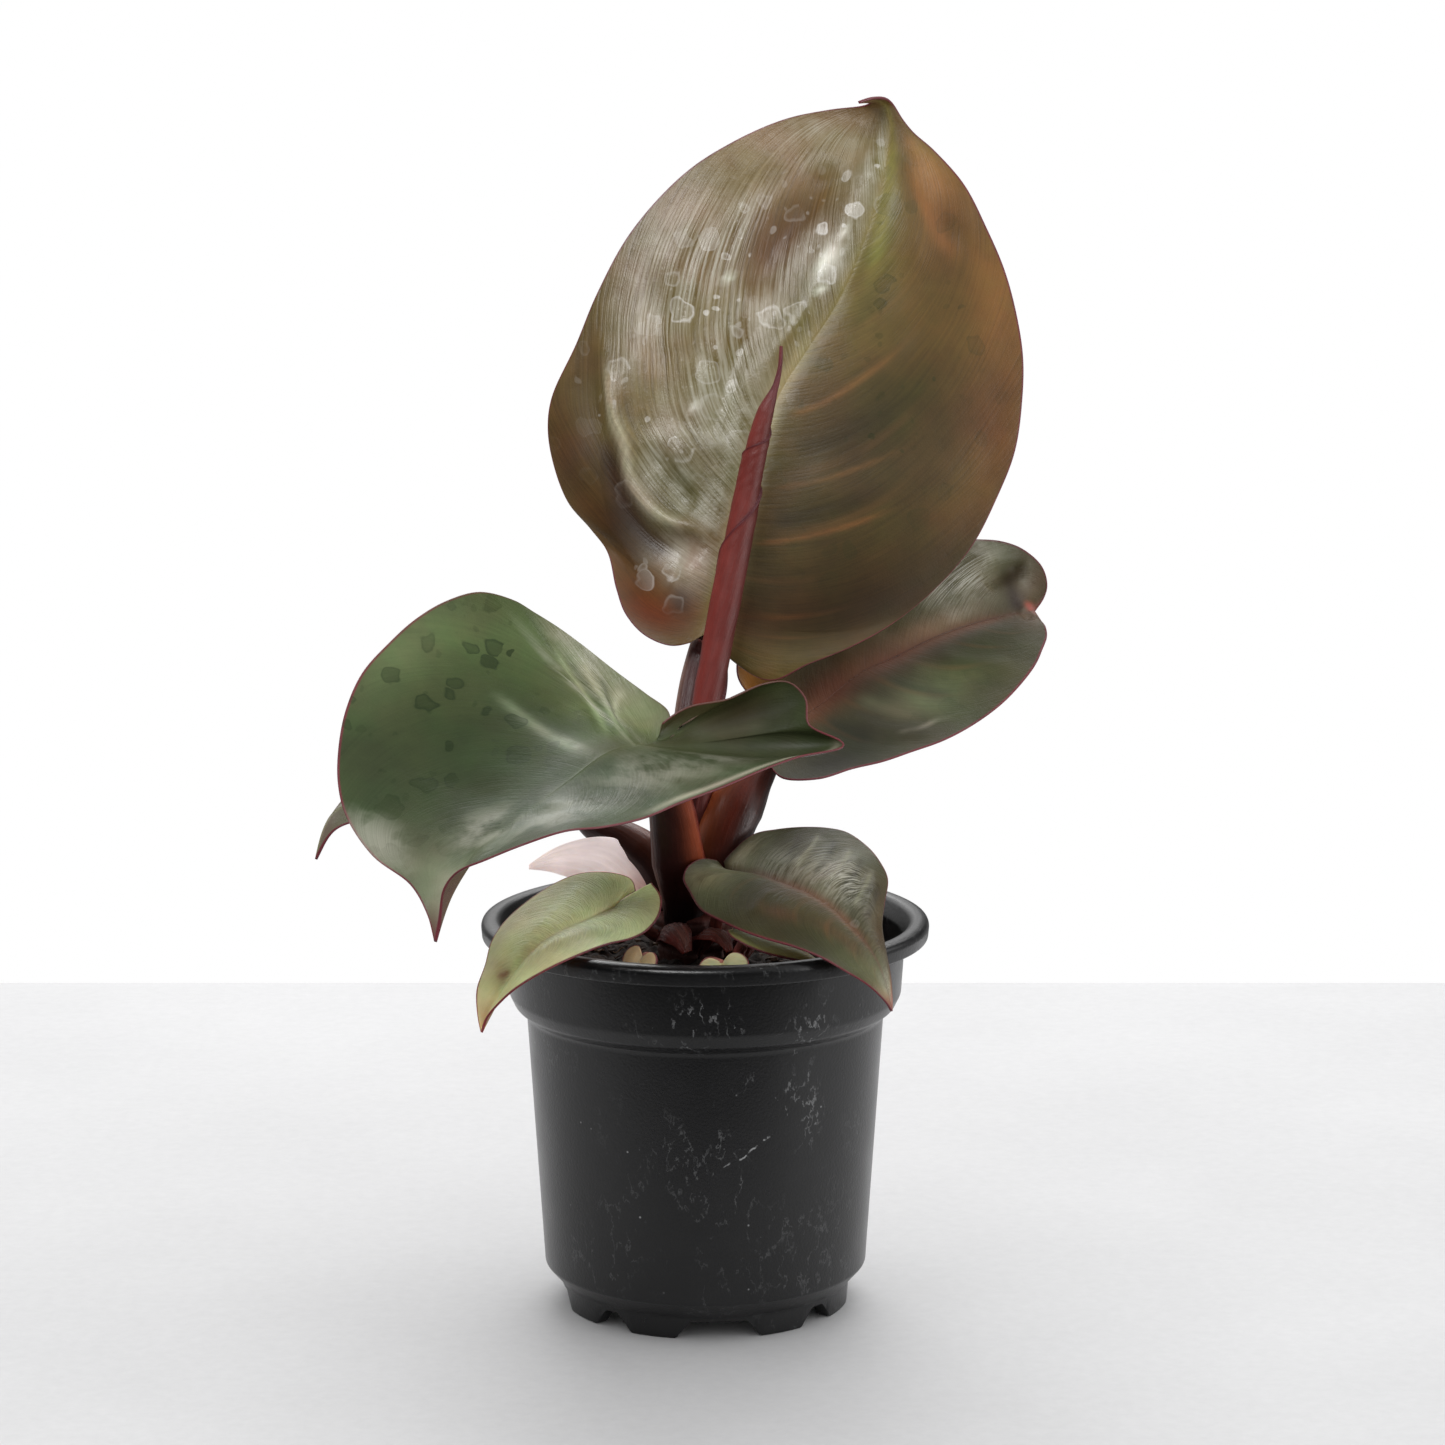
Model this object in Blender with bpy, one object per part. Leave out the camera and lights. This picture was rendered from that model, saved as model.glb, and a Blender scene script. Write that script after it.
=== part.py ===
"""Potted red heart philodendron in a round black nursery pot.

The plant is described in millimetres from the pot's axis at table level: +X is
to the right of someone who faces the plant, +Y is away from them and +Z is up.
One empty carries every piece and moves the pot's axis off the origin, so that
the whole plant's box is centred on it. The meshes are written in metres.

A leaf blade is a surface between three curves: its midrib and its two margins.
Each row of a leaf's table is one main vein. It gives the share of the midrib's
length at which the vein leaves it, and the two points where it meets the left
and the right margin. Petioles, roots and the new leaf are tubes along curves.
"""

import math

import bmesh
import bpy
import numpy as np

MM = 0.001
GAP = 0.3                    # clearance between touching pieces

# Driving dimensions of the pot, radius and height in millimetres
RIM_RADIUS = 57.5
POT_HEIGHT = 101.3
WALL = 1.1
BODY_TOP = (45.9, 76.0)      # outer wall under the ridge
BODY_FOOT = (41.6, 10.5)     # outer wall above the bottom chamfer
SKIRT = (37.3, 5.7)          # lower end of the chamfer
COLLAR = (51.3, 96.0)        # outer wall just under the rim
FLOOR_UNDER = 5.2            # underside of the pot's floor
FLOOR_TOP = 7.2
CENTRE_DRAIN = 5.0           # radius of the round hole in the floor's middle
DRAIN_RADIUS = 3.2
DRAIN_CIRCLE = 29.0
FOOT_INNER = 33.4

# Feet: four pairs, with a wide gap between pairs and a narrow one inside a pair
QUARTER_ANGLES = (0, 5.5, 11, 17, 26.5, 36, 42, 48, 54, 63.5, 73, 79, 84.5)
FOOT_ANGLES = (17, 26.5, 36, 54, 63.5, 73)
FIRST_GAP_DEG = -84.5        # middle of the wide gap at the front

# Soil and the stem that stands in it
SOIL_TOP = 90.5
STEM_AXIS = (-3.0, -1.5)
STEM_TOP = 103.0
STEM_FOOT = 58.0
STEM_RADIUS = 9.7
STEM_SIDES = 20
ROOT_COUNT = 6

# The pot's axis seen from the centre of the whole plant's box
POT_AXIS = (4.0, -0.4)

BLADE = 0.8                  # thickness of a leaf blade
JOINT_REACH = 5.0            # round the joint within which a blade's normals agree
TAIL_WIDTH = 7.0             # width under which a blade's tail keeps one normal across
COLUMNS = (0.0, 0.1, 0.36, 0.66, 0.88, 1.0)   # places across a half blade

BACK_LEAF = {
    "rib": [(0, 22, 171), (3, 24, 182), (7, 27, 195), (12, 32, 212), (19, 37.5, 231), (26, 41.5, 242),
            (34, 46, 254), (42, 52, 272), (46.5, 58, 286), (48.2, 64, 300), (46.8, 62, 305),
            (44, 57.5, 306.2), (40, 53, 305.5)],
    "rows": [
        (0.000, (-4, 20, 169), (4.5, 20.3, 166.3)),
        (0.006, (-9, 19, 168.5), (16.5, 18, 159.5)),
        (0.014, (-15.5, 20, 171), (26.5, 19, 163.5)),
        (0.026, (-20.5, 23, 176), (37.5, 22, 167.5)),
        (0.045, (-23, 27, 182), (49.5, 27, 173.5)),
        (0.075, (-25.5, 34, 190.5), (60.5, 31, 182)),
        (0.11, (-30, 38, 196), (69.5, 35, 192)),
        (0.16, (-36, 42, 202.5), (76, 39, 204)),
        (0.22, (-40, 47, 212), (81, 44, 216)),
        (0.29, (-41.5, 49.5, 221), (83, 48, 229.5)),
        (0.37, (-40.5, 51, 229), (83.2, 51, 240)),
        (0.45, (-34, 52, 243), (81.5, 54, 251)),
        (0.53, (-28.5, 54, 256), (78.5, 57, 262)),
        (0.61, (-19.5, 57, 272), (74, 60, 272.5)),
        (0.70, (-5.5, 61, 287), (68, 62, 284)),
        (0.79, (7, 64, 295), (60, 65, 293)),
        (0.85, (21, 66, 301), (54.8, 66.2, 297.5)),
        (0.895, (33, 67, 303.4), (52, 65.8, 300.8)),
        (0.925, (41.8, 64.6, 304.4), (49.5, 63.2, 304.4)),
        (0.95, (43.2, 60.4, 305.3), (47, 58.8, 306.4)),
        (0.975, (41.8, 56.6, 305.5), (43.7, 55.4, 306.6)),
        (1.000, (40, 53, 305.5), (40, 53, 305.5)),
    ],
    "cup": (0.02, 0.05), "sweep": 0.11, "rib_height": 1.6, "rib_width": 2.4,
    "crease": (0.7, 0.10, 7.5, 4.5),
}

LEFT_LEAF = {
    "rib": [(-12.4, -24, 151), (-23, -36, 151.5), (-33, -48, 146.5), (-42.5, -59, 141),
            (-54, -69, 133.5), (-60.5, -76, 125), (-64.5, -78, 113)],
    "rows": [
        (0.000, (-10.3, -23.3, 155.8), (-9.6, -19.5, 152)),
        (0.006, (-4, -21, 159.3), (-9.2, -12, 156.5)),
        (0.012, (6, -19, 161), (-15, -5, 160)),
        (0.020, (15, -17, 164.5), (-23, 0.5, 165)),
        (0.030, (21, -17, 165), (-31.5, 5, 171)),
        (0.042, (25, -19, 161.5), (-38, 7, 175.5)),
        (0.056, (26, -24, 155.5), (-43.5, 7, 179)),
        (0.072, (34.5, -26, 151), (-48.5, 7, 182)),
        (0.09, (23.5, -33, 149.5), (-57, 5, 184.5)),
        (0.12, (15.5, -40, 148), (-65, 1, 183)),
        (0.17, (4, -50, 145), (-72.5, -6, 179.5)),
        (0.23, (-6, -59, 143), (-79, -14, 174.5)),
        (0.31, (-14.5, -67, 141), (-85, -23, 168.5)),
        (0.40, (-24, -75, 140.5), (-88.5, -33, 160.5)),
        (0.49, (-33, -82, 141), (-89.7, -41, 152)),
        (0.58, (-43, -86, 138.5), (-89.3, -47, 145)),
        (0.67, (-51.5, -86, 135), (-87, -53, 138.5)),
        (0.76, (-58.5, -84, 131.5), (-80, -61.5, 130.5)),
        (0.84, (-62, -81, 126.5), (-70.5, -69, 125)),
        (0.92, (-63.3, -79, 119.5), (-66.5, -74.5, 119.5)),
        (1.000, (-64.5, -78, 113), (-64.5, -78, 113)),
    ],
    "cup": (-0.06, -0.10), "sweep": 0.10, "rib_height": 1.6, "rib_width": 2.4,
    "crease": None,
}

RIGHT_LEAF = {
    "rib": [(20.5, 20, 146.5), (29, 27, 151.5), (40, 37, 158.5), (51, 46, 162), (63, 56, 166),
            (76, 66, 168.5), (86, 73.5, 168.7), (89, 76, 168.5)],
    "rows": [
        (0.000, (13.5, 23, 153), (17, 4, 139.5)),
        (0.010, (8.8, 26, 158.5), (20, 0, 137.5)),
        (0.03, (8.7, 29.5, 164), (29, 2, 137)),
        (0.06, (12, 35, 170), (38, 8, 138.5)),
        (0.11, (19.5, 42, 176), (46, 12.5, 139.5)),
        (0.19, (29, 50, 181.5), (53, 17, 141)),
        (0.29, (38.5, 58, 185), (62, 23, 143)),
        (0.40, (48, 65, 187.3), (71, 32, 146)),
        (0.52, (57.5, 72, 188), (78.5, 40, 150)),
        (0.64, (66, 78, 187.5), (85, 49, 155)),
        (0.75, (73.5, 82, 187), (88, 54.5, 158)),
        (0.84, (80.5, 85, 186), (89.7, 59, 160.5)),
        (0.91, (86.5, 87, 183.5), (91.4, 64.5, 163.5)),
        (0.95, (91.5, 86.5, 179), (91.2, 68.5, 165.7)),
        (0.97, (92.8, 83.5, 174), (90.4, 71, 166.6)),
        (1.000, (89, 76, 168.5), (89, 76, 168.5)),
    ],
    "cup": (-0.09, -0.05), "sweep": 0.10, "rib_height": 1.5, "rib_width": 2.2,
    "crease": None,
}

REAR_LEAF = {
    "rib": [(-35, 18, 130.5), (-48, 22, 134.5), (-64, 24, 135.5), (-79.5, 22, 133), (-89, 18, 129),
            (-97, 14, 125), (-101, 10, 114)],
    "rows": [
        (0.00, (-31, 13, 128.5), (-30.5, 22, 133)),
        (0.03, (-31, 6, 126), (-29, 29, 138)),
        (0.07, (-36, 0, 125), (-33, 36, 144)),
        (0.14, (-45, -2, 125), (-42, 41, 148.5)),
        (0.25, (-55, -1, 126), (-54, 43, 150.5)),
        (0.38, (-66, 2, 127), (-66, 41, 149)),
        (0.52, (-77, 6, 126.5), (-77, 36, 144)),
        (0.66, (-85.5, 9, 125), (-86, 29, 137)),
        (0.78, (-92, 11, 123.5), (-92.5, 21, 130)),
        (0.88, (-96.5, 11, 121), (-98.3, 14, 122.5)),
        (1.00, (-101, 10, 114), (-101, 10, 114)),
    ],
    "cup": (-0.06, -0.06), "sweep": 0.12, "rib_height": 1.3, "rib_width": 2.0,
    "crease": None,
}

FRONT_LEFT_LEAF = {
    "rib": [(-23, -25, 109.5), (-31, -34, 107.8), (-39.5, -42, 105), (-46.5, -48, 98.8), (-51.5, -52, 91.5),
            (-55, -54, 84.5)],
    "rows": [
        (0.00, (-13.5, -22, 114.8), (-17.5, -20, 112.5)),
        (0.02, (-11.2, -25, 112), (-18.6, -18.5, 115)),
        (0.05, (-11.5, -29, 108.5), (-23, -18, 116.5)),
        (0.10, (-14.5, -34, 105.5), (-31, -18, 116.5)),
        (0.20, (-18.5, -38, 104.3), (-37.5, -20, 114.5)),
        (0.33, (-24, -41.5, 103.8), (-45.5, -27, 110.5)),
        (0.47, (-30.5, -48, 102.8), (-50.3, -33, 107)),
        (0.60, (-38.8, -53, 100), (-53, -39, 103.5)),
        (0.72, (-46.5, -55, 95.7), (-54.2, -44, 99.2)),
        (0.84, (-51.3, -55, 91.2), (-56, -50, 94)),
        (0.93, (-53.8, -54.6, 88), (-55.8, -52.5, 88.7)),
        (1.00, (-55, -54, 84.5), (-55, -54, 84.5)),
    ],
    "cup": (0.04, 0.07), "sweep": 0.12, "rib_height": 0.9, "rib_width": 1.6,
    "crease": None,
}

FRONT_RIGHT_LEAF = {
    "rib": [(5.3, -12, 115.7), (12.4, -18, 116.7), (19.4, -25, 115.7), (28, -33, 113.6), (36, -42, 108.6),
            (42.7, -49, 101), (46.3, -53, 89.5)],
    "rows": [
        (0.00, (4.7, -10.3, 117.8), (3, -12.6, 118.6)),
        (0.02, (7, -9.5, 120.3), (-1.2, -15.5, 119.5)),
        (0.04, (12, -7.5, 124.1), (-4.3, -17.5, 118)),
        (0.08, (18, -5.5, 125.1), (-5.3, -20, 115.6)),
        (0.14, (24.5, -4.5, 125.5), (-3.7, -24, 113)),
        (0.22, (31, -4.5, 125.3), (-1, -30, 110)),
        (0.32, (36, -6, 124.5), (3.5, -35, 108.5)),
        (0.43, (41, -11, 122), (9, -40, 107)),
        (0.54, (44, -17, 119.5), (15, -45, 106)),
        (0.65, (46, -22, 116), (22, -49.3, 105)),
        (0.75, (45, -30, 111.5), (29, -53, 103)),
        (0.84, (44.2, -36, 107), (34, -55, 100.5)),
        (0.91, (45, -43, 102), (40, -56, 97)),
        (0.96, (46, -49, 96.5), (44, -55, 93)),
        (1.00, (46.3, -53, 89.5), (46.3, -53, 89.5)),
    ],
    "cup": (0.05, 0.05), "sweep": 0.12, "rib_height": 0.9, "rib_width": 1.6,
    "crease": None,
}

# Petioles: where each stands on the crown, the points it passes, its radii, how
# deep its section is for its width and how far it ends under the blade
PETIOLES = {
    "back": {"foot": (-3.8, 5.8),
             "path": [(-5.6, 9.3, 122), (-6, 15.5, 144), (-4.2, 22, 157), (-1.8, 26.5, 166)],
             "radii": (2.7, 3.3, 3.1, 2.8, 2.5)},
    "left": {"foot": (-5.6, -7.3), "path": [(-6.7, -10.4, 118), (-9, -17.2, 136)],
             "radii": (4.8, 5.4, 6.8, 5.4, 3.4), "depth": 0.72},
    "right": {"foot": (3.6, -5.0), "drop": 1.8,
              "path": [(4.3, -4.2, 118), (9, 1.2, 129.5), (14.6, 11, 137.5)],
              "radii": (3.6, 4.8, 5.6, 5.8, 4.2, 2.6), "depth": 0.68},
    "rear": {"foot": (-9.6, 1.0), "drop": 0.3, "path": [(-14, 5, 111), (-22, 11, 116.5), (-31, 18, 120)],
             "radii": (2.4, 3.0, 3.4, 2.8, 1.9)},
}

# Petioles that leave the crown's side: the direction and height at which they
# leave it, the points they pass and their radii
SIDE_PETIOLES = {
    "front_left": {"leaves": (220, 97.5), "path": [(-15.5, -12.5, 101), (-20.3, -20, 104.5)],
                   "radii": (1.6, 1.6, 1.5, 1.4)},
    "front_right": {"leaves": (-66, 98.5), "path": [(3.2, -14, 104), (4.8, -13.6, 110)],
                    "radii": (1.7, 1.7, 1.6, 1.5)},
}

# The rolled new leaf: its centre line and the radius at each point
SPEAR_PATH = [(-3.2, -1, 103.3), (-2.7, 0.6, 116), (-1.3, 2, 136), (0.2, 5, 152.7), (3, 8, 169),
              (6.4, 11, 186.7), (9.9, 14, 204.4), (13.3, 16, 220.8), (15.6, 17, 229.5), (17.6, 17.7, 234.5),
              (19, 18.8, 240), (19.4, 20, 245.7)]
SPEAR_RADII = (2.5, 2.8, 3.5, 4.2, 4.1, 4.1, 3.7, 3.0, 2.2, 0.95, 0.55, 0.4)
SPEAR_SIDES = 12
SPEAR_SEAM_START = 3.6       # angle of the rolled margin at the foot, in radians
SPEAR_SEAM_TURNS = 0.9       # how far that margin winds up the spear
SPEAR_LEDGE = 0.12           # share of the radius at which that margin stands proud

# Sheaths round the crown: where each leaves the crown's side, the further
# points of its centre line, the half width at each point, how deep its trough
# is and the way its open side faces
SHEATHS = {
    "sheath_pale_rear": {
        "leaves": (182, 104.2),
        "path": [(-18.5, -0.8, 107.5), (-27.5, 3.5, 112.2), (-37, 8.5, 113), (-45.7, 12, 111.4)],
        "half_widths": (2.4, 4.6, 6.2, 3.8, 0.5), "trough": 1.6, "opens": (0.1, -0.8, 0.6)},
    "sheath_dry_front": {
        "leaves": (-120, 97),
        "path": [(-9.5, -15, 101), (-9, -20, 103.3), (-6.5, -24.5, 102), (-4.5, -27, 98)],
        "half_widths": (2.6, 3.7, 4.2, 3.2, 1.0), "trough": 2.2, "opens": (0.3, 0.5, -0.9)},
    "sheath_dry_middle": {
        "leaves": (-90, 94.5),
        "path": [(-1.6, -16, 99.5), (1.2, -20.5, 102.3), (4.6, -24, 101.6), (6.5, -26.5, 98.2)],
        "half_widths": (2.4, 3.2, 3.4, 2.6, 0.8), "trough": 1.8, "opens": (-0.3, 0.5, -0.9)},
    "sheath_dry_right": {
        "leaves": (-30, 94),
        "path": [(9.5, -11, 97.5), (11.5, -16, 99.5), (11, -20.5, 98.5), (9, -23.5, 95)],
        "half_widths": (2.0, 2.8, 2.8, 2.2, 0.7), "trough": 1.5, "opens": (0.5, 0.5, -0.7)},
}

# Small pale leaves inside the rim: the joint and the tip of each blade, the way
# its left margin lies, its width, and where its petiole leaves the soil, with
# its height over the soil's smooth surface there
JUVENILES = {
    "juvenile_left": {"joint": (-15.5, -40.3, 100.4), "tip": (-19.5, -43, 93.2), "left": (0.8, -0.5, -0.2),
                      "width": 9.5, "foot": (-12.5, -33, 0.6), "bend": (-13.2, -34.8, 98.6)},
    "juvenile_middle": {"joint": (4.3, -43.3, 99.4), "tip": (6, -46, 91.5), "left": (1, -0.1, 0.2),
                        "width": 13.0, "foot": (-1.5, -36, 0.5), "bend": (0.3, -37.6, 98.2)},
    "juvenile_right": {"joint": (11, -31, 104), "tip": (30, -36.5, 97), "left": (0.3, 0.9, 0.1),
                       "width": 14.0, "foot": (7.5, -29.5, 0.0), "bend": (8, -29.6, 99)},
}
JUVENILE_PETIOLE = 0.9       # radius
SHEATH_GAP = 1.0             # from the stem's side to a sheath's centre line

# A heart outline: the share of the length and of the half width of each margin
# point, with the share of the midrib at which its vein leaves
HEART = ((0.00, -0.10, 0.16), (0.03, -0.22, 0.46), (0.06, -0.14, 0.78),
         (0.14, 0.08, 0.98), (0.30, 0.32, 0.95), (0.50, 0.55, 0.70),
         (0.70, 0.75, 0.40), (0.88, 0.90, 0.15), (1.00, 1.00, 0.00))

MATERIALS = {
    "pot_plastic": ((0.020, 0.021, 0.023), 0.45),
    "soil": ((0.022, 0.015, 0.010), 0.95),
    "stem": ((0.10, 0.035, 0.028), 0.55),
    "leaf_bronze": ((0.155, 0.105, 0.055), 0.35),
    "leaf_green": ((0.055, 0.085, 0.045), 0.35),
    "leaf_dark": ((0.060, 0.060, 0.042), 0.35),
    "leaf_olive": ((0.200, 0.220, 0.120), 0.45),
    "leaf_grey_green": ((0.090, 0.095, 0.070), 0.40),
    "leaf_new": ((0.300, 0.095, 0.085), 0.40),
    "petiole": ((0.115, 0.030, 0.024), 0.45),
    "sheath_pale": ((0.480, 0.270, 0.250), 0.60),
    "sheath_dry": ((0.120, 0.035, 0.028), 0.60),
    "leaf_juvenile": ((0.330, 0.300, 0.170), 0.55),
}


def clear_scene():
    for item in list(bpy.data.objects):
        bpy.data.objects.remove(item, do_unlink=True)


def make_material(name):
    colour, roughness = MATERIALS[name]
    material = bpy.data.materials.new(name)
    material.use_nodes = True
    shader = material.node_tree.nodes["Principled BSDF"]
    shader.inputs["Base Color"].default_value = (*colour, 1.0)
    shader.inputs["Roughness"].default_value = roughness
    shader.inputs["Metallic"].default_value = 0.0
    return material


def make_object(name, points, faces, material, carrier):
    """A closed mesh object from points in millimetres, with its faces turned outward."""
    mesh = bpy.data.meshes.new(name)
    mesh.from_pydata([tuple(point) for point in np.asarray(points) * MM], [], faces)
    mesh.update()
    body = bmesh.new()
    body.from_mesh(mesh)
    bmesh.ops.remove_doubles(body, verts=body.verts, dist=1e-7)
    bmesh.ops.recalc_face_normals(body, faces=body.faces)
    if body.calc_volume(signed=True) < 0:
        bmesh.ops.reverse_faces(body, faces=body.faces)
    body.to_mesh(mesh)
    body.free()
    mesh.shade_smooth()
    mesh.set_sharp_from_angle(angle=math.radians(40))
    item = bpy.data.objects.new(name, mesh)
    item.parent = carrier
    if material is not None:
        mesh.materials.append(material)
    bpy.context.scene.collection.objects.link(item)
    return item


def curve_through(points, samples):
    """Smooth curve through the points, by cubic Hermite spans.

    The slope at a point is that of the parabola through it and its two
    neighbours, with the square root of their distance as the parameter. A
    sample counts points: 2.5 lies halfway from the third to the fourth.
    """
    points = np.asarray(points, float)
    samples = np.asarray(samples, float)
    gaps = np.sqrt(np.maximum(np.linalg.norm(np.diff(points, axis=0), axis=1), 1e-9))[:, None]
    steps = np.diff(points, axis=0) / gaps
    slopes = np.empty_like(points)
    slopes[1:-1] = (steps[:-1] * gaps[1:] + steps[1:] * gaps[:-1]) / (gaps[:-1] + gaps[1:])
    slopes[0] = 1.5 * steps[0] - 0.5 * slopes[1]
    slopes[-1] = 1.5 * steps[-1] - 0.5 * slopes[-2]
    first = np.clip(np.floor(samples).astype(int), 0, len(points) - 2)
    s = (samples - first)[:, None]
    h = gaps[first]
    return ((2 * s**3 - 3 * s**2 + 1) * points[first] + (s**3 - 2 * s**2 + s) * h * slopes[first]
            + (3 * s**2 - 2 * s**3) * points[first + 1] + (s**3 - s**2) * h * slopes[first + 1])


def along_length(points, shares):
    """Points of the smooth curve at the given shares of its length, and its unit direction there."""
    fine = curve_through(points, np.linspace(0, len(points) - 1, 40 * len(points)))
    length = np.concatenate(([0.0], np.cumsum(np.linalg.norm(np.diff(fine, axis=0), axis=1))))
    place = np.asarray(shares, float) * length[-1]
    step = 0.004 * length[-1]
    at = np.stack([np.interp(place, length, fine[:, axis]) for axis in range(3)], axis=-1)
    ahead = np.stack([np.interp(place + step, length, fine[:, axis]) for axis in range(3)], axis=-1)
    behind = np.stack([np.interp(place - step, length, fine[:, axis]) for axis in range(3)], axis=-1)
    direction = ahead - behind
    return at, direction / np.linalg.norm(direction, axis=1, keepdims=True)


def unit(vectors):
    return vectors / np.maximum(np.linalg.norm(vectors, axis=-1, keepdims=True), 1e-9)


def grid_triangles(rows, columns, first=0):
    """Triangles of a rows by columns grid of points, numbered row by row."""
    corner = (np.arange(rows - 1)[:, None] * columns + np.arange(columns - 1)).ravel() + first
    lower = np.stack([corner, corner + 1, corner + columns + 1], axis=-1)
    upper = np.stack([corner, corner + columns + 1, corner + columns], axis=-1)
    return np.concatenate([lower, upper])


def grid_normals(grid):
    """Unit normals of a grid of points, each the mean of the triangles round it."""
    rows, columns, _ = grid.shape
    points = grid.reshape(-1, 3)
    triangles = grid_triangles(rows, columns)
    a, b, c = (points[triangles[:, corner]] for corner in range(3))
    facing = np.cross(b - a, c - a)
    normals = np.zeros_like(points)
    for corner in range(3):
        np.add.at(normals, triangles[:, corner], facing)
    return unit(normals).reshape(grid.shape)


def closed_shell(top, under):
    """Points and triangles of the solid between two like grids, split alike on both faces."""
    rows, columns, _ = top.shape
    count = rows * columns
    face = grid_triangles(rows, columns)
    rim = np.concatenate([np.arange(columns), np.arange(1, rows) * columns + columns - 1,
                          (rows - 1) * columns + np.arange(columns - 2, -1, -1),
                          np.arange(rows - 2, 0, -1) * columns])
    following = np.roll(rim, -1)
    wall = np.concatenate([np.stack([rim, rim + count, following + count], axis=-1),
                           np.stack([rim, following + count, following], axis=-1)])
    triangles = np.concatenate([face, face[:, ::-1] + count, wall])
    points = np.concatenate([top.reshape(-1, 3), under.reshape(-1, 3)])
    keep = [tuple(int(i) for i in row) for row in triangles if not collapsed(points, row)]
    return points, keep


def collapsed(points, corners):
    a, b, c = points[corners]
    shortest = min(np.linalg.norm(a - b), np.linalg.norm(b - c), np.linalg.norm(c - a))
    return shortest < 1e-6


def blade_surface(leaf, rays_per_row=1, columns=COLUMNS):
    """The upper face of a blade, with its normals and the bump of the midrib under it.

    A point is (1 - v) times the rib plus v times the margin. It is swept back
    along the rib and raised along the normal by shares of the vein's length
    times 4 v (1 - v). A crease adds a ridge that peaks at its own v.
    """
    rows = leaf["rows"]
    last = len(rows) - 1
    index = np.linspace(0, last, last * rays_per_row + 1)
    shares = np.interp(index, np.arange(last + 1), [row[0] for row in rows])
    rib, direction = along_length(leaf["rib"], shares)
    half = np.asarray(columns)
    ends = np.clip(np.minimum(index, last - index) / 4.0, 0, 1)[:, None]
    sides = []
    for side in (1, 2):
        margin = curve_through([row[side] for row in rows], index)
        across = margin - rib
        length = np.linalg.norm(across, axis=1, keepdims=True)
        flat = rib[:, None] + across[:, None] * half[None, :, None]
        swept = (leaf["sweep"] * ends * length) * (4 * half * (1 - half))[None]
        flat = flat - direction[:, None] * swept[..., None]
        rise = leaf["cup"][side - 1] * length * (4 * half * (1 - half))[None]
        if side == 1 and leaf["crease"]:
            peak, height, middle, spread = leaf["crease"]
            ridge = np.where(half < peak, half / peak, (1 - half) / (1 - peak))
            reach = np.exp(-((index - middle) / spread) ** 2)[:, None]
            rise = rise + height * length * reach * ridge[None]
        sides.append((flat, rise, length * half[None]))
    flat = np.concatenate([sides[0][0][:, ::-1], sides[1][0][:, 1:]], axis=1)
    rise = np.concatenate([sides[0][1][:, ::-1], sides[1][1][:, 1:]], axis=1)
    from_rib = np.concatenate([sides[0][2][:, ::-1], sides[1][2][:, 1:]], axis=1)
    top = flat + grid_normals(flat) * rise[..., None]
    bump = leaf["rib_height"] * (1 - 0.85 * shares)[:, None] * np.exp(-(from_rib / leaf["rib_width"]) ** 2)
    return top, steady_normals(top, half, 2 * rays_per_row), bump


def steady_normals(top, half, wedge):
    """The blade's normals, evened out round the joint and along the narrow tail.

    There the surface turns within less than the blade's thickness, and offsets
    along its own normals would cross. The rows of the first wedge, which lie
    close together beside the joint, share the normals of the row after them.
    """
    normals = grid_normals(top)
    normals[:wedge] = normals[wedge]
    middle = len(half) - 1
    at_joint = unit(normals[:2 * wedge, middle].mean(axis=0))
    near_joint = np.exp(-(np.linalg.norm(top - top[0, middle], axis=-1) / JOINT_REACH) ** 2)[..., None]
    normals = unit(normals * (1 - near_joint) + at_joint * near_joint)
    width = np.linalg.norm(np.diff(top, axis=1), axis=-1).sum(axis=1)
    narrow = np.exp(-(width / TAIL_WIDTH) ** 2)[:, None, None]
    for _ in range(3):
        row_mean = unit(normals.mean(axis=1, keepdims=True))
        row_mean[1:-1] = row_mean[1:-1] * 2 + row_mean[:-2] + row_mean[2:]
        row_mean = unit(row_mean)
        row_mean[-1] = row_mean[-2]
        normals = unit(normals * (1 - narrow) + row_mean * narrow)
    return normals


def make_blade(name, leaf, material, carrier, columns=COLUMNS):
    top, normals, bump = blade_surface(leaf, 1, columns)
    under = top - normals * (BLADE + bump)[..., None]
    points, faces = closed_shell(top, under)
    return make_object(name, points, faces, material, carrier)


def blade_joint(leaf, columns=COLUMNS):
    """The point just under a blade's joint where its petiole ends, and the way up to the blade."""
    top, normals, bump = blade_surface(leaf, 1, columns)
    middle = len(columns) - 1
    up = normals[0, middle]
    return top[0, middle] - up * (BLADE + bump[0, middle] + GAP), up


def ring_frames(path):
    """Two unit vectors square to the path at each point, carried along it without twist."""
    direction = unit(np.gradient(path, axis=0))
    direction[0] = unit(path[1] - path[0])
    direction[-1] = unit(path[-1] - path[-2])
    side = np.zeros_like(path)
    start = np.array([1.0, 0.0, 0.0])
    for row, forward in enumerate(direction):
        start = unit(start - forward * np.dot(start, forward))
        side[row] = start
    return side, np.cross(direction, side)


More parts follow.
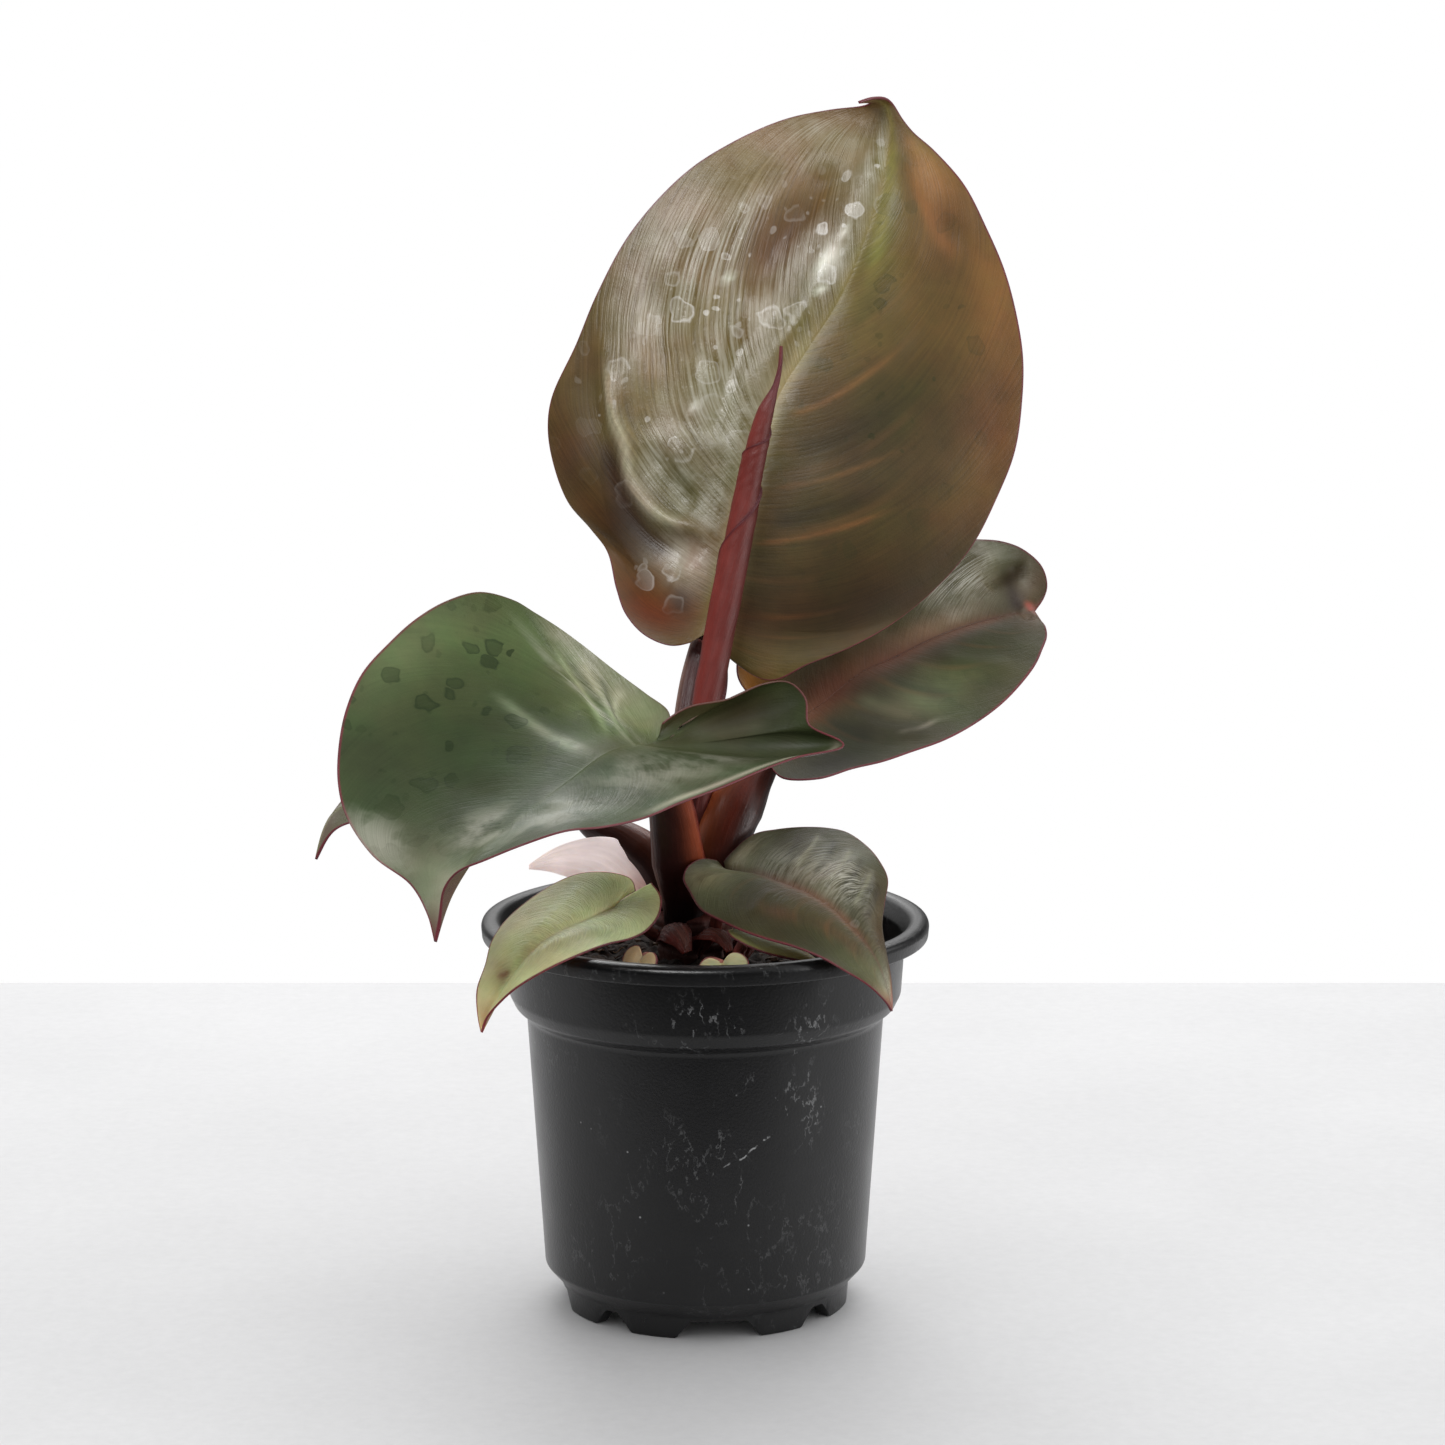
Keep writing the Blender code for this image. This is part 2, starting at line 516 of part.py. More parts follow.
def tube(path, radii, sides, turn=None, ledge=0.0, depth=1.0):
    """Points and faces of a capped tube, flattened to the given depth.

    A ring's point at angle a lies at radius r (1 - ledge a / full turn) from the
    path, counted from the turn at that ring, so a ledge makes a rolled sheet.
    """
    side, other = ring_frames(path)
    other = other * depth
    turn = np.zeros(len(path)) if turn is None else turn
    count = sides + 1 if ledge else sides
    angle = np.linspace(0, 2 * np.pi, sides, endpoint=False)
    shrink = 1 - ledge * np.linspace(0, 1, sides, endpoint=False)
    if ledge:
        angle = np.append(angle, 2 * np.pi - 0.02)
        shrink = np.append(shrink, 1 - ledge)
    around = angle[None] + turn[:, None]
    radius = np.asarray(radii)[:, None] * shrink[None]
    points = (path[:, None] + side[:, None] * (np.cos(around) * radius)[..., None]
              + other[:, None] * (np.sin(around) * radius)[..., None])
    faces = []
    for row in range(len(path) - 1):
        for place in range(count):
            after = (place + 1) % count
            faces.append((row * count + place, row * count + after,
                          (row + 1) * count + after, (row + 1) * count + place))
    faces.append(tuple(range(count - 1, -1, -1)))
    faces.append(tuple((len(path) - 1) * count + place for place in range(count)))
    return points.reshape(-1, 3), faces


def smooth_tube(points, radii, rings, sides, facing=None, depth=1.0):
    """A tube along the smooth curve through the points, with radii given at those points.

    Where a facing is given, the last ring is cut on the plane square to it.
    """
    samples = np.linspace(0, len(points) - 1, rings)
    path = curve_through(points, samples)
    thickness = np.interp(samples, np.linspace(0, len(points) - 1, len(radii)), radii)
    mesh_points, faces = tube(path, thickness, sides, depth=depth)
    if facing is not None:
        forward = unit(path[-1] - path[-2])
        ring = mesh_points[-sides:]
        ahead = ((path[-1] - ring) @ facing) / (forward @ facing)
        mesh_points[-sides:] = ring + forward * ahead[:, None]
    return mesh_points, faces


def on_stem_side(turn_deg, height, distance):
    """A point at the given distance from the stem's side, in the given direction."""
    turn = math.radians(turn_deg)
    reach = STEM_RADIUS + distance
    return (STEM_AXIS[0] + reach * math.cos(turn), STEM_AXIS[1] + reach * math.sin(turn), height)


def make_petiole(name, spec, leaf, material, carrier, rings, sides):
    """A petiole from the crown, or from the crown's side, to just under its blade's joint."""
    end, up = blade_joint(leaf)
    end = end - up * spec.get("drop", 0.0)
    if "foot" in spec:
        start = [(*spec["foot"], STEM_TOP + GAP), (*spec["foot"], STEM_TOP + 4)]
    else:
        turn, height = spec["leaves"]
        start = [on_stem_side(turn, height, GAP), on_stem_side(turn, height + 0.4, 2.0)]
    path = start + list(spec["path"]) + [tuple(end)]
    points, faces = smooth_tube(path, spec["radii"], rings, sides, up, spec.get("depth", 1.0))
    if "foot" in spec:
        points[:sides, 2] = STEM_TOP + GAP
    return make_object(name, points, faces, material, carrier)


def revolve(profile, angles):
    """Points and faces of a closed ring section turned about the pot's axis.

    A profile is a function of the angle's place, so the section may change on
    its way round.
    """
    sections = np.array([profile(place) for place in range(len(angles))])
    count = sections.shape[1]
    turn = np.radians(angles)
    points = np.stack([sections[..., 0] * np.cos(turn)[:, None], sections[..., 0] * np.sin(turn)[:, None],
                       sections[..., 1]], axis=-1)
    faces = []
    for row in range(len(angles)):
        after = (row + 1) % len(angles)
        for place in range(count):
            follow = (place + 1) % count
            faces.append((row * count + place, row * count + follow,
                          after * count + follow, after * count + place))
    return points.reshape(-1, 3), faces


def pot_angles():
    quarters = FIRST_GAP_DEG + 90 * np.arange(4)
    return (quarters[:, None] + np.array(QUARTER_ANGLES)[None]).ravel()


def pot_profile(place):
    """The pot's section: up the outside, over the rolled rim and down the inside."""
    stands = QUARTER_ANGLES[place % len(QUARTER_ANGLES)] in FOOT_ANGLES
    foot = 0.0 if stands else FLOOR_UNDER
    collar_radius, collar_top = COLLAR
    return [
        (FOOT_INNER, foot), (SKIRT[0] - 0.1, foot), SKIRT, BODY_FOOT, BODY_TOP,
        (46.4, 76.9), (48.9, 78.9), (50.4, 82.0), (collar_radius, collar_top),
        (collar_radius + 0.1, 98.2), (RIM_RADIUS - 1.6, 98.4), (RIM_RADIUS - 1.4, 96.6),
        (RIM_RADIUS - 0.3, 96.4), (RIM_RADIUS, 99.6), (RIM_RADIUS - 0.5, 100.7),
        (RIM_RADIUS - 1.9, POT_HEIGHT), (RIM_RADIUS - 3.9, POT_HEIGHT), (RIM_RADIUS - 5.0, 100.6),
        (collar_radius - 0.9, 96.5), (49.4, 82.4), (48.1, 79.8), (BODY_TOP[0] - WALL + 0.3, 77.4),
        (BODY_TOP[0] - WALL, 75.8), (BODY_FOOT[0] - WALL, 11.4), (BODY_FOOT[0] - 2.1, 8.6),
        (SKIRT[0] + 0.9, FLOOR_TOP), (CENTRE_DRAIN, FLOOR_TOP), (CENTRE_DRAIN, FLOOR_UNDER),
        (FOOT_INNER - 0.8, FLOOR_UNDER),
    ]


def cylinder(centre, radius, low, high, sides=20):
    """Points and faces of an upright cylinder."""
    path = np.array([[centre[0], centre[1], low], [centre[0], centre[1], high]], float)
    return tube(path, (radius, radius), sides)


def cut(item, cutter_meshes, carrier):
    """Take each closed mesh out of the item, and leave the result as its own mesh."""
    combine(item, cutter_meshes, carrier, "DIFFERENCE")


def join(item, other_meshes, carrier):
    """Join each closed mesh to the item in one solid."""
    combine(item, other_meshes, carrier, "UNION")


def combine(item, meshes, carrier, operation):
    tools = bpy.data.collections.new(item.name + "_tools")
    bpy.context.scene.collection.children.link(tools)
    helpers = []
    for number, (points, faces) in enumerate(meshes):
        helper = make_object("%s_tool_%d" % (item.name, number), points, faces, None, carrier)
        bpy.context.scene.collection.objects.unlink(helper)
        tools.objects.link(helper)
        helpers.append(helper)
    change = item.modifiers.new(operation.lower(), "BOOLEAN")
    change.operand_type = "COLLECTION"
    change.collection = tools
    change.operation = operation
    change.solver = "EXACT"
    bpy.context.view_layer.update()
    result = bpy.data.meshes.new_from_object(item.evaluated_get(bpy.context.evaluated_depsgraph_get()))
    item.modifiers.clear()
    item.data = result
    for helper in helpers:
        bpy.data.objects.remove(helper, do_unlink=True)
    bpy.data.collections.remove(tools)


def make_pot(material, carrier):
    points, faces = revolve(pot_profile, pot_angles())
    pot = make_object("pot", points, faces, material, carrier)
    drains = []
    for quarter in range(4):
        turn = math.radians(FIRST_GAP_DEG + 90 * quarter)
        centre = (DRAIN_CIRCLE * math.cos(turn), DRAIN_CIRCLE * math.sin(turn))
        drains.append(cylinder(centre, DRAIN_RADIUS, FLOOR_UNDER - 2, FLOOR_TOP + 2, 16))
    cut(pot, drains, carrier)
    return pot


def soil_height(x, y):
    """Height of the soil's top: a slight dome with crumbs, as sums of short waves."""
    distance = np.hypot(x, y)
    crumbs = (0.55 * np.sin(0.61 * x + 0.33 * y + 0.7) * np.cos(0.29 * x - 0.57 * y)
              + 0.45 * np.sin(1.13 * x - 0.71 * y + 2.1) + 0.35 * np.cos(0.87 * y + 1.31 * x))
    return SOIL_TOP + 0.8 * np.cos(distance / 25.0) + crumbs


def stem_profile():
    """Radius and height of the stem, from its foot in the soil to the crown's flat top."""
    return [(4.5, STEM_FOOT), (7.6, STEM_FOOT + 3), (8.9, 68), (9.1, 80), (9.2, 93),
            (STEM_RADIUS, 97.5), (STEM_RADIUS, 101.6), (STEM_RADIUS - 1.0, STEM_TOP)]


def stem_solid(extra):
    """The stem as stacked rings about its axis, larger all round and at its foot by extra."""
    profile = stem_profile()
    path = np.array([[*STEM_AXIS, height] for _, height in profile])
    path[0, 2] -= extra
    return tube(path, [radius + extra for radius, _ in profile], STEM_SIDES)


def root_solids(extra):
    """Stout roots: each leaves the stem below the soil and runs outward and down, wandering a little."""
    solids = []
    for number in range(ROOT_COUNT):
        turn = 2 * math.pi * (number + 0.3) / ROOT_COUNT
        start = 74.0 - 2.2 * (number % 3)
        reach = np.array([4.0, 12.0, 20.0, 27.0, 31.0])
        sway = np.array([0.0, 0.15, 0.32, 0.28, 0.45]) * (1 if number % 2 else -1)
        drop = np.array([0.0, 3.0, 12.0, 27.0, 44.0])
        path = np.stack([STEM_AXIS[0] + reach * np.cos(turn + sway),
                         STEM_AXIS[1] + reach * np.sin(turn + sway), start - drop], axis=-1)
        radii = np.array([1.9, 1.7, 1.5, 1.2, 0.9]) + extra
        if extra:
            path[-1] += unit(path[-1] - path[-2]) * extra
        samples = np.linspace(0, 4, 7)
        solids.append(tube(curve_through(path, samples), np.interp(samples, np.arange(5), radii), 6))
    return solids


def make_stem(material, carrier):
    points, faces = stem_solid(0.0)
    stem = make_object("stem", points, faces, material, carrier)
    join(stem, root_solids(0.0), carrier)
    return stem


def make_soil(material, carrier):
    """The root ball: it fills the pot with a small clearance and has the hole for the stem and its roots."""
    turn = np.radians(pot_angles())
    sides = len(turn)
    wall = [(BODY_FOOT[0] - 3.6, FLOOR_TOP + GAP), (BODY_FOOT[0] - 1.8, 11.6), (BODY_TOP[0] - 1.7, 76.4),
            (48.2, 81.6), (49.0, 84.5)]
    rings = [[(radius * math.cos(a), radius * math.sin(a), height) for a in turn] for radius, height in wall]
    for radius in (49.3, 42.5, 35.5, 28.5, 21.0, 13.5):
        share = (49.3 - radius) / (49.3 - 13.5)
        x = STEM_AXIS[0] * share + radius * np.cos(turn)
        y = STEM_AXIS[1] * share + radius * np.sin(turn)
        rings.append(list(zip(x, y, soil_height(x, y))))
    points = np.array(rings).reshape(-1, 3)
    faces = []
    for row in range(len(rings) - 1):
        for place in range(sides):
            after = (place + 1) % sides
            faces.append((row * sides + place, row * sides + after, (row + 1) * sides + after,
                          (row + 1) * sides + place))
    faces.append(tuple(range(sides - 1, -1, -1)))
    faces.append(tuple((len(rings) - 1) * sides + place for place in range(sides)))
    soil = make_object("soil", points, faces, material, carrier)
    cut(soil, [stem_solid(GAP)] + root_solids(GAP), carrier)
    return soil


def make_spear(material, carrier):
    """The new leaf, still rolled: a long spindle with its outer margin winding up it."""
    last = len(SPEAR_PATH) - 1
    samples = np.concatenate([np.linspace(0, 7, 15), np.linspace(7.4, last, 11)])
    path = curve_through(SPEAR_PATH, samples)
    radii = np.interp(samples, np.arange(last + 1), SPEAR_RADII)
    height = (path[:, 2] - path[0, 2]) / (path[-1, 2] - path[0, 2])
    turn = SPEAR_SEAM_START + 2 * np.pi * SPEAR_SEAM_TURNS * height
    points, faces = tube(path, radii, SPEAR_SIDES, turn, SPEAR_LEDGE)
    points[:SPEAR_SIDES + 1, 2] = STEM_TOP + GAP
    return make_object("leaf_new_spear", points, faces, material, carrier)


def strip_surface(spec, rows=8, columns=6):
    """A sheath: a strip along its centre line whose cross section is a parabola's trough."""
    turn, height = spec["leaves"]
    path = np.asarray([on_stem_side(turn, height, SHEATH_GAP)] + spec["path"], float)
    samples = np.linspace(0, len(path) - 1, rows)
    centre = curve_through(path, samples)
    half = np.interp(samples, np.arange(len(path)), spec["half_widths"])[:, None]
    forward = unit(np.gradient(centre, axis=0))
    opens = np.asarray(spec["opens"], float)
    opens = unit(opens[None] - forward * (forward @ opens)[:, None])
    across = np.cross(forward, opens)
    v = np.linspace(-1, 1, columns)[None]
    lift = spec["trough"] * (half / max(spec["half_widths"])) * v**2
    return centre[:, None] + across[:, None] * (half * v)[..., None] + opens[:, None] * lift[..., None]


def make_sheath(name, spec, material, carrier):
    top = strip_surface(spec)
    under = top - grid_normals(top) * BLADE
    points, faces = closed_shell(top, under)
    return make_object(name, points, faces, material, carrier)


def heart_leaf(spec):
    """The curves of a small heart-shaped leaf, from its joint, tip and width."""
    joint = np.asarray(spec["joint"], float)
    tip = np.asarray(spec["tip"], float)
    forward = tip - joint
    left = np.asarray(spec["left"], float)
    left = unit(left - forward * (left @ forward) / (forward @ forward)) * spec["width"] / 2
    sag = np.cross(unit(forward), unit(left)) * 0.08 * spec["width"]
    rib = [joint, joint + forward * 0.35 + sag * 0.8, joint + forward * 0.7 + sag, tip]
    rows = []
    for share, along, wide in HEART:
        base = joint + forward * along
        rows.append((share, tuple(base + left * wide), tuple(base - left * wide)))
    return {"rib": rib, "rows": rows, "cup": (0.08, 0.08), "sweep": 0.1, "rib_height": 0.5, "rib_width": 1.0,
            "crease": None}


def make_juvenile(name, spec, materials, carrier):
    """A small leaf inside the rim: its blade, and its petiole from the soil."""
    leaf = heart_leaf(spec)
    columns = (0.0, 0.35, 0.72, 1.0)
    make_blade(name + "_blade", leaf, materials["leaf_juvenile"], carrier, columns)
    end, up = blade_joint(leaf, columns)
    foot_x, foot_y, over_soil = spec["foot"]
    ground = float(soil_height(np.array(foot_x), np.array(foot_y))) + over_soil
    path = [(foot_x, foot_y, ground), (foot_x, foot_y, ground + 1.5), spec["bend"], tuple(end)]
    points, faces = smooth_tube(path, (JUVENILE_PETIOLE,) * 2, 8, 6, up)
    make_object(name + "_petiole", points, faces, materials["petiole"], carrier)


def main():
    clear_scene()
    materials = {name: make_material(name) for name in MATERIALS}
    carrier = bpy.data.objects.new("plant_in_its_pot", None)
    carrier.location = (POT_AXIS[0] * MM, POT_AXIS[1] * MM, 0.0)
    bpy.context.scene.collection.objects.link(carrier)
    bpy.context.view_layer.update()

    make_pot(materials["pot_plastic"], carrier)
    make_soil(materials["soil"], carrier)
    make_stem(materials["stem"], carrier)
    blades = (("leaf_back_blade", BACK_LEAF, "leaf_bronze"), ("leaf_left_blade", LEFT_LEAF, "leaf_green"),
              ("leaf_right_blade", RIGHT_LEAF, "leaf_dark"), ("leaf_rear_blade", REAR_LEAF, "leaf_green"),
              ("leaf_front_left_blade", FRONT_LEFT_LEAF, "leaf_olive"),
              ("leaf_front_right_blade", FRONT_RIGHT_LEAF, "leaf_grey_green"))
    for name, leaf, material in blades:
        make_blade(name, leaf, materials[material], carrier)
    leaves = {"back": BACK_LEAF, "left": LEFT_LEAF, "right": RIGHT_LEAF, "rear": REAR_LEAF,
              "front_left": FRONT_LEFT_LEAF, "front_right": FRONT_RIGHT_LEAF}
    for key, spec in PETIOLES.items():
        make_petiole("leaf_%s_petiole" % key, spec, leaves[key], materials["petiole"], carrier, 12, 10)
    for key, spec in SIDE_PETIOLES.items():
        make_petiole("leaf_%s_petiole" % key, spec, leaves[key], materials["petiole"], carrier, 9, 8)
    make_spear(materials["leaf_new"], carrier)
    for name, spec in SHEATHS.items():
        finish = "sheath_pale" if "pale" in name else "sheath_dry"
        make_sheath(name, spec, materials[finish], carrier)
    for name, spec in JUVENILES.items():
        make_juvenile(name, spec, materials, carrier)


if __name__ == "__main__":
    main()
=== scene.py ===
"""A potted red heart philodendron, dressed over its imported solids.

Sizes are in millimetres from the pot's axis at table level, as in the solids:
+X is to the right of someone who faces the plant, +Y is away from them and +Z
is up. Meshes are written in metres.
"""

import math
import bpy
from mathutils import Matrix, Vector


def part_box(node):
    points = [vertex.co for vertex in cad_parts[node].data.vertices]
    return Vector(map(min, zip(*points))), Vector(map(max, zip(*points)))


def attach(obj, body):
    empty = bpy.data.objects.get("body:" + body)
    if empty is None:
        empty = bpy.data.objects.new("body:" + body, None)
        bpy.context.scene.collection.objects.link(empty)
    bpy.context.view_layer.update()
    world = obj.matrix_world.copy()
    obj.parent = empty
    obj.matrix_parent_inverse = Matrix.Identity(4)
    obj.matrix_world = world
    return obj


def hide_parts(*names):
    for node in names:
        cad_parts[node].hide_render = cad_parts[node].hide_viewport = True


bl_info = {
    "name": "Potted red heart philodendron",
    "version": (1, 0, 0),
    "blender": (4, 5, 0),
    "location": "View3D > Sidebar > Plant",
    "description": "Builds the plant, its pot and a plain studio stage",
    "category": "Add Mesh",
}

import bmesh
import bpy
import numpy as np

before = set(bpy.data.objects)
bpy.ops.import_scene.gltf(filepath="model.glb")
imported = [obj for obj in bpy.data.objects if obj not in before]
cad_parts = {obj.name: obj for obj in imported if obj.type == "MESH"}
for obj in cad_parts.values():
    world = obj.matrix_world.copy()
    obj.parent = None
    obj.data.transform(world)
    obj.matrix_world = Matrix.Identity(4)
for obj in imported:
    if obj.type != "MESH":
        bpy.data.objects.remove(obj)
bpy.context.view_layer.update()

MM = 0.001
SEW_DISTANCE = 0.002 * MM
POT_LOW, POT_HIGH = (np.array(corner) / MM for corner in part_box("pot"))
POT_AXIS = np.array([(POT_LOW[0] + POT_HIGH[0]) / 2, (POT_LOW[1] + POT_HIGH[1]) / 2, 0.0])

# The pot, radius and height
RIM_RADIUS = 57.5
POT_HEIGHT = 101.3
WALL = 1.1
BODY_TOP = (45.9, 76.0)
BODY_FOOT = (41.6, 10.5)
SKIRT = (37.3, 5.7)
COLLAR = (51.3, 96.0)
FLOOR_UNDER = 5.2
FLOOR_TOP = 7.2
CENTRE_DRAIN = 5.0
DRAIN_RADIUS = 3.2
DRAIN_CIRCLE = 29.0
FOOT_INNER = 33.4
FIRST_GAP_DEG = -84.5
FOOT_EDGES = (11, 17, 36, 42, 48, 54, 73, 79)    # degrees inside a quarter, ramp up, foot, ramp down
FOOT_HEIGHTS = (0, 1, 1, 0, 0, 1, 1, 0)

# The soil's top, and the stem: its axis, ends, radius and the step from leaf scar to leaf scar
SOIL_TOP = 90.5
STEM_AXIS = (-3.0, -1.5)
STEM_TOP = 103.0
STEM_FOOT = 58.0
STEM_RADIUS = 9.7
SCAR_STEP = 2.6

# The roots, from the stem outwards: reach, sideways sway in radians, drop and radius
ROOT_COUNT = 6
ROOT_START = 74.0
ROOT_REACH = np.array([4.0, 12.0, 20.0, 27.0, 31.0])
ROOT_SWAY = np.array([0.0, 0.15, 0.32, 0.28, 0.45])
ROOT_DROP = np.array([0.0, 3.0, 12.0, 27.0, 44.0])
ROOT_RADII = (1.9, 1.7, 1.5, 1.2, 0.9)

# The soil's wall by radius and height, and the bark chips and coir fibres on it,
# which lie in a band from an inner radius out
SOIL_RADIUS = 49.0
SOIL_WALL = np.array([(38.0, 7.6), (39.8, 11.6), (44.2, 76.4), (48.2, 81.6), (SOIL_RADIUS, 84.5)])
CHIP_INNER, CHIP_BAND = 12.5, 35.0
CHIP_SIZE = np.array([2.6, 1.7, 0.9])
CHIP_TONES = ("#2c211a", "#3d2c20", "#54402f", "#241a15")
FIBRE_INNER, FIBRE_BAND, FIBRE_LIMIT = 14.0, 31.0, 47.0
FIBRE_RADIUS = 0.16
FIBRE_TONES = ("#6b523a", "#4a3626", "#8a7257")
GOLDEN_ANGLE = 2.39996

JOINT_REACH = 5.0      # round the joint, where a blade's normals are evened out
JOINT_DROP = 1.4       # from the blade's face down to its petiole's end
TAIL_WIDTH = 7.0       # a blade narrower than this has one normal across it
MARGIN_REACH = 0.45    # how far the rounded margin stands out, for its thickness
SHEATH_THICKNESS = 0.3
SHEATH_EDGE = 0.12
PATTERN_LENGTH = 10.0  # of a tube, for one unit of its pattern

TISSUE_IOR, PLASTIC_IOR, SOIL_IOR = 1.45, 1.49, 1.4

# The painted silvery highlight on blades, the dark spots under dried drops, and pale flecks on skin
PAINTED_SILVER_SHEEN, DARK_SPOT, FLECK = "#a2a093", "#19270a", "#bcada2"

# The stage: the table's corners, the camera, and the lamps in metres with
# place, target, size and share of the key light's power
TABLE_LOW, TABLE_HIGH = (-2600, -2600, -30), (2600, 337, 0)
CAMERA_PLACE = (4.44, -1105.5, 357.1)
CAMERA_LENS = 110.0
CAMERA_TILT_DEG = 10.5245
LAMPS = {
    "key": ((-0.35, -0.86, 1.12), (0.0, 0.03, 0.22), (0.75, 0.5), 1.0),
    "strip": ((1.1, -0.48, 0.27), (0.0, 0.0, 0.08), (0.3, 0.5), 0.4),
    "back": ((0.05, 0.95, 0.95), (0.0, 0.0, 0.05), (1.0, 0.6), 0.45),
}

# The order in which the pieces are made
STEPS = ("pot", "soil", "crown", "petioles", "blades", "new_leaf", "sheaths", "juveniles", "stage")
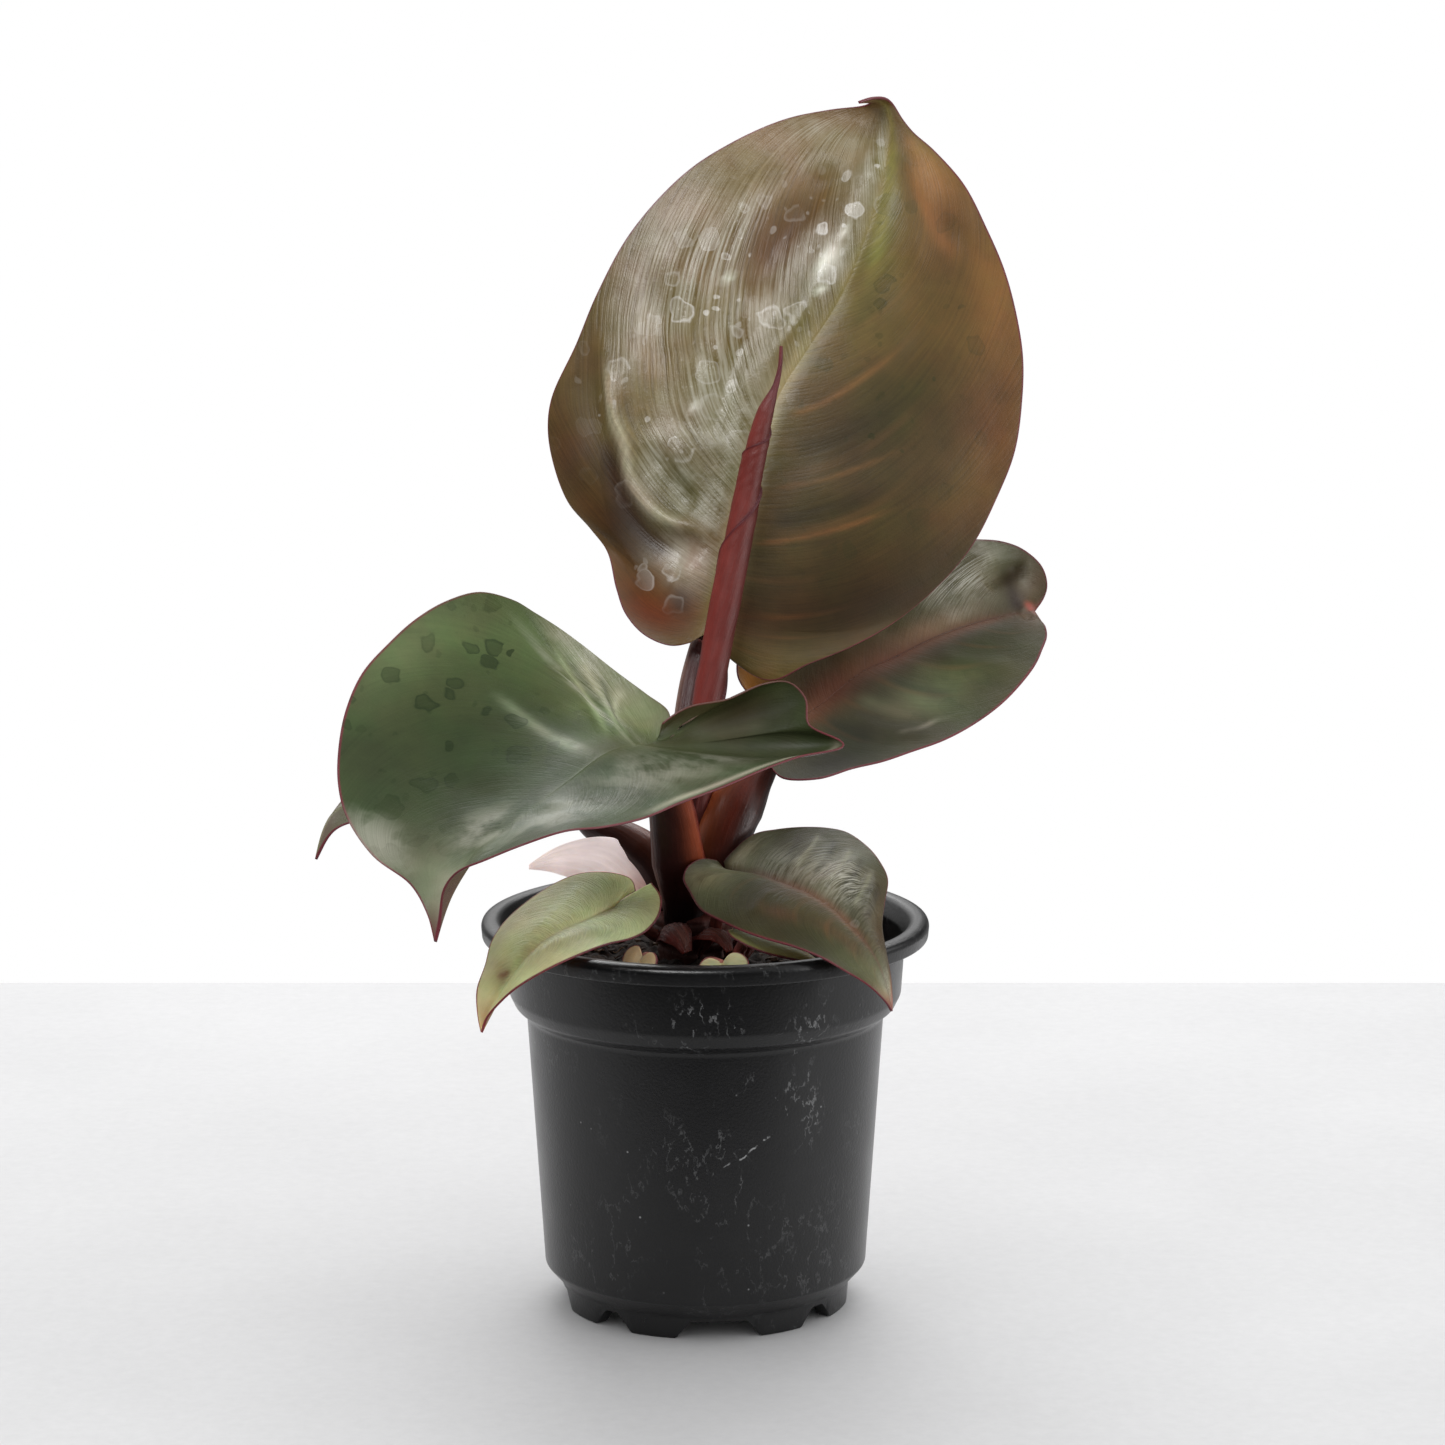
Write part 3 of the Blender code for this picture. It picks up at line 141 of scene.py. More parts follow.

# The leaf blades. A row is one side vein: the share of the midrib at which it
# leaves, and where it meets the left and the right margin. Other places are
# given by row and by v across, which is -1 at the left margin and 1 at the right
# cup, sweep: how far the blade rises and its veins sweep back, for their length
# crease: v, height, row and reach in rows of a ridge on the left half
# veins, lean: rows of the veins that show, and how they lean to the tip at each side
# folds: points of a line, reach, height and, if one side drops, how far and its reach
# lines: points of a line, reach, colour and strength
# patches: row, v, reach in rows, reach in v, colour and strength
# pleats, sheen, dull, wet, bare: as patches, without the colour; sheen is where a silvery
#   highlight is painted into the colour and the gloss raised, dull where the gloss is lowered
BACK_LEAF = {
    "rib": [(0, 22, 171), (3, 24, 182), (7, 27, 195), (12, 32, 212), (19, 37.5, 231), (26, 41.5, 242),
            (34, 46, 254), (42, 52, 272), (46.5, 58, 286), (48.2, 64, 300), (46.8, 62, 305),
            (44, 57.5, 306.2), (40, 53, 305.5)],
    "rows": [
        (0, (-4, 20, 169), (4.5, 20.3, 166.3)),
        (0.006, (-9, 19, 168.5), (16.5, 18, 159.5)),
        (0.014, (-15.5, 20, 171), (26.5, 19, 163.5)),
        (0.026, (-20.5, 23, 176), (37.5, 22, 167.5)),
        (0.045, (-23, 27, 182), (49.5, 27, 173.5)),
        (0.075, (-25.5, 34, 190.5), (60.5, 31, 182)),
        (0.11, (-30, 38, 196), (69.5, 35, 192)),
        (0.16, (-36, 42, 202.5), (76, 39, 204)),
        (0.22, (-40, 47, 212), (81, 44, 216)),
        (0.29, (-41.5, 49.5, 221), (83, 48, 229.5)),
        (0.37, (-40.5, 51, 229), (83.2, 51, 240)),
        (0.45, (-34, 52, 243), (81.5, 54, 251)),
        (0.53, (-28.5, 54, 256), (78.5, 57, 262)),
        (0.61, (-19.5, 57, 272), (74, 60, 272.5)),
        (0.7, (-5.5, 61, 287), (68, 62, 284)),
        (0.79, (7, 64, 295), (60, 65, 293)),
        (0.85, (21, 66, 301), (54.8, 66.2, 297.5)),
        (0.895, (33, 67, 303.4), (52, 65.8, 300.8)),
        (0.925, (41.8, 64.6, 304.4), (49.5, 63.2, 304.4)),
        (0.95, (43.2, 60.4, 305.3), (47, 58.8, 306.4)),
        (0.975, (41.8, 56.6, 305.5), (43.7, 55.4, 306.6)),
        (1, (40, 53, 305.5), (40, 53, 305.5)),
    ],
    "cup": (0.02, 0.05), "sweep": 0.11, "rib_height": 1.6, "rib_width": 2.4,
    "crease": (0.7, 0.1, 7.5, 4.5),
    "veins": (0, 1.5, 3, 4.4, 5.8, 7.2, 8.6, 10.2, 11.6, 13, 14.5, 16, 17.5, 21),
    "lean": ((0.7, 0.3), (0.1, 0.4)),
    "folds": (
        (((11.6, -0.95), (10.8, -0.77), (9.7, -0.61), (8.3, -0.5), (7.6, -0.37), (7.3, -0.2),
         (6.8, -0.08)), 2.1, 1.4, -3, 6),
        (((15.6, -0.36), (14.2, -0.4), (12.6, -0.33)), 4.5, -2.6),
        (((16.4, -0.08), (14.5, -0.12), (12.5, -0.11), (10.2, -0.12)), 4.5, 1.8),
        (((13, -0.8), (11.2, -0.52), (9.2, -0.28)), 5, -2),
        (((14.8, -0.78), (12.6, -0.62), (10.4, -0.42), (8.4, -0.26)), 4, 1.8),
        (((9.6, -0.5), (8.6, -0.34), (7.8, -0.2)), 3, -1.4),
        (((12.4, -0.3), (10.8, -0.24), (9.4, -0.2)), 3, -1.2),
        (((13.8, 0.2), (12.2, 0.35), (11, 0.62)), 6, -0.9),
        (((16, 0.45), (14.4, 0.68), (12.4, 0.84)), 3.5, -1.2),
        (((16, 0.22), (14.4, 0.42), (12.6, 0.6)), 3.5, 0.9),
        (((4, -0.85), (4.8, -0.5), (5.8, -0.22)), 3.5, -1.2),
        (((9, 0.15), (8.2, 0.5), (8.4, 0.9)), 7, 0.7),
    ),
    "plain": 0.05,
    "pleats": ((13, -0.5, 5, 0.45, 0.9), (15.5, 0.55, 2, 0.35, 0.5), (17, 0, 2.5, 0.6, 0.6)),
    "sheen": (
        (12.1, -0.8, 2.2, 0.22, 0.6), (13.5, -0.28, 1.5, 0.1, 0.5), (11, -0.3, 2.2, 0.15, 0.7),
        (9.2, -0.45, 1.6, 0.08, 0.7), (16.3, -0.5, 1.3, 0.3, 0.5), (15.8, -0.08, 1.2, 0.1, 1),
        (13.6, -0.1, 0.9, 0.07, 1), (6.2, -0.3, 1, 0.15, 0.8), (16.4, -0.78, 1.2, 0.2, 0.6),
        (9.6, -0.1, 1.6, 0.08, 0.6), (13, -0.62, 1.8, 0.12, 0.7), (8, -0.12, 1.4, 0.07, 0.7),
        (6.6, -0.12, 0.8, 0.1, 0.8), (8.8, -0.3, 1.2, 0.06, 0.6),
    ),
    "dull": (
        (4, -0.6, 2.2, 0.5, 1), (7.4, -0.76, 2.6, 0.26, 1), (9.5, -0.92, 2.2, 0.2, 1),
        (5, 0.5, 4.5, 0.5, 0.9), (11, 0.6, 4, 0.45, 0.6), (14.4, -0.4, 0.7, 0.12, 0.6),
        (17, 0.15, 2.5, 0.15, 0.6),
    ),
    "lines": (
        # Painted shade on the low side of the crease
        (((9.8, -0.74), (8.8, -0.63), (7.5, -0.54), (6.8, -0.42), (6.4, -0.24)), 3.4, "#2c1608", 0.85),
        # Painted highlight along the crease's ridge
        (((11.2, -0.86), (10.6, -0.74), (9.6, -0.6), (8.3, -0.5), (7.6, -0.37), (7.3, -0.2)),
         1.5, "#b9ac9a", 0.55),
        (((6.9, 0.05), (7.3, 0.28), (7.8, 0.62)), 0.7, "#7a4a26", 0.55),
        (((8.4, 0.08), (8.6, 0.25), (9.1, 0.62)), 0.7, "#6c4824", 0.45),
        (((9.9, 0.05), (10.4, 0.25), (11.3, 0.55)), 0.8, "#775028", 0.45),
        (((4, 0.08), (4.4, 0.28), (4.9, 0.5)), 0.7, "#573418", 0.35),
        (((7.5, 0.1), (7.9, 0.3), (8.4, 0.6)), 2.6, "#241a0a", 0.5),
        (((9.2, 0.1), (9.6, 0.3), (10.2, 0.6)), 2.8, "#2c2410", 0.45),
        # Painted highlight along the midrib
        (((12.6, -0.02), (10.2, -0.01), (7.6, 0), (5, 0)), 2.2, "#9c9070", 0.6),
        (((16.4, 0.1), (14.6, 0.16), (12.8, 0.2)), 2.4, "#7d7c3c", 0.4),
        (((15.6, 0.42), (14.2, 0.62), (12.4, 0.86)), 2.6, "#7c5028", 0.4),
        (((16, 0.3), (14.8, 0.46), (13.4, 0.6)), 1.8, "#4a3c14", 0.5),
    ),
    "base": "#57431d", "rib_colour": "#7a6c42", "rib_line": (3, 0.45), "under": "#5d3232",
    "patches": (
        (14.5, 0.25, 2.4, 0.28, "#5f5628", 0.6), (13.5, 0.78, 2.6, 0.3, "#5c4214", 0.75),
        (14.2, 0.78, 0.9, 0.12, "#522c10", 0.6), (5, 0.6, 2.8, 0.7, "#20160a", 0.9),
        (9, 0.55, 2.6, 0.5, "#382b10", 0.75), (3.5, -0.6, 1.8, 0.6, "#5a2a16", 0.95),
        # The first two patches here are painted shade on the flap below the crease; the third is partly the
        # blade's own tone and partly painted highlight
        (7.2, -0.66, 1.8, 0.2, "#241002", 0.95), (9, -0.86, 2.4, 0.2, "#341a06", 0.95),
        (11.5, -0.55, 3, 0.4, "#735f3c", 0.7), (10, -0.15, 3, 0.2, "#605a30", 0.6),
        # The second patch here is painted shade in the valley of the fold near row 14
        (8.6, -0.3, 1.2, 0.2, "#4a4a2c", 0.6), (14.2, -0.4, 1.1, 0.2, "#4e2809", 0.95),
        (15.5, -0.8, 2, 0.4, "#8a6a48", 0.3), (16.2, -0.45, 1.6, 0.35, "#75623c", 0.6),
        (16.8, 0.1, 2.6, 0.26, "#636028", 0.75), (10.2, 0.6, 0.5, 0.08, "#33300f", 0.5),
        (9.5, 0.53, 0.4, 0.06, "#3a3512", 0.5), (12.1, 0.23, 0.5, 0.07, "#3f3a12", 0.5),
        (14.1, 0.25, 0.5, 0.06, "#3f3c12", 0.5), (6.4, 0.45, 0.5, 0.1, "#2c2810", 0.5),
        (11.4, 0.97, 1.8, 0.16, "#94581e", 0.28), (9, 0.95, 1.6, 0.14, "#5a2c06", 0.4),
        (7.8, 0.92, 1.2, 0.14, "#7a4812", 0.25), (12.9, 0.78, 0.9, 0.14, "#382a08", 0.5),
        (15, 0.78, 1, 0.18, "#b88046", 0.42), (9.6, 0.38, 1, 0.2, "#2c220c", 0.55),
        (10.4, -0.74, 0.8, 0.1, "#46381c", 0.4), (5.9, -0.24, 1, 0.2, "#9c877a", 0.8),
        (4.4, -0.3, 0.8, 0.12, "#2c1810", 0.7), (13.5, -0.12, 0.26, 0.035, "#e6e4de", 1),
        (14, -0.11, 0.12, 0.016, "#d8d6d0", 0.9), (12.9, -0.09, 0.1, 0.02, "#d8d6d0", 0.8),
        (13, -0.5, 0.1, 0.02, "#d0cec8", 0.6), (10.4, -0.33, 0.12, 0.02, "#d8d6d0", 0.7),
        (20.8, 0, 1.6, 2, "#5d2b33", 0.9),
    ),
    "wet": (
        (14.6, -0.12, 2.4, 0.26, 1), (12.6, -0.45, 1.8, 0.3, 1), (10.6, -0.45, 1.8, 0.35, 0.9),
        (11, 0.5, 3.8, 0.4, 0.8), (5, -0.4, 1, 0.3, 0.7),
    ),
}

LEFT_LEAF = {
    "rib": [(-12.4, -24, 151), (-23, -36, 151.5), (-33, -48, 146.5), (-42.5, -59, 141), (-54, -69, 133.5),
            (-60.5, -76, 125), (-64.5, -78, 113)],
    "rows": [
        (0, (-10.3, -23.3, 155.8), (-9.6, -19.5, 152)),
        (0.006, (-4, -21, 159.3), (-9.2, -12, 156.5)),
        (0.012, (6, -19, 161), (-15, -5, 160)),
        (0.02, (15, -17, 164.5), (-23, 0.5, 165)),
        (0.03, (21, -17, 165), (-31.5, 5, 171)),
        (0.042, (25, -19, 161.5), (-38, 7, 175.5)),
        (0.056, (26, -24, 155.5), (-43.5, 7, 179)),
        (0.072, (34.5, -26, 151), (-48.5, 7, 182)),
        (0.09, (23.5, -33, 149.5), (-57, 5, 184.5)),
        (0.12, (15.5, -40, 148), (-65, 1, 183)),
        (0.17, (4, -50, 145), (-72.5, -6, 179.5)),
        (0.23, (-6, -59, 143), (-79, -14, 174.5)),
        (0.31, (-14.5, -67, 141), (-85, -23, 168.5)),
        (0.4, (-24, -75, 140.5), (-88.5, -33, 160.5)),
        (0.49, (-33, -82, 141), (-89.7, -41, 152)),
        (0.58, (-43, -86, 138.5), (-89.3, -47, 145)),
        (0.67, (-51.5, -86, 135), (-87, -53, 138.5)),
        (0.76, (-58.5, -84, 131.5), (-80, -61.5, 130.5)),
        (0.84, (-62, -81, 126.5), (-70.5, -69, 125)),
        (0.92, (-63.3, -79, 119.5), (-66.5, -74.5, 119.5)),
        (1, (-64.5, -78, 113), (-64.5, -78, 113)),
    ],
    "cup": (-0.06, -0.1), "sweep": 0.1, "rib_height": 1.6, "rib_width": 2.4,
    "veins": (0, 1.6, 3, 4.4, 5.8, 8, 9.4, 10.8, 12, 13.2, 14.4, 15.6, 16.8, 18, 20),
    "lean": ((0.15, 0.25), (0.15, 0.3)),
    "folds": (
        (((4.6, 0.75), (6.2, 0.3), (8.4, 0.08)), 3, 1),
        (((7, 0.75), (8.2, 0.4), (9.6, 0.14)), 3, 0.8),
        (((3.4, 0.6), (5, 0.35), (7, 0.12)), 2, -0.9),
        (((5.4, -0.25), (5.4, -0.5), (5.3, -0.75)), 1.8, 0.4),
        (((3.8, 0.85), (5.2, 0.45), (7.6, 0.12)), 1.3, 0.6),
        (((5.6, 0.85), (7, 0.45), (8.8, 0.14)), 1.4, -0.5),
        (((13.6, -0.15), (14.2, -0.5), (14, -0.8)), 5, -0.8),
        (((16, 0), (16.6, -0.4), (16, -0.8)), 4, 0.7),
        (((14.5, 0.2), (14, 0.5), (13, 0.85)), 6, -0.7),
    ),
    "plain": 0.04,
    "pleats": ((4.6, 0.55, 2.4, 0.5, 1), (7.6, 0.3, 2, 0.3, 0.8)),
    "sheen": (
        (15.5, 0.1, 1.2, 0.25, 0.6), (16.6, 0.9, 0.8, 0.2, 0.6), (14, -0.35, 2.4, 0.3, 0.4),
        (10.5, -0.4, 2.2, 0.35, 0.38), (8, -0.4, 1.2, 0.3, 0.5), (11.1, 0.2, 0.4, 0.25, 0.6),
        (4.4, 0.8, 1.4, 0.4, 0.8), (5.6, 0.35, 0.9, 0.35, 0.9), (7.6, 0.35, 0.4, 0.35, 0.9),
        (18.5, -0.3, 1, 0.6, 0.5),
    ),
    "dull": ((3.5, -0.6, 2.2, 0.5, 1), (5.8, -0.45, 1.6, 0.4, 1), (12, 0.6, 3, 0.5, 0.5)),
    "bare": ((4, 1, 5, 0.5, 0.9), (2.5, -1, 2.5, 0.5, 0.7)),
    "lines": (
        (((2.6, 0.9), (4.4, 0.45), (7.6, 0.06)), 0.8, "#b4b79f", 0.8),
        (((3.4, 0.9), (5, 0.45), (8, 0.07)), 1, "#3c4a26", 0.7),
        (((4.2, 0.92), (5.6, 0.45), (8.4, 0.08)), 0.8, "#a7ab90", 0.75),
        (((5.2, 0.88), (6.4, 0.45), (8.9, 0.08)), 1.2, "#3c4a26", 0.7),
        (((6.2, 0.85), (7.2, 0.45), (9.4, 0.08)), 0.9, "#99a081", 0.6),
        (((11.2, 0.04), (11.1, 0.3), (10.6, 0.62)), 1.6, "#8c947c", 0.35),
        (((6.6, -0.96), (9, -0.93), (12.4, -0.95)), 1.2, "#a59a90", 0.8),
        # Painted highlight on the hood
        (((4.6, -0.2), (5.3, -0.45), (5.4, -0.75)), 2.4, "#5f6052", 0.3),
    ),
    "base": "#2c381a", "rib_colour": "#6a6e50", "rib_line": (1.2, 0.12), "under": "#5c4740",
    "patches": (
        (4, 0.4, 3.2, 0.5, "#7b7d58", 0.8), (2.5, 0.9, 2.5, 0.4, "#8d9072", 0.5),
        # The second patch here, grey on the front half, is partly the blade's own tone and partly painted
        # reflection of the bright room
        (8.5, 0.25, 2.2, 0.25, "#5d6440", 0.6), (13, -0.45, 4.5, 0.5, "#464c41", 0.8),
        (9, 0.9, 3, 0.3, "#4e5a34", 0.6), (10.6, 0.12, 1, 0.12, "#5c6148", 0.5),
        (16, 0.6, 2.5, 0.5, "#2e3a22", 0.5), (4.6, -0.5, 2.4, 0.6, "#2c2616", 0.95),
        (1, -0.8, 1.6, 0.5, "#40321f", 0.7), (4.8, 0.6, 1.1, 0.4, "#8b9070", 0.4),
        (7.6, 0.3, 0.5, 0.3, "#7c8262", 0.4), (7.4, -0.6, 1.3, 0.5, "#3b3c2c", 0.7),
        (10.5, 0.35, 1.2, 0.3, "#28341a", 0.7), (18.5, 0, 1.8, 1.2, "#8b8876", 0.7),
        (13.5, 0.5, 2, 0.35, "#222c12", 0.45), (11.1, 0.97, 1.5, 0.12, "#6a7050", 0.4),
        (9.8, -0.68, 1, 0.25, "#6a6c5a", 0.35), (20, 0, 0.9, 2, "#5d3539", 0.9),
    ),
    "wet": ((12.5, 0.6, 3.4, 0.5, 1), (9, 0.65, 2.5, 0.3, 1), (14, 0.2, 1.5, 0.3, 0.8)),
}

RIGHT_LEAF = {
    "rib": [(20.5, 20, 146.5), (29, 27, 151.5), (40, 37, 158.5), (51, 46, 162), (63, 56, 166),
            (76, 66, 168.5), (86, 73.5, 168.7), (89, 76, 168.5)],
    "rows": [
        (0, (13.5, 23, 153), (17, 4, 139.5)),
        (0.01, (8.8, 26, 158.5), (20, 0, 137.5)),
        (0.03, (8.7, 29.5, 164), (29, 2, 137)),
        (0.06, (12, 35, 170), (38, 8, 138.5)),
        (0.11, (19.5, 42, 176), (46, 12.5, 139.5)),
        (0.19, (29, 50, 181.5), (53, 17, 141)),
        (0.29, (38.5, 58, 185), (62, 23, 143)),
        (0.4, (48, 65, 187.3), (71, 32, 146)),
        (0.52, (57.5, 72, 188), (78.5, 40, 150)),
        (0.64, (66, 78, 187.5), (85, 49, 155)),
        (0.75, (73.5, 82, 187), (88, 54.5, 158)),
        (0.84, (80.5, 85, 186), (89.7, 59, 160.5)),
        (0.91, (86.5, 87, 183.5), (91.4, 64.5, 163.5)),
        (0.95, (91.5, 86.5, 179), (91.2, 68.5, 165.7)),
        (0.97, (92.8, 83.5, 174), (90.4, 71, 166.6)),
        (1, (89, 76, 168.5), (89, 76, 168.5)),
    ],
    "cup": (-0.09, -0.05), "sweep": 0.1, "rib_height": 1.5, "rib_width": 2.2,
    "veins": (0, 1.4, 2.8, 4, 5.2, 6.4, 7.6, 8.8, 10, 11.2, 12.4, 15), "lean": ((0.2, 0.25), (0.2, 0.25)),
    "folds": (
        (((12.6, -0.85), (11.6, -0.66), (10.9, -0.45)), 2.5, -2),
        (((11, -0.9), (10.1, -0.68), (9.4, -0.42)), 3, 1.4),
        (((2, 0), (6, 0), (10, 0), (12.8, 0)), 4, -1.3),
        (((8.6, -0.85), (7.9, -0.5), (7.2, -0.2)), 3.5, -0.9),
        (((6.6, -0.8), (6.2, -0.5), (5.8, -0.2)), 3, 0.7),
        (((5, 0.25), (5.4, 0.55), (6.4, 0.9)), 3, 0.8),
        (((8.4, 0.2), (8.8, 0.5), (9.6, 0.85)), 3, 0.7),
        (((13.4, -0.6), (13.2, 0), (13.4, 0.6)), 2.5, -0.8),
    ),
    "plain": 0.04,
    "pleats": ((10, -0.5, 1.6, 0.3, 0.9),),
    "sheen": ((9.8, -0.66, 1.4, 0.3, 1.3), (12.6, -0.7, 0.6, 0.2, 0.5), (9.5, -0.2, 1, 0.12, 0.4)),
    "dull": (
        (5, 0.5, 4, 0.6, 0.6), (9, 0.5, 3, 0.4, 0.6), (6.5, -0.5, 2, 0.5, 0.8),
        (11.8, -0.66, 0.6, 0.2, 0.9),
    ),
    "lines": (
        (((1, 0), (5, 0), (9, 0.02), (12.6, 0.05)), 2, "#643c2a", 0.5),
        (((5.5, 0.72), (6.3, 0.76), (7.1, 0.8)), 0.5, "#8c897c", 0.4),
        (((5.6, 0.15), (6.2, 0.45), (6.6, 0.7)), 2.4, "#555340", 0.5),
        (((7.6, 0.15), (8.2, 0.45), (8.8, 0.75)), 2.6, "#555538", 0.5),
        (((4.2, 0.15), (4.6, 0.4), (5, 0.7)), 3, "#1c1d14", 0.6),
        (((6.8, 0.12), (7.2, 0.4), (7.8, 0.7)), 2, "#22241a", 0.5),
        # Painted shade in the fold by the torn tip
        (((12.6, -0.9), (12, -0.6), (12.6, -0.25), (13.6, -0.12)), 2.6, "#2a1a10", 0.7),
        (((13.6, -0.45), (14.2, -0.25), (14.8, -0.2)), 1.2, "#9a4a40", 0.9),
    ),
    "base": "#34301a", "rib_colour": "#4e2a1e", "rib_line": (1.6, 0.3), "under": "#5a3a3c",
    "patches": (
        (5, -0.02, 4, 0.2, "#5c2c1a", 0.85), (10, 0.03, 2.5, 0.08, "#5c3020", 0.6),
        (1.8, -0.8, 1.6, 0.5, "#8a5418", 0.95), (4.5, 0.6, 2.6, 0.4, "#2a2b20", 0.8),
        # The second patch here is painted shade in the same fold
        (9, 0.7, 2.5, 0.4, "#3c4026", 0.7), (11.6, -0.68, 0.6, 0.16, "#1d150b", 0.8),
        (10.5, -0.6, 2, 0.5, "#6f6a4e", 0.7), (7.5, -0.6, 1.5, 0.4, "#4a4522", 0.6),
        (13.6, 0, 1.4, 1.5, "#5a4834", 0.8), (6.1, 0.38, 0.9, 0.25, "#24231a", 0.5),
        (9, -0.12, 1.2, 0.15, "#8a6e50", 0.5), (10.2, 0.53, 1, 0.3, "#2c2a1c", 0.4),
        # The second patch here is painted shade in the same fold
        (2.8, 0.8, 1.2, 0.3, "#1a120e", 0.7), (12.6, -0.2, 0.7, 0.2, "#1c0e08", 0.7),
        # The first patch here is a painted soft highlight
        (7.2, 0.53, 0.8, 0.2, "#6c6e54", 0.5), (15, 0, 0.5, 2, "#8a5048", 0.9),
    ),
    "wet": ((7, 0.6, 3, 0.4, 0.25),),
}

REAR_LEAF = {
    "rib": [(-35, 18, 130.5), (-48, 22, 134.5), (-64, 24, 135.5), (-79.5, 22, 133), (-89, 18, 129),
            (-97, 14, 125), (-101, 10, 114)],
    "rows": [
        (0, (-31, 13, 128.5), (-30.5, 22, 133)),
        (0.03, (-31, 6, 126), (-29, 29, 138)),
        (0.07, (-36, 0, 125), (-33, 36, 144)),
        (0.14, (-45, -2, 125), (-42, 41, 148.5)),
        (0.25, (-55, -1, 126), (-54, 43, 150.5)),
        (0.38, (-66, 2, 127), (-66, 41, 149)),
        (0.52, (-77, 6, 126.5), (-77, 36, 144)),
        (0.66, (-85.5, 9, 125), (-86, 29, 137)),
        (0.78, (-92, 11, 123.5), (-92.5, 21, 130)),
        (0.88, (-96.5, 11, 121), (-98.3, 14, 122.5)),
        (1, (-101, 10, 114), (-101, 10, 114)),
    ],
    "cup": (-0.06, -0.06), "sweep": 0.12, "rib_height": 1.3, "rib_width": 2,
    "veins": (0, 1, 2, 3, 4, 5, 6, 7, 8, 10), "lean": ((0.2, 0.2), (0.2, 0.2)),
    "folds": ((((3, -0.6), (4, -0.3), (5.5, -0.1)), 3, 0.8), (((3, 0.6), (4, 0.3), (5.5, 0.1)), 3, 0.8)),
    "plain": 0.4,
    "sheen": ((7, 0.3, 1.5, 0.3, 0.5),),
    "base": "#434b30", "rib_colour": "#7d7858", "rib_line": (1.3, 0.7), "under": "#6a4a4c",
    "patches": (
        (1, 0, 1.6, 0.8, "#6f7150", 0.7), (9.5, 0, 2, 2, "#6b5a55", 0.8),
        (5, -0.7, 2.5, 0.4, "#505640", 0.5),
    ),
    "wet": ((5, 0.4, 2.5, 0.5, 0.5),),
}

FRONT_LEFT_LEAF = {
    "rib": [(-23, -25, 109.5), (-31, -34, 107.8), (-39.5, -42, 105), (-46.5, -48, 98.8),
            (-51.5, -52, 91.5), (-55, -54, 84.5)],
    "rows": [
        (0, (-13.5, -22, 114.8), (-17.5, -20, 112.5)),
        (0.02, (-11.2, -25, 112), (-18.6, -18.5, 115)),
        (0.05, (-11.5, -29, 108.5), (-23, -18, 116.5)),
        (0.1, (-14.5, -34, 105.5), (-31, -18, 116.5)),
        (0.2, (-18.5, -38, 104.3), (-37.5, -20, 114.5)),
        (0.33, (-24, -41.5, 103.8), (-45.5, -27, 110.5)),
        (0.47, (-30.5, -48, 102.8), (-50.3, -33, 107)),
        (0.6, (-38.8, -53, 100), (-53, -39, 103.5)),
        (0.72, (-46.5, -55, 95.7), (-54.2, -44, 99.2)),
        (0.84, (-51.3, -55, 91.2), (-56, -50, 94)),
        (0.93, (-53.8, -54.6, 88), (-55.8, -52.5, 88.7)),
        (1, (-55, -54, 84.5), (-55, -54, 84.5)),
    ],
    "cup": (0.04, 0.07), "sweep": 0.12, "rib_height": 0.9, "rib_width": 1.6,
    "veins": (0, 1, 2, 3, 4, 5, 6, 7, 8, 9, 11), "lean": ((0.2, 0.3), (0.2, 0.3)),
    "folds": (
        (((3.2, 0.7), (4.6, 0.45), (6.4, 0.25)), 1.8, 0.5),
        (((5, 0.8), (6.6, 0.5), (8.4, 0.3)), 1.8, -0.4),
        (((4, -0.6), (5.5, -0.4), (7.5, -0.2)), 2, 0.4),
    ),
    "plain": 0.5,
    "pleats": ((5, 0.3, 3, 0.6, 0.8),),
    "sheen": ((3.5, 0.4, 1.5, 0.3, 0.3), (7, 0.5, 1.5, 0.3, 0.3)),
    "lines": (
        (((0.4, 0), (2.2, -0.1), (4, -0.05)), 1, "#8d6f5a", 0.6),
        (((7.7, 0.12), (8.1, 0.23), (8.2, 0.4)), 0.8, "#7c5040", 0.7),
    ),
    "base": "#c6cd9c", "rib_colour": "#cbc99f", "rib_line": (1, 0.6), "under": "#8b7a66",
    "patches": (
        (1.5, 0, 1.4, 1.5, "#7f8360", 0.7), (3, 0.6, 1.6, 0.5, "#7f8460", 0.6),
        (8.1, 0.23, 0.5, 0.35, "#7c6247", 0.7), (10, 0, 1.4, 1.6, "#968468", 0.8),
        (6.5, 0.9, 2.5, 0.25, "#9a9a84", 0.6), (5.5, -0.5, 2.4, 0.5, "#979c79", 0.5),
    ),
    "wet": ((5, 0.3, 3, 0.6, 0.15),),
}

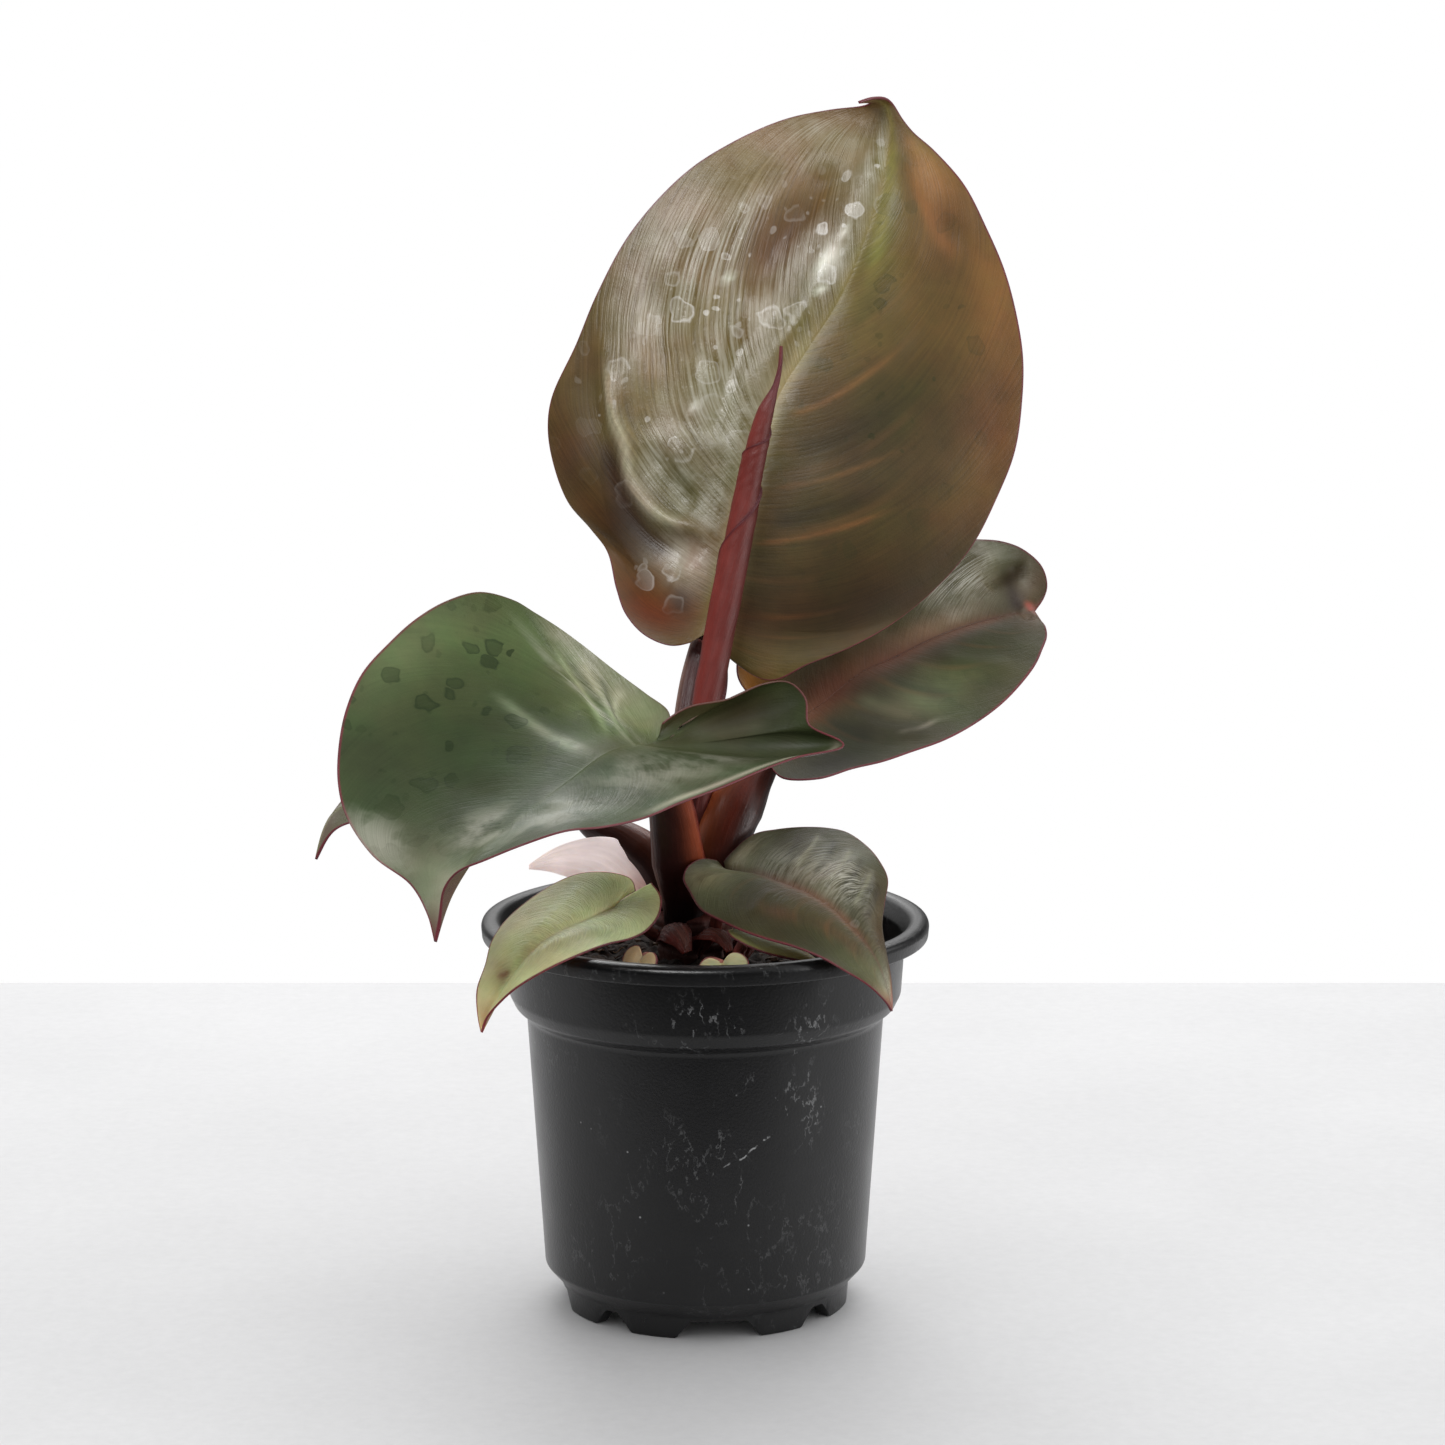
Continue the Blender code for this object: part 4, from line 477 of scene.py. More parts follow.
FRONT_RIGHT_LEAF = {
    "rib": [(5.3, -12, 115.7), (12.4, -18, 116.7), (19.4, -25, 115.7), (28, -33, 113.6), (36, -42, 108.6),
            (42.7, -49, 101), (46.3, -53, 89.5)],
    "rows": [
        (0, (4.7, -10.3, 117.8), (3, -12.6, 118.6)),
        (0.02, (7, -9.5, 120.3), (-1.2, -15.5, 119.5)),
        (0.04, (12, -7.5, 124.1), (-4.3, -17.5, 118)),
        (0.08, (18, -5.5, 125.1), (-5.3, -20, 115.6)),
        (0.14, (24.5, -4.5, 125.5), (-3.7, -24, 113)),
        (0.22, (31, -4.5, 125.3), (-1, -30, 110)),
        (0.32, (36, -6, 124.5), (3.5, -35, 108.5)),
        (0.43, (41, -11, 122), (9, -40, 107)),
        (0.54, (44, -17, 119.5), (15, -45, 106)),
        (0.65, (46, -22, 116), (22, -49.3, 105)),
        (0.75, (45, -30, 111.5), (29, -53, 103)),
        (0.84, (44.2, -36, 107), (34, -55, 100.5)),
        (0.91, (45, -43, 102), (40, -56, 97)),
        (0.96, (46, -49, 96.5), (44, -55, 93)),
        (1, (46.3, -53, 89.5), (46.3, -53, 89.5)),
    ],
    "cup": (0.05, 0.05), "sweep": 0.12, "rib_height": 0.9, "rib_width": 1.6,
    "veins": (0, 1.2, 2.4, 3.6, 4.8, 6, 7.2, 8.4, 9.6, 10.8, 12, 14), "lean": ((0.15, 0.3), (0.15, 0.3)),
    "folds": (
        (((5.6, -0.8), (6, -0.45), (5.6, -0.12)), 1.4, 0.6),
        (((6.6, -0.85), (7, -0.45), (6.6, -0.12)), 1.3, -0.8),
        (((7.4, -0.85), (7.8, -0.45), (7.4, -0.1)), 1.3, 0.8),
        (((8.2, -0.85), (8.6, -0.45), (8.2, -0.1)), 1.3, -0.8),
        (((9, -0.85), (9.4, -0.45), (9, -0.1)), 1.3, 0.7),
        (((10, -0.85), (10.4, -0.45), (10, -0.1)), 1.5, -0.6),
        (((3.4, 0.25), (3.8, 0.5), (3.6, 0.8)), 1.6, 0.5),
        (((6, 0.2), (6.6, 0.5), (7, 0.8)), 1.6, 0.5),
        (((9.8, 0.2), (10.4, 0.5), (10.8, 0.8)), 1.6, -0.5),
    ),
    "plain": 0.25,
    "pleats": ((7.8, -0.45, 2.4, 0.5, 1), (5, -0.3, 2, 0.4, 0.8)),
    "sheen": (
        (7.8, -0.42, 1.4, 0.3, 0.7), (5, -0.2, 1.5, 0.3, 0.5), (1.8, 0, 1.2, 0.4, 0.7),
        (12.2, 0, 0.8, 0.5, 0.5),
    ),
    "dull": ((4.5, 0.6, 2, 0.4, 0.6), (9, 0.6, 2.5, 0.4, 0.6)),
    "lines": (
        # Painted highlights on the wrinkles' ridges
        (((5.2, -0.85), (6, -0.5), (6, -0.15)), 0.6, "#8f8f78", 0.5),
        (((6.8, -0.85), (7.5, -0.5), (7.4, -0.15)), 0.6, "#8c8a74", 0.5),
        (((8.3, -0.85), (8.9, -0.5), (8.8, -0.15)), 0.6, "#88846c", 0.4),
        # These five are painted shade in the wrinkles' hollows
        (((6, -0.85), (6.8, -0.5), (6.7, -0.15)), 0.9, "#22200e", 0.8),
        (((7.6, -0.85), (8.2, -0.5), (8.1, -0.15)), 0.9, "#22200e", 0.8),
        (((9.2, -0.8), (9.7, -0.5), (9.6, -0.15)), 1, "#2a200e", 0.7),
        (((4.4, -0.85), (5.2, -0.5), (5.4, -0.2)), 0.9, "#2a2a18", 0.6),
        (((10.2, -0.8), (10.8, -0.45), (10.6, -0.1)), 1.4, "#3a2c18", 0.6),
        (((3, 0), (6.5, 0), (10.5, 0)), 1.3, "#6f4634", 0.6),
    ),
    "base": "#38351e", "rib_colour": "#54392b", "rib_line": (1.2, 0.5), "under": "#5f4a44",
    "patches": (
        (3.5, 0.7, 2.2, 0.5, "#4a4c38", 0.8), (6.8, 0.1, 2, 0.16, "#4a3024", 0.6),
        # The second patch here is a painted highlight near the joint
        (3, 0, 1.4, 0.5, "#858266", 0.7), (1.6, -0.2, 1.4, 0.5, "#a09a7c", 0.8),
        (6.4, 0.5, 2, 0.35, "#2f2c1a", 0.6), (7, -0.25, 1.5, 0.25, "#6e6450", 0.6),
        (5.5, -0.5, 2.2, 0.5, "#4a4b36", 0.6), (8.5, 0.85, 2.5, 0.3, "#2f2814", 0.8),
        (11.5, 0.3, 1.6, 0.7, "#55543a", 0.7), (12.8, 0.2, 0.7, 0.8, "#8a8264", 0.7),
        (13.6, 0, 0.9, 1.6, "#8a5048", 0.9), (10.5, -0.7, 1.6, 0.4, "#4a3620", 0.6),
        (9.4, 0.35, 1.2, 0.16, "#50301f", 0.5), (7.6, 0.55, 0.8, 0.12, "#4a2c1c", 0.5),
        # The two patches on this line and the first on the next are painted shade in the wrinkles' hollows
        (6.4, -0.62, 0.35, 0.2, "#23220f", 0.6), (7.8, -0.7, 0.3, 0.2, "#23220f", 0.6),
        (9.2, -0.6, 0.35, 0.2, "#23220f", 0.5), (4.5, -0.33, 1, 0.3, "#6a6654", 0.4),
        # The first patch here is a painted highlight
        (7.1, -0.45, 0.8, 0.3, "#8c8a80", 0.35), (8.8, -0.23, 0.8, 0.25, "#2c2a1a", 0.5),
        (3.6, 0.62, 1.4, 0.35, "#8a8266", 0.7),
    ),
    "wet": ((8, 0.2, 3, 0.6, 0.25),),
}

# Each blade's leaf, finish, rows of points to a side vein and columns to a half
BLADES = {
    "leaf_back_blade": (BACK_LEAF, "leaf_bronze", 11, 62),
    "leaf_left_blade": (LEFT_LEAF, "leaf_green", 8, 36),
    "leaf_right_blade": (RIGHT_LEAF, "leaf_dark", 9, 32),
    "leaf_rear_blade": (REAR_LEAF, "leaf_green", 10, 28),
    "leaf_front_left_blade": (FRONT_LEFT_LEAF, "leaf_olive", 9, 28),
    "leaf_front_right_blade": (FRONT_RIGHT_LEAF, "leaf_grey_green", 8, 30),
}

# Finishes of blades: name, roughness, strength of streaks and of side veins,
# share of dark water marks, level of the gloss, share of light let through
FINISHES = {
    "leaf_bronze": ("bronze_leaf_cuticle", 0.38, 1.3, 0.12, 0.05, 0.6, 0.0),
    "leaf_green": ("green_leaf_cuticle", 0.38, 0.7, 0.0, 0.95, 0.42, 0.0),
    "leaf_dark": ("dark_leaf_cuticle", 0.40, 0.8, 0.1, 0.5, 0.45, 0.0),
    "leaf_olive": ("olive_leaf_cuticle", 0.40, 1.0, 0.0, 0.2, 0.5, 0.5),
    "leaf_grey_green": ("grey_leaf_cuticle", 0.36, 1.7, 0.1, 0.2, 0.5, 0.0),
    "leaf_juvenile": ("young_leaf_cuticle", 0.5, 0.3, 0.0, 0.1, 0.5, 0.4),
}

# Petioles: the foot on the crown, or the direction and height at which it
# leaves the stem, points passed, radii, depth of the section for its width,
# how much lower than usual it ends, the groove's side in degrees, and
# patches of colour by degrees round the section from +X, reach, share of the
# length, reach, colour and strength
PETIOLES = {
    "back": {"foot": (-3.8, 5.8),
             "path": [(-5.6, 9.3, 122), (-6, 15.5, 144), (-4.2, 22, 157), (-1.8, 26.5, 166)],
             "radii": (2.7, 3, 2.6, 2.6, 2.5), "groove": -90,
             "base": "#3a1a18", "patches": ((200, 30, 0.5, 0.8, "#8d6f62", 0.6),)},
    "left": {"foot": (-5.6, -7.3), "path": [(-6.7, -10.4, 118), (-9, -17.2, 136)],
             "radii": (4.8, 5.4, 6.8, 5.4, 3.4), "depth": 0.72, "groove": 90,
             "base": "#2c1210",
             # The orange at -30 degrees is partly the petiole's own colour and partly painted light shining
             # through it, the pale line at 190 degrees is a painted highlight, and the darkening at the
             # foot is painted shade
             "patches": ((-30, 34, 0.62, 0.3, "#8e4022", 0.9), (190, 16, 0.4, 0.8, "#7a4636", 0.35),
                         (0, 14, 0.5, 0.6, "#6a140c", 0.7), (-90, 400, 0.05, 0.3, "#0c0504", 0.9))},
    "right": {"foot": (3.6, -5), "drop": 0.9,
              "path": [(3.6, -4.2, 118), (7.8, 1.2, 129.5), (13.8, 11, 137.5)],
              "radii": (3.6, 5, 6.6, 7.2, 4.8, 2.6), "depth": 0.62, "groove": 90,
              "base": "#22100c",
              # The orange at 180 degrees is partly the petiole's own colour and partly painted light
              # shining through it, and the darkening at the foot is painted shade
              "patches": ((180, 58, 0.5, 0.3, "#b45c34", 0.9), (-90, 26, 0.6, 0.4, "#561a0c", 0.7),
                          (-45, 14, 0.5, 0.5, "#3c1a12", 0.7), (0, 400, 0.02, 0.25, "#0c0504", 0.9))},
    "rear": {"foot": (-9.6, 1), "drop": 0.15,
             "path": [(-12.5, 4.5, 113), (-20, 10.5, 118.5), (-29.5, 17, 121.5)],
             "radii": (3, 5, 5.6, 3.8, 1.9), "groove": 90, "base": "#2e100a",
             # The orange is partly the petiole's own colour and partly painted light shining through it,
             # and the darkening at the foot is painted shade
             "patches": ((-30, 50, 0.45, 0.4, "#7c3a20", 0.8), (0, 400, 0, 0.2, "#140806", 0.8))},
    "front_left": {"leaves": (220, 97.5), "path": [(-15.5, -12.5, 101), (-20.3, -20, 104.5)],
                   "radii": (1.6, 1.6, 1.5, 1.4), "groove": 90,
                   "base": "#6a3a30", "patches": ((0, 400, 1, 0.3, "#9a7a62", 0.7),)},
    "front_right": {"leaves": (-66, 98.5), "path": [(3.2, -14, 104), (4.8, -13.6, 110)],
                    "radii": (1.7, 1.7, 1.6, 1.5), "groove": 90,
                    "base": "#5a2a24", "patches": ((0, 400, 1, 0.3, "#7a5a4a", 0.7),)},
}

# The rolled new leaf: path, radii, and the seam's turn in degrees at each height
SPEAR_PATH = [(-3.2, -1, 103.3), (-2.7, 0.6, 116), (-1.3, 2, 136), (0.2, 5, 152.7), (3, 8, 169),
              (6.4, 11, 186.7), (9.9, 14, 204.4), (13.3, 16, 220.8), (15.6, 17, 229.5), (17.6, 17.7, 234.5),
              (19, 18.8, 240), (19.4, 20, 245.7)]
SPEAR_RADII = (2.5, 2.8, 3.5, 4.2, 4.1, 4.1, 3.7, 3, 2.2, 0.95, 0.55, 0.4)
SEAM = ((103, -520), (150, -420), (180, -230), (193, -180), (209.5, 0), (218, 180), (224, 360), (246, 760))

# Sheaths: direction and height at which each leaves the stem, its centre line,
# half widths, how deep its trough is, the way its open side faces, and its colours
SHEATHS = {
    "sheath_pale_rear": {
        "leaves": (182, 104.2),
        "path": [(-18.5, -0.8, 108.5), (-27, 3.5, 114), (-36.5, 8.5, 114), (-45.7, 12, 111.4)],
        "half_widths": (3, 6.6, 7.8, 4.4, 0.5), "trough": 1.6, "opens": (0.1, -0.8, 0.6),
        "base": "#fbe9e6",
        "patches": ((0.1, 0, 0.25, 2, "#8a3f28", 0.8), (0.6, -0.8, 0.5, 0.4, "#e8cfc8", 0.7))},
    "sheath_dry_front": {
        "leaves": (-120, 97),
        "path": [(-9.5, -15, 101), (-9, -20, 103.3), (-6.5, -24.5, 102), (-4.5, -27, 98)],
        "half_widths": (2.6, 3.7, 4.2, 3.2, 1), "trough": 2.2, "opens": (0.3, 0.5, -0.9),
        "base": "#5c2019",
        "patches": ((0.8, 0.3, 0.25, 0.6, "#7a5349", 0.7), (0.2, 0, 0.3, 2, "#3a1a17", 0.7))},
    "sheath_dry_middle": {
        "leaves": (-90, 94.5),
        "path": [(-1.6, -16, 99.5), (1.2, -20.5, 102.3), (4.6, -24, 101.6), (6.5, -26.5, 98.2)],
        "half_widths": (2.4, 3.2, 3.4, 2.6, 0.8), "trough": 1.8, "opens": (-0.3, 0.5, -0.9),
        "base": "#62251d",
        "patches": ((0.7, 0, 0.3, 0.6, "#84584d", 0.6), (0.1, 0, 0.3, 2, "#3a1a17", 0.7))},
    "sheath_dry_right": {
        "leaves": (-30, 94),
        "path": [(9.5, -11, 97.5), (11.5, -16, 99.5), (11, -20.5, 98.5), (9, -23.5, 95)],
        "half_widths": (2, 2.8, 2.8, 2.2, 0.7), "trough": 1.5, "opens": (0.5, 0.5, -0.7),
        "base": "#5e1e17", "patches": ((0.8, 0, 0.3, 0.8, "#7a4a40", 0.6),)},
}

# Small pale leaves inside the rim, and what they have in common. The heart's
# outline is given by share of the midrib, place along the leaf and half width
JUVENILES = {
    "juvenile_left": {"joint": (-15.5, -40.3, 100.4), "tip": (-19.5, -43, 93.2), "left": (0.8, -0.5, -0.2),
                      "width": 9.5, "foot": (-12.5, -33, 0.6), "bend": (-13.2, -34.8, 98.6),
                      "base": "#b09a78"},
    "juvenile_middle": {"joint": (4.3, -43.3, 99.4), "tip": (6, -46, 91.5), "left": (1, -0.1, 0.2),
                        "width": 13, "foot": (-1.5, -36, 0.5), "bend": (0.3, -37.6, 98.2),
                        "base": "#a39c7d"},
    "juvenile_right": {"joint": (11, -31, 104), "tip": (30, -36.5, 97), "left": (0.3, 0.9, 0.1),
                       "width": 14, "foot": (7.5, -29.5, 0), "bend": (8, -29.6, 99),
                       "base": "#97915a"},
}
JUVENILE_PETIOLE = 0.9
HEART = ((0, -0.1, 0.16), (0.03, -0.22, 0.46), (0.06, -0.14, 0.78),
         (0.14, 0.08, 0.98), (0.3, 0.32, 0.95), (0.5, 0.55, 0.7),
         (0.7, 0.75, 0.4), (0.88, 0.9, 0.15), (1, 1, 0))
YOUNG_LEAF = {
    "cup": (0.08, 0.08), "sweep": 0.1, "rib_height": 0.5, "rib_width": 1, "plain": 0.3,
    "veins": (0, 1, 2, 3, 4, 5, 6, 8), "lean": ((0.2, 0.2), (0.2, 0.2)), "rib_colour": "#b7a888",
    "rib_line": (0.6, 0.5), "under": "#9c8468",
    "patches": ((1, 0, 1.5, 2, "#a88f74", 0.5), (7, 0, 1.5, 2, "#8f7a5c", 0.5)),
}


def linear(code):
    """Linear colour of an sRGB hex code."""
    parts = np.array([int(code[at:at + 2], 16) for at in (1, 3, 5)]) / 255.0
    light = np.where(parts <= 0.04045, parts / 12.92, ((parts + 0.055) / 1.055) ** 2.4)
    return tuple(float(part) for part in light)


def rgb(colour):
    """A colour as an array, from a hex code or from linear values."""
    return np.array(linear(colour) if isinstance(colour, str) else colour)


def mixed(colour, other, share):
    """The colour with a share of another over it."""
    return colour * (1 - share) + rgb(other) * share


def run_length(path):
    """Distance along a path from its start to each point."""
    return np.concatenate([[0.0], np.cumsum(np.linalg.norm(np.diff(path, axis=0), axis=1))])


def full_turn(sides, rows=1):
    """Evenly spaced angles round a full turn, the same in each row."""
    return np.tile(np.linspace(0, 2 * np.pi, sides, endpoint=False), (rows, 1))


def fill(tree, node, inputs):
    """Each input of the node, by name or number, takes a value or a link from a socket."""
    for place, value in inputs.items():
        if isinstance(value, bpy.types.NodeSocket):
            tree.links.new(value, node.inputs[place])
        else:
            node.inputs[place].default_value = value


def add(tree, kind, inputs=(), out=0, **settings):
    """One output of a new node, or all of them for None: its settings, then its inputs."""
    made = tree.nodes.new("ShaderNode" + kind)
    for name, value in settings.items():
        setattr(made, name, value)
    fill(tree, made, inputs if isinstance(inputs, dict) else dict(enumerate(inputs)))
    return made.outputs if out is None else made.outputs[out]


def new_material(name):
    """An empty material with its shader, and the socket that carries Object coordinates."""
    material = bpy.data.materials.new(name)
    material.use_nodes = True
    tree = material.node_tree
    shader = tree.nodes["Principled BSDF"]
    place = add(tree, "TexCoord", out="Object")
    return material, tree, shader, place


def blend_colour(tree, share, first, second, how="MIX"):
    """Socket of the first colour with a share of the second over it; each is a colour or a socket."""
    first, second = (
        one if isinstance(one, bpy.types.NodeSocket) else (*rgb(one), 1) for one in (first, second))
    return add(tree, "Mix", {0: share, 6: first, 7: second}, 2, data_type="RGBA", blend_type=how)


def curve_through(points, samples):
    """Smooth curve through the points: cubic Hermite spans, each slope from the parabola at its point."""
    points = np.asarray(points, float)
    samples = np.asarray(samples, float)
    gaps = np.sqrt(np.maximum(np.linalg.norm(np.diff(points, axis=0), axis=1), 1e-9))[:, None]
    steps = np.diff(points, axis=0) / gaps
    slopes = np.empty_like(points)
    slopes[1:-1] = (steps[:-1] * gaps[1:] + steps[1:] * gaps[:-1]) / (gaps[:-1] + gaps[1:])
    slopes[0] = 1.5 * steps[0] - 0.5 * slopes[1]
    slopes[-1] = 1.5 * steps[-1] - 0.5 * slopes[-2]
    first = np.clip(np.floor(samples).astype(int), 0, len(points) - 2)
    s = (samples - first)[:, None]
    h = gaps[first]
    return ((2 * s**3 - 3 * s**2 + 1) * points[first] + (s**3 - 2 * s**2 + s) * h * slopes[first]
            + (3 * s**2 - 2 * s**3) * points[first + 1] + (s**3 - s**2) * h * slopes[first + 1])


def along_length(points, shares):
    """Points of the smooth curve at the given shares of its length, and its unit direction there."""
    fine = curve_through(points, np.linspace(0, len(points) - 1, 40 * len(points)))
    length = run_length(fine)
    place = np.asarray(shares, float) * length[-1]
    step = 0.004 * length[-1]
    at, ahead, behind = (
        np.stack([np.interp(place + shift, length, fine[:, axis]) for axis in range(3)], axis=-1)
        for shift in (0, step, -step))
    return at, unit(ahead - behind)


def unit(vectors):
    return vectors / np.maximum(np.linalg.norm(vectors, axis=-1, keepdims=True), 1e-9)


def bell(distance):
    """Bell curve exp(-d squared)."""
    return np.exp(-np.square(distance))


def ease(low, high, value):
    """Smooth step from 0 at low to 1 at high."""
    share = np.clip((value - low) / (high - low), 0, 1)
    return share * share * (3 - 2 * share)


def lumps(first, second, seed):
    """Value noise on a unit lattice: a random number at each corner, eased between corners."""
    numbers = np.random.RandomState(seed).uniform(-1, 1, (64, 64))
    i, j = np.floor(first).astype(int), np.floor(second).astype(int)
    s, t = ease(0, 1, first - i), ease(0, 1, second - j)
    corners = [numbers[(i + a) % 64, (j + b) % 64] for a, b in ((0, 0), (1, 0), (0, 1), (1, 1))]
    return ((corners[0] * (1 - s) + corners[1] * s) * (1 - t)
            + (corners[2] * (1 - s) + corners[3] * s) * t)


def grid_quads(rows, columns, ring=False):
    """Four-sided faces of a rows by columns grid of points; a ring's last column joins its first."""
    across = columns if ring else columns - 1
    row = np.arange(rows - 1)[:, None] * columns
    column = np.arange(across)[None]
    after = (column + 1) % columns
    return np.stack([row + column, row + after, row + columns + after, row + columns + column],
                    axis=-1).reshape(-1, 4)


def grid_normals(grid):
    """Unit normals of a grid of points, from its two central differences."""
    down = np.gradient(grid, axis=0)
    across = np.gradient(grid, axis=1)
    return unit(np.cross(across, down))


def painted(base, patches, first, second):
    """Colour at each point: the base, then each patch mixed in by its strength times a bell curve."""
    colour = np.broadcast_to(rgb(base), first.shape + (3,))
    for at, across, reach, wide, code, strength in patches:
        share = strength * bell((first - at) / reach) * bell((second - across) / wide)
        colour = mixed(colour, code, share[..., None])
    return colour


def spread(leaf, key, first, second):
    """Strength at each point, the greatest of the bell curves that the leaf lists under the key."""
    total = np.zeros_like(first)
    for at, across, reach, wide, strength in leaf.get(key, ()):
        total = np.maximum(total, strength * bell((first - at) / reach) * bell((second - across) / wide))
    return total


def pleated_share(leaf, row, across):
    """How far the blade is pleated at each point, from 0 to 1."""
    return leaf["plain"] + (1 - leaf["plain"]) * spread(leaf, "pleats", row, across)


def sew(mesh):
    """Join the points that coincide and turn every face outwards."""
    body = bmesh.new()
    body.from_mesh(mesh)
    bmesh.ops.remove_doubles(body, verts=body.verts, dist=SEW_DISTANCE)
    bmesh.ops.recalc_face_normals(body, faces=body.faces)
    if body.calc_volume(signed=True) < 0:
        bmesh.ops.reverse_faces(body, faces=body.faces)
    body.to_mesh(mesh)
    body.free()


def place_object(name, data):
    """A new object in the scene."""
    item = bpy.data.objects.new(name, data)
    bpy.context.scene.collection.objects.link(item)
    return item


def make_piece(name, points, faces, material, slot, stands_for=(), uv=None, tint=None, **numbers):
    """One closed piece on the plant's body: mesh, coordinates of its pattern, colour and other values."""
    mesh = bpy.data.meshes.new(name)
    points = points.reshape(-1, 3)
    mesh.vertices.add(len(points))
    mesh.vertices.foreach_set("co", ((points + POT_AXIS) * MM).ravel())
    mesh.loops.add(faces.size)
    mesh.loops.foreach_set("vertex_index", faces.ravel().astype(np.int32))
    mesh.polygons.add(len(faces))
    mesh.polygons.foreach_set("loop_start", np.arange(0, faces.size, faces.shape[1], dtype=np.int32))
    mesh.update(calc_edges=True)
    if uv is not None:
        mesh.uv_layers.new(name="pattern").data.foreach_set("uv", uv[faces.ravel()].ravel())
    if tint is not None:
        colours = np.concatenate([tint, np.ones((len(tint), 1))], axis=1)
        mesh.color_attributes.new("tint", "FLOAT_COLOR", "POINT").data.foreach_set("color", colours.ravel())
    for key, values in numbers.items():
        mesh.attributes.new(key, "FLOAT", "POINT").data.foreach_set("value", values.ravel())
    sew(mesh)
    mesh.shade_smooth()
    mesh.materials.append(material)
    item = place_object(name, mesh)
    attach(item, "root")
    if stands_for:
        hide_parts(*stands_for)
    return item


def skin_piece(name, skin, material, slot, stands_for=(), **values):
    """A piece from rows of points that each run once round it."""
    faces = grid_quads(skin.shape[0], skin.shape[1], ring=True)
    return make_piece(name, skin, faces, material, slot, stands_for, **values)


def blade_surface(leaf, rays_per_row, half):
    """The upper face of a blade: place along and across, surface, normals and lengths.

    A point is (1 - v) times the rib plus v times the margin, swept back along
    the rib and raised along the normal by shares of the vein's length times
    4 v (1 - v). A crease adds a ridge that peaks at its own v.
    """
    rows = leaf["rows"]
    last = len(rows) - 1
    index = np.linspace(0, last, last * rays_per_row + 1)
    shares = np.interp(index, np.arange(last + 1), [row[0] for row in rows])
    rib, direction = along_length(leaf["rib"], shares)
    ends = np.clip(np.minimum(index, last - index) / 4.0, 0, 1)[:, None]
    arch = 4 * half * (1 - half)
    sides = []
    for side in (1, 2):
        margin = curve_through([row[side] for row in rows], index)
        across = margin - rib
        length = np.linalg.norm(across, axis=1, keepdims=True)
        swept = leaf["sweep"] * ends * length * arch
        flat = rib[:, None] + across[:, None] * half[:, None] - direction[:, None] * swept[..., None]
        rise = leaf["cup"][side - 1] * length * arch
        if side == 1 and "crease" in leaf:
            peak, height, middle, wide = leaf["crease"]
            ridge = np.where(half < peak, half / peak, (1 - half) / (1 - peak))
            reach = bell((index - middle) / wide)[:, None]
            rise = rise + height * length * reach * ridge
        sides.append((flat, rise, length * half, length * (1 - half)))
    flat, rise, from_rib, from_margin = (
        np.concatenate([sides[0][part][:, ::-1], sides[1][part][:, 1:]], axis=1) for part in range(4))
    top = flat + steady_normals(flat, half, rays_per_row) * rise[..., None]
    normals = steady_normals(top, half, rays_per_row)
    return index, shares, top, normals, from_rib, from_margin


def steady_normals(top, half, rays_per_row):
    """A blade's normals, evened out round the joint and along the narrow tail."""
    wedge = 2 * rays_per_row
    normals = grid_normals(top)
    normals[:wedge] = normals[wedge]
    middle = len(half) - 1
    at_joint = unit(normals[:2 * wedge, middle].mean(axis=0))
    near_joint = bell(np.linalg.norm(top - top[0, middle], axis=-1) / JOINT_REACH)[..., None]
    normals = unit(normals * (1 - near_joint) + at_joint * near_joint)
    width = np.linalg.norm(np.diff(top, axis=1), axis=-1).sum(axis=1)
    narrow = bell(width / TAIL_WIDTH)[:, None, None]
    row_mean = unit(normals.mean(axis=1, keepdims=True))
    for _ in range(3 * rays_per_row):
        row_mean[1:-1] = row_mean[1:-1] * 2 + row_mean[:-2] + row_mean[2:]
        row_mean = unit(row_mean)
        row_mean[-1] = row_mean[-2]
    return unit(normals * (1 - narrow) + row_mean * narrow)


def vein_number(leaf, index, across):
    """Number of the side vein through a point.

    Its row is divided by 1 + a |v| + b |v| cubed, as the veins lean to the tip.
    """
    reach = np.abs(across)
    (a, b), (c, d) = leaf["lean"]
    lean = np.where(across < 0, a * reach + b * reach**3, c * reach + d * reach**3)
    return np.interp(index[:, None] / (1 + lean), leaf["veins"], np.arange(len(leaf["veins"])))


def between(grid, index, across, places):
    """Values of a grid at places given by row and v, mixed from the four corners round each."""
    i = np.clip(np.searchsorted(index, places[:, 0]) - 1, 0, len(index) - 2)
    j = np.clip(np.searchsorted(across, places[:, 1]) - 1, 0, len(across) - 2)
    s = ((places[:, 0] - index[i]) / (index[i + 1] - index[i]))[:, None]
    t = ((places[:, 1] - across[j]) / (across[j + 1] - across[j]))[:, None]
    return ((grid[i, j] * (1 - t) + grid[i, j + 1] * t) * (1 - s)
            + (grid[i + 1, j] * (1 - t) + grid[i + 1, j + 1] * t) * s)


def from_line(line, index, across, top):
    """How each point lies to a line that is given by row and v.

    The distance in mm, a fade at the line's ends, and whether the point is on
    the line's low side, found from the cross product with the line's direction.
    """
    knots = np.column_stack([np.asarray(line), np.zeros(len(line))])
    place = np.linspace(0, 1, 160)
    path = between(top, index, across[0], curve_through(knots, place * (len(knots) - 1))[:, :2])
    gap = np.linalg.norm(top[:, :, None] - path[None, None], axis=-1)
    near = gap.argmin(axis=-1)
    ends = ease(0, 0.25, place[near]) * ease(1, 0.75, place[near])
    turned = np.cross(np.gradient(path, axis=0)[near], top - path[near])
    return gap.min(axis=-1), ends, (turned * grid_normals(top)).sum(axis=-1) < 0


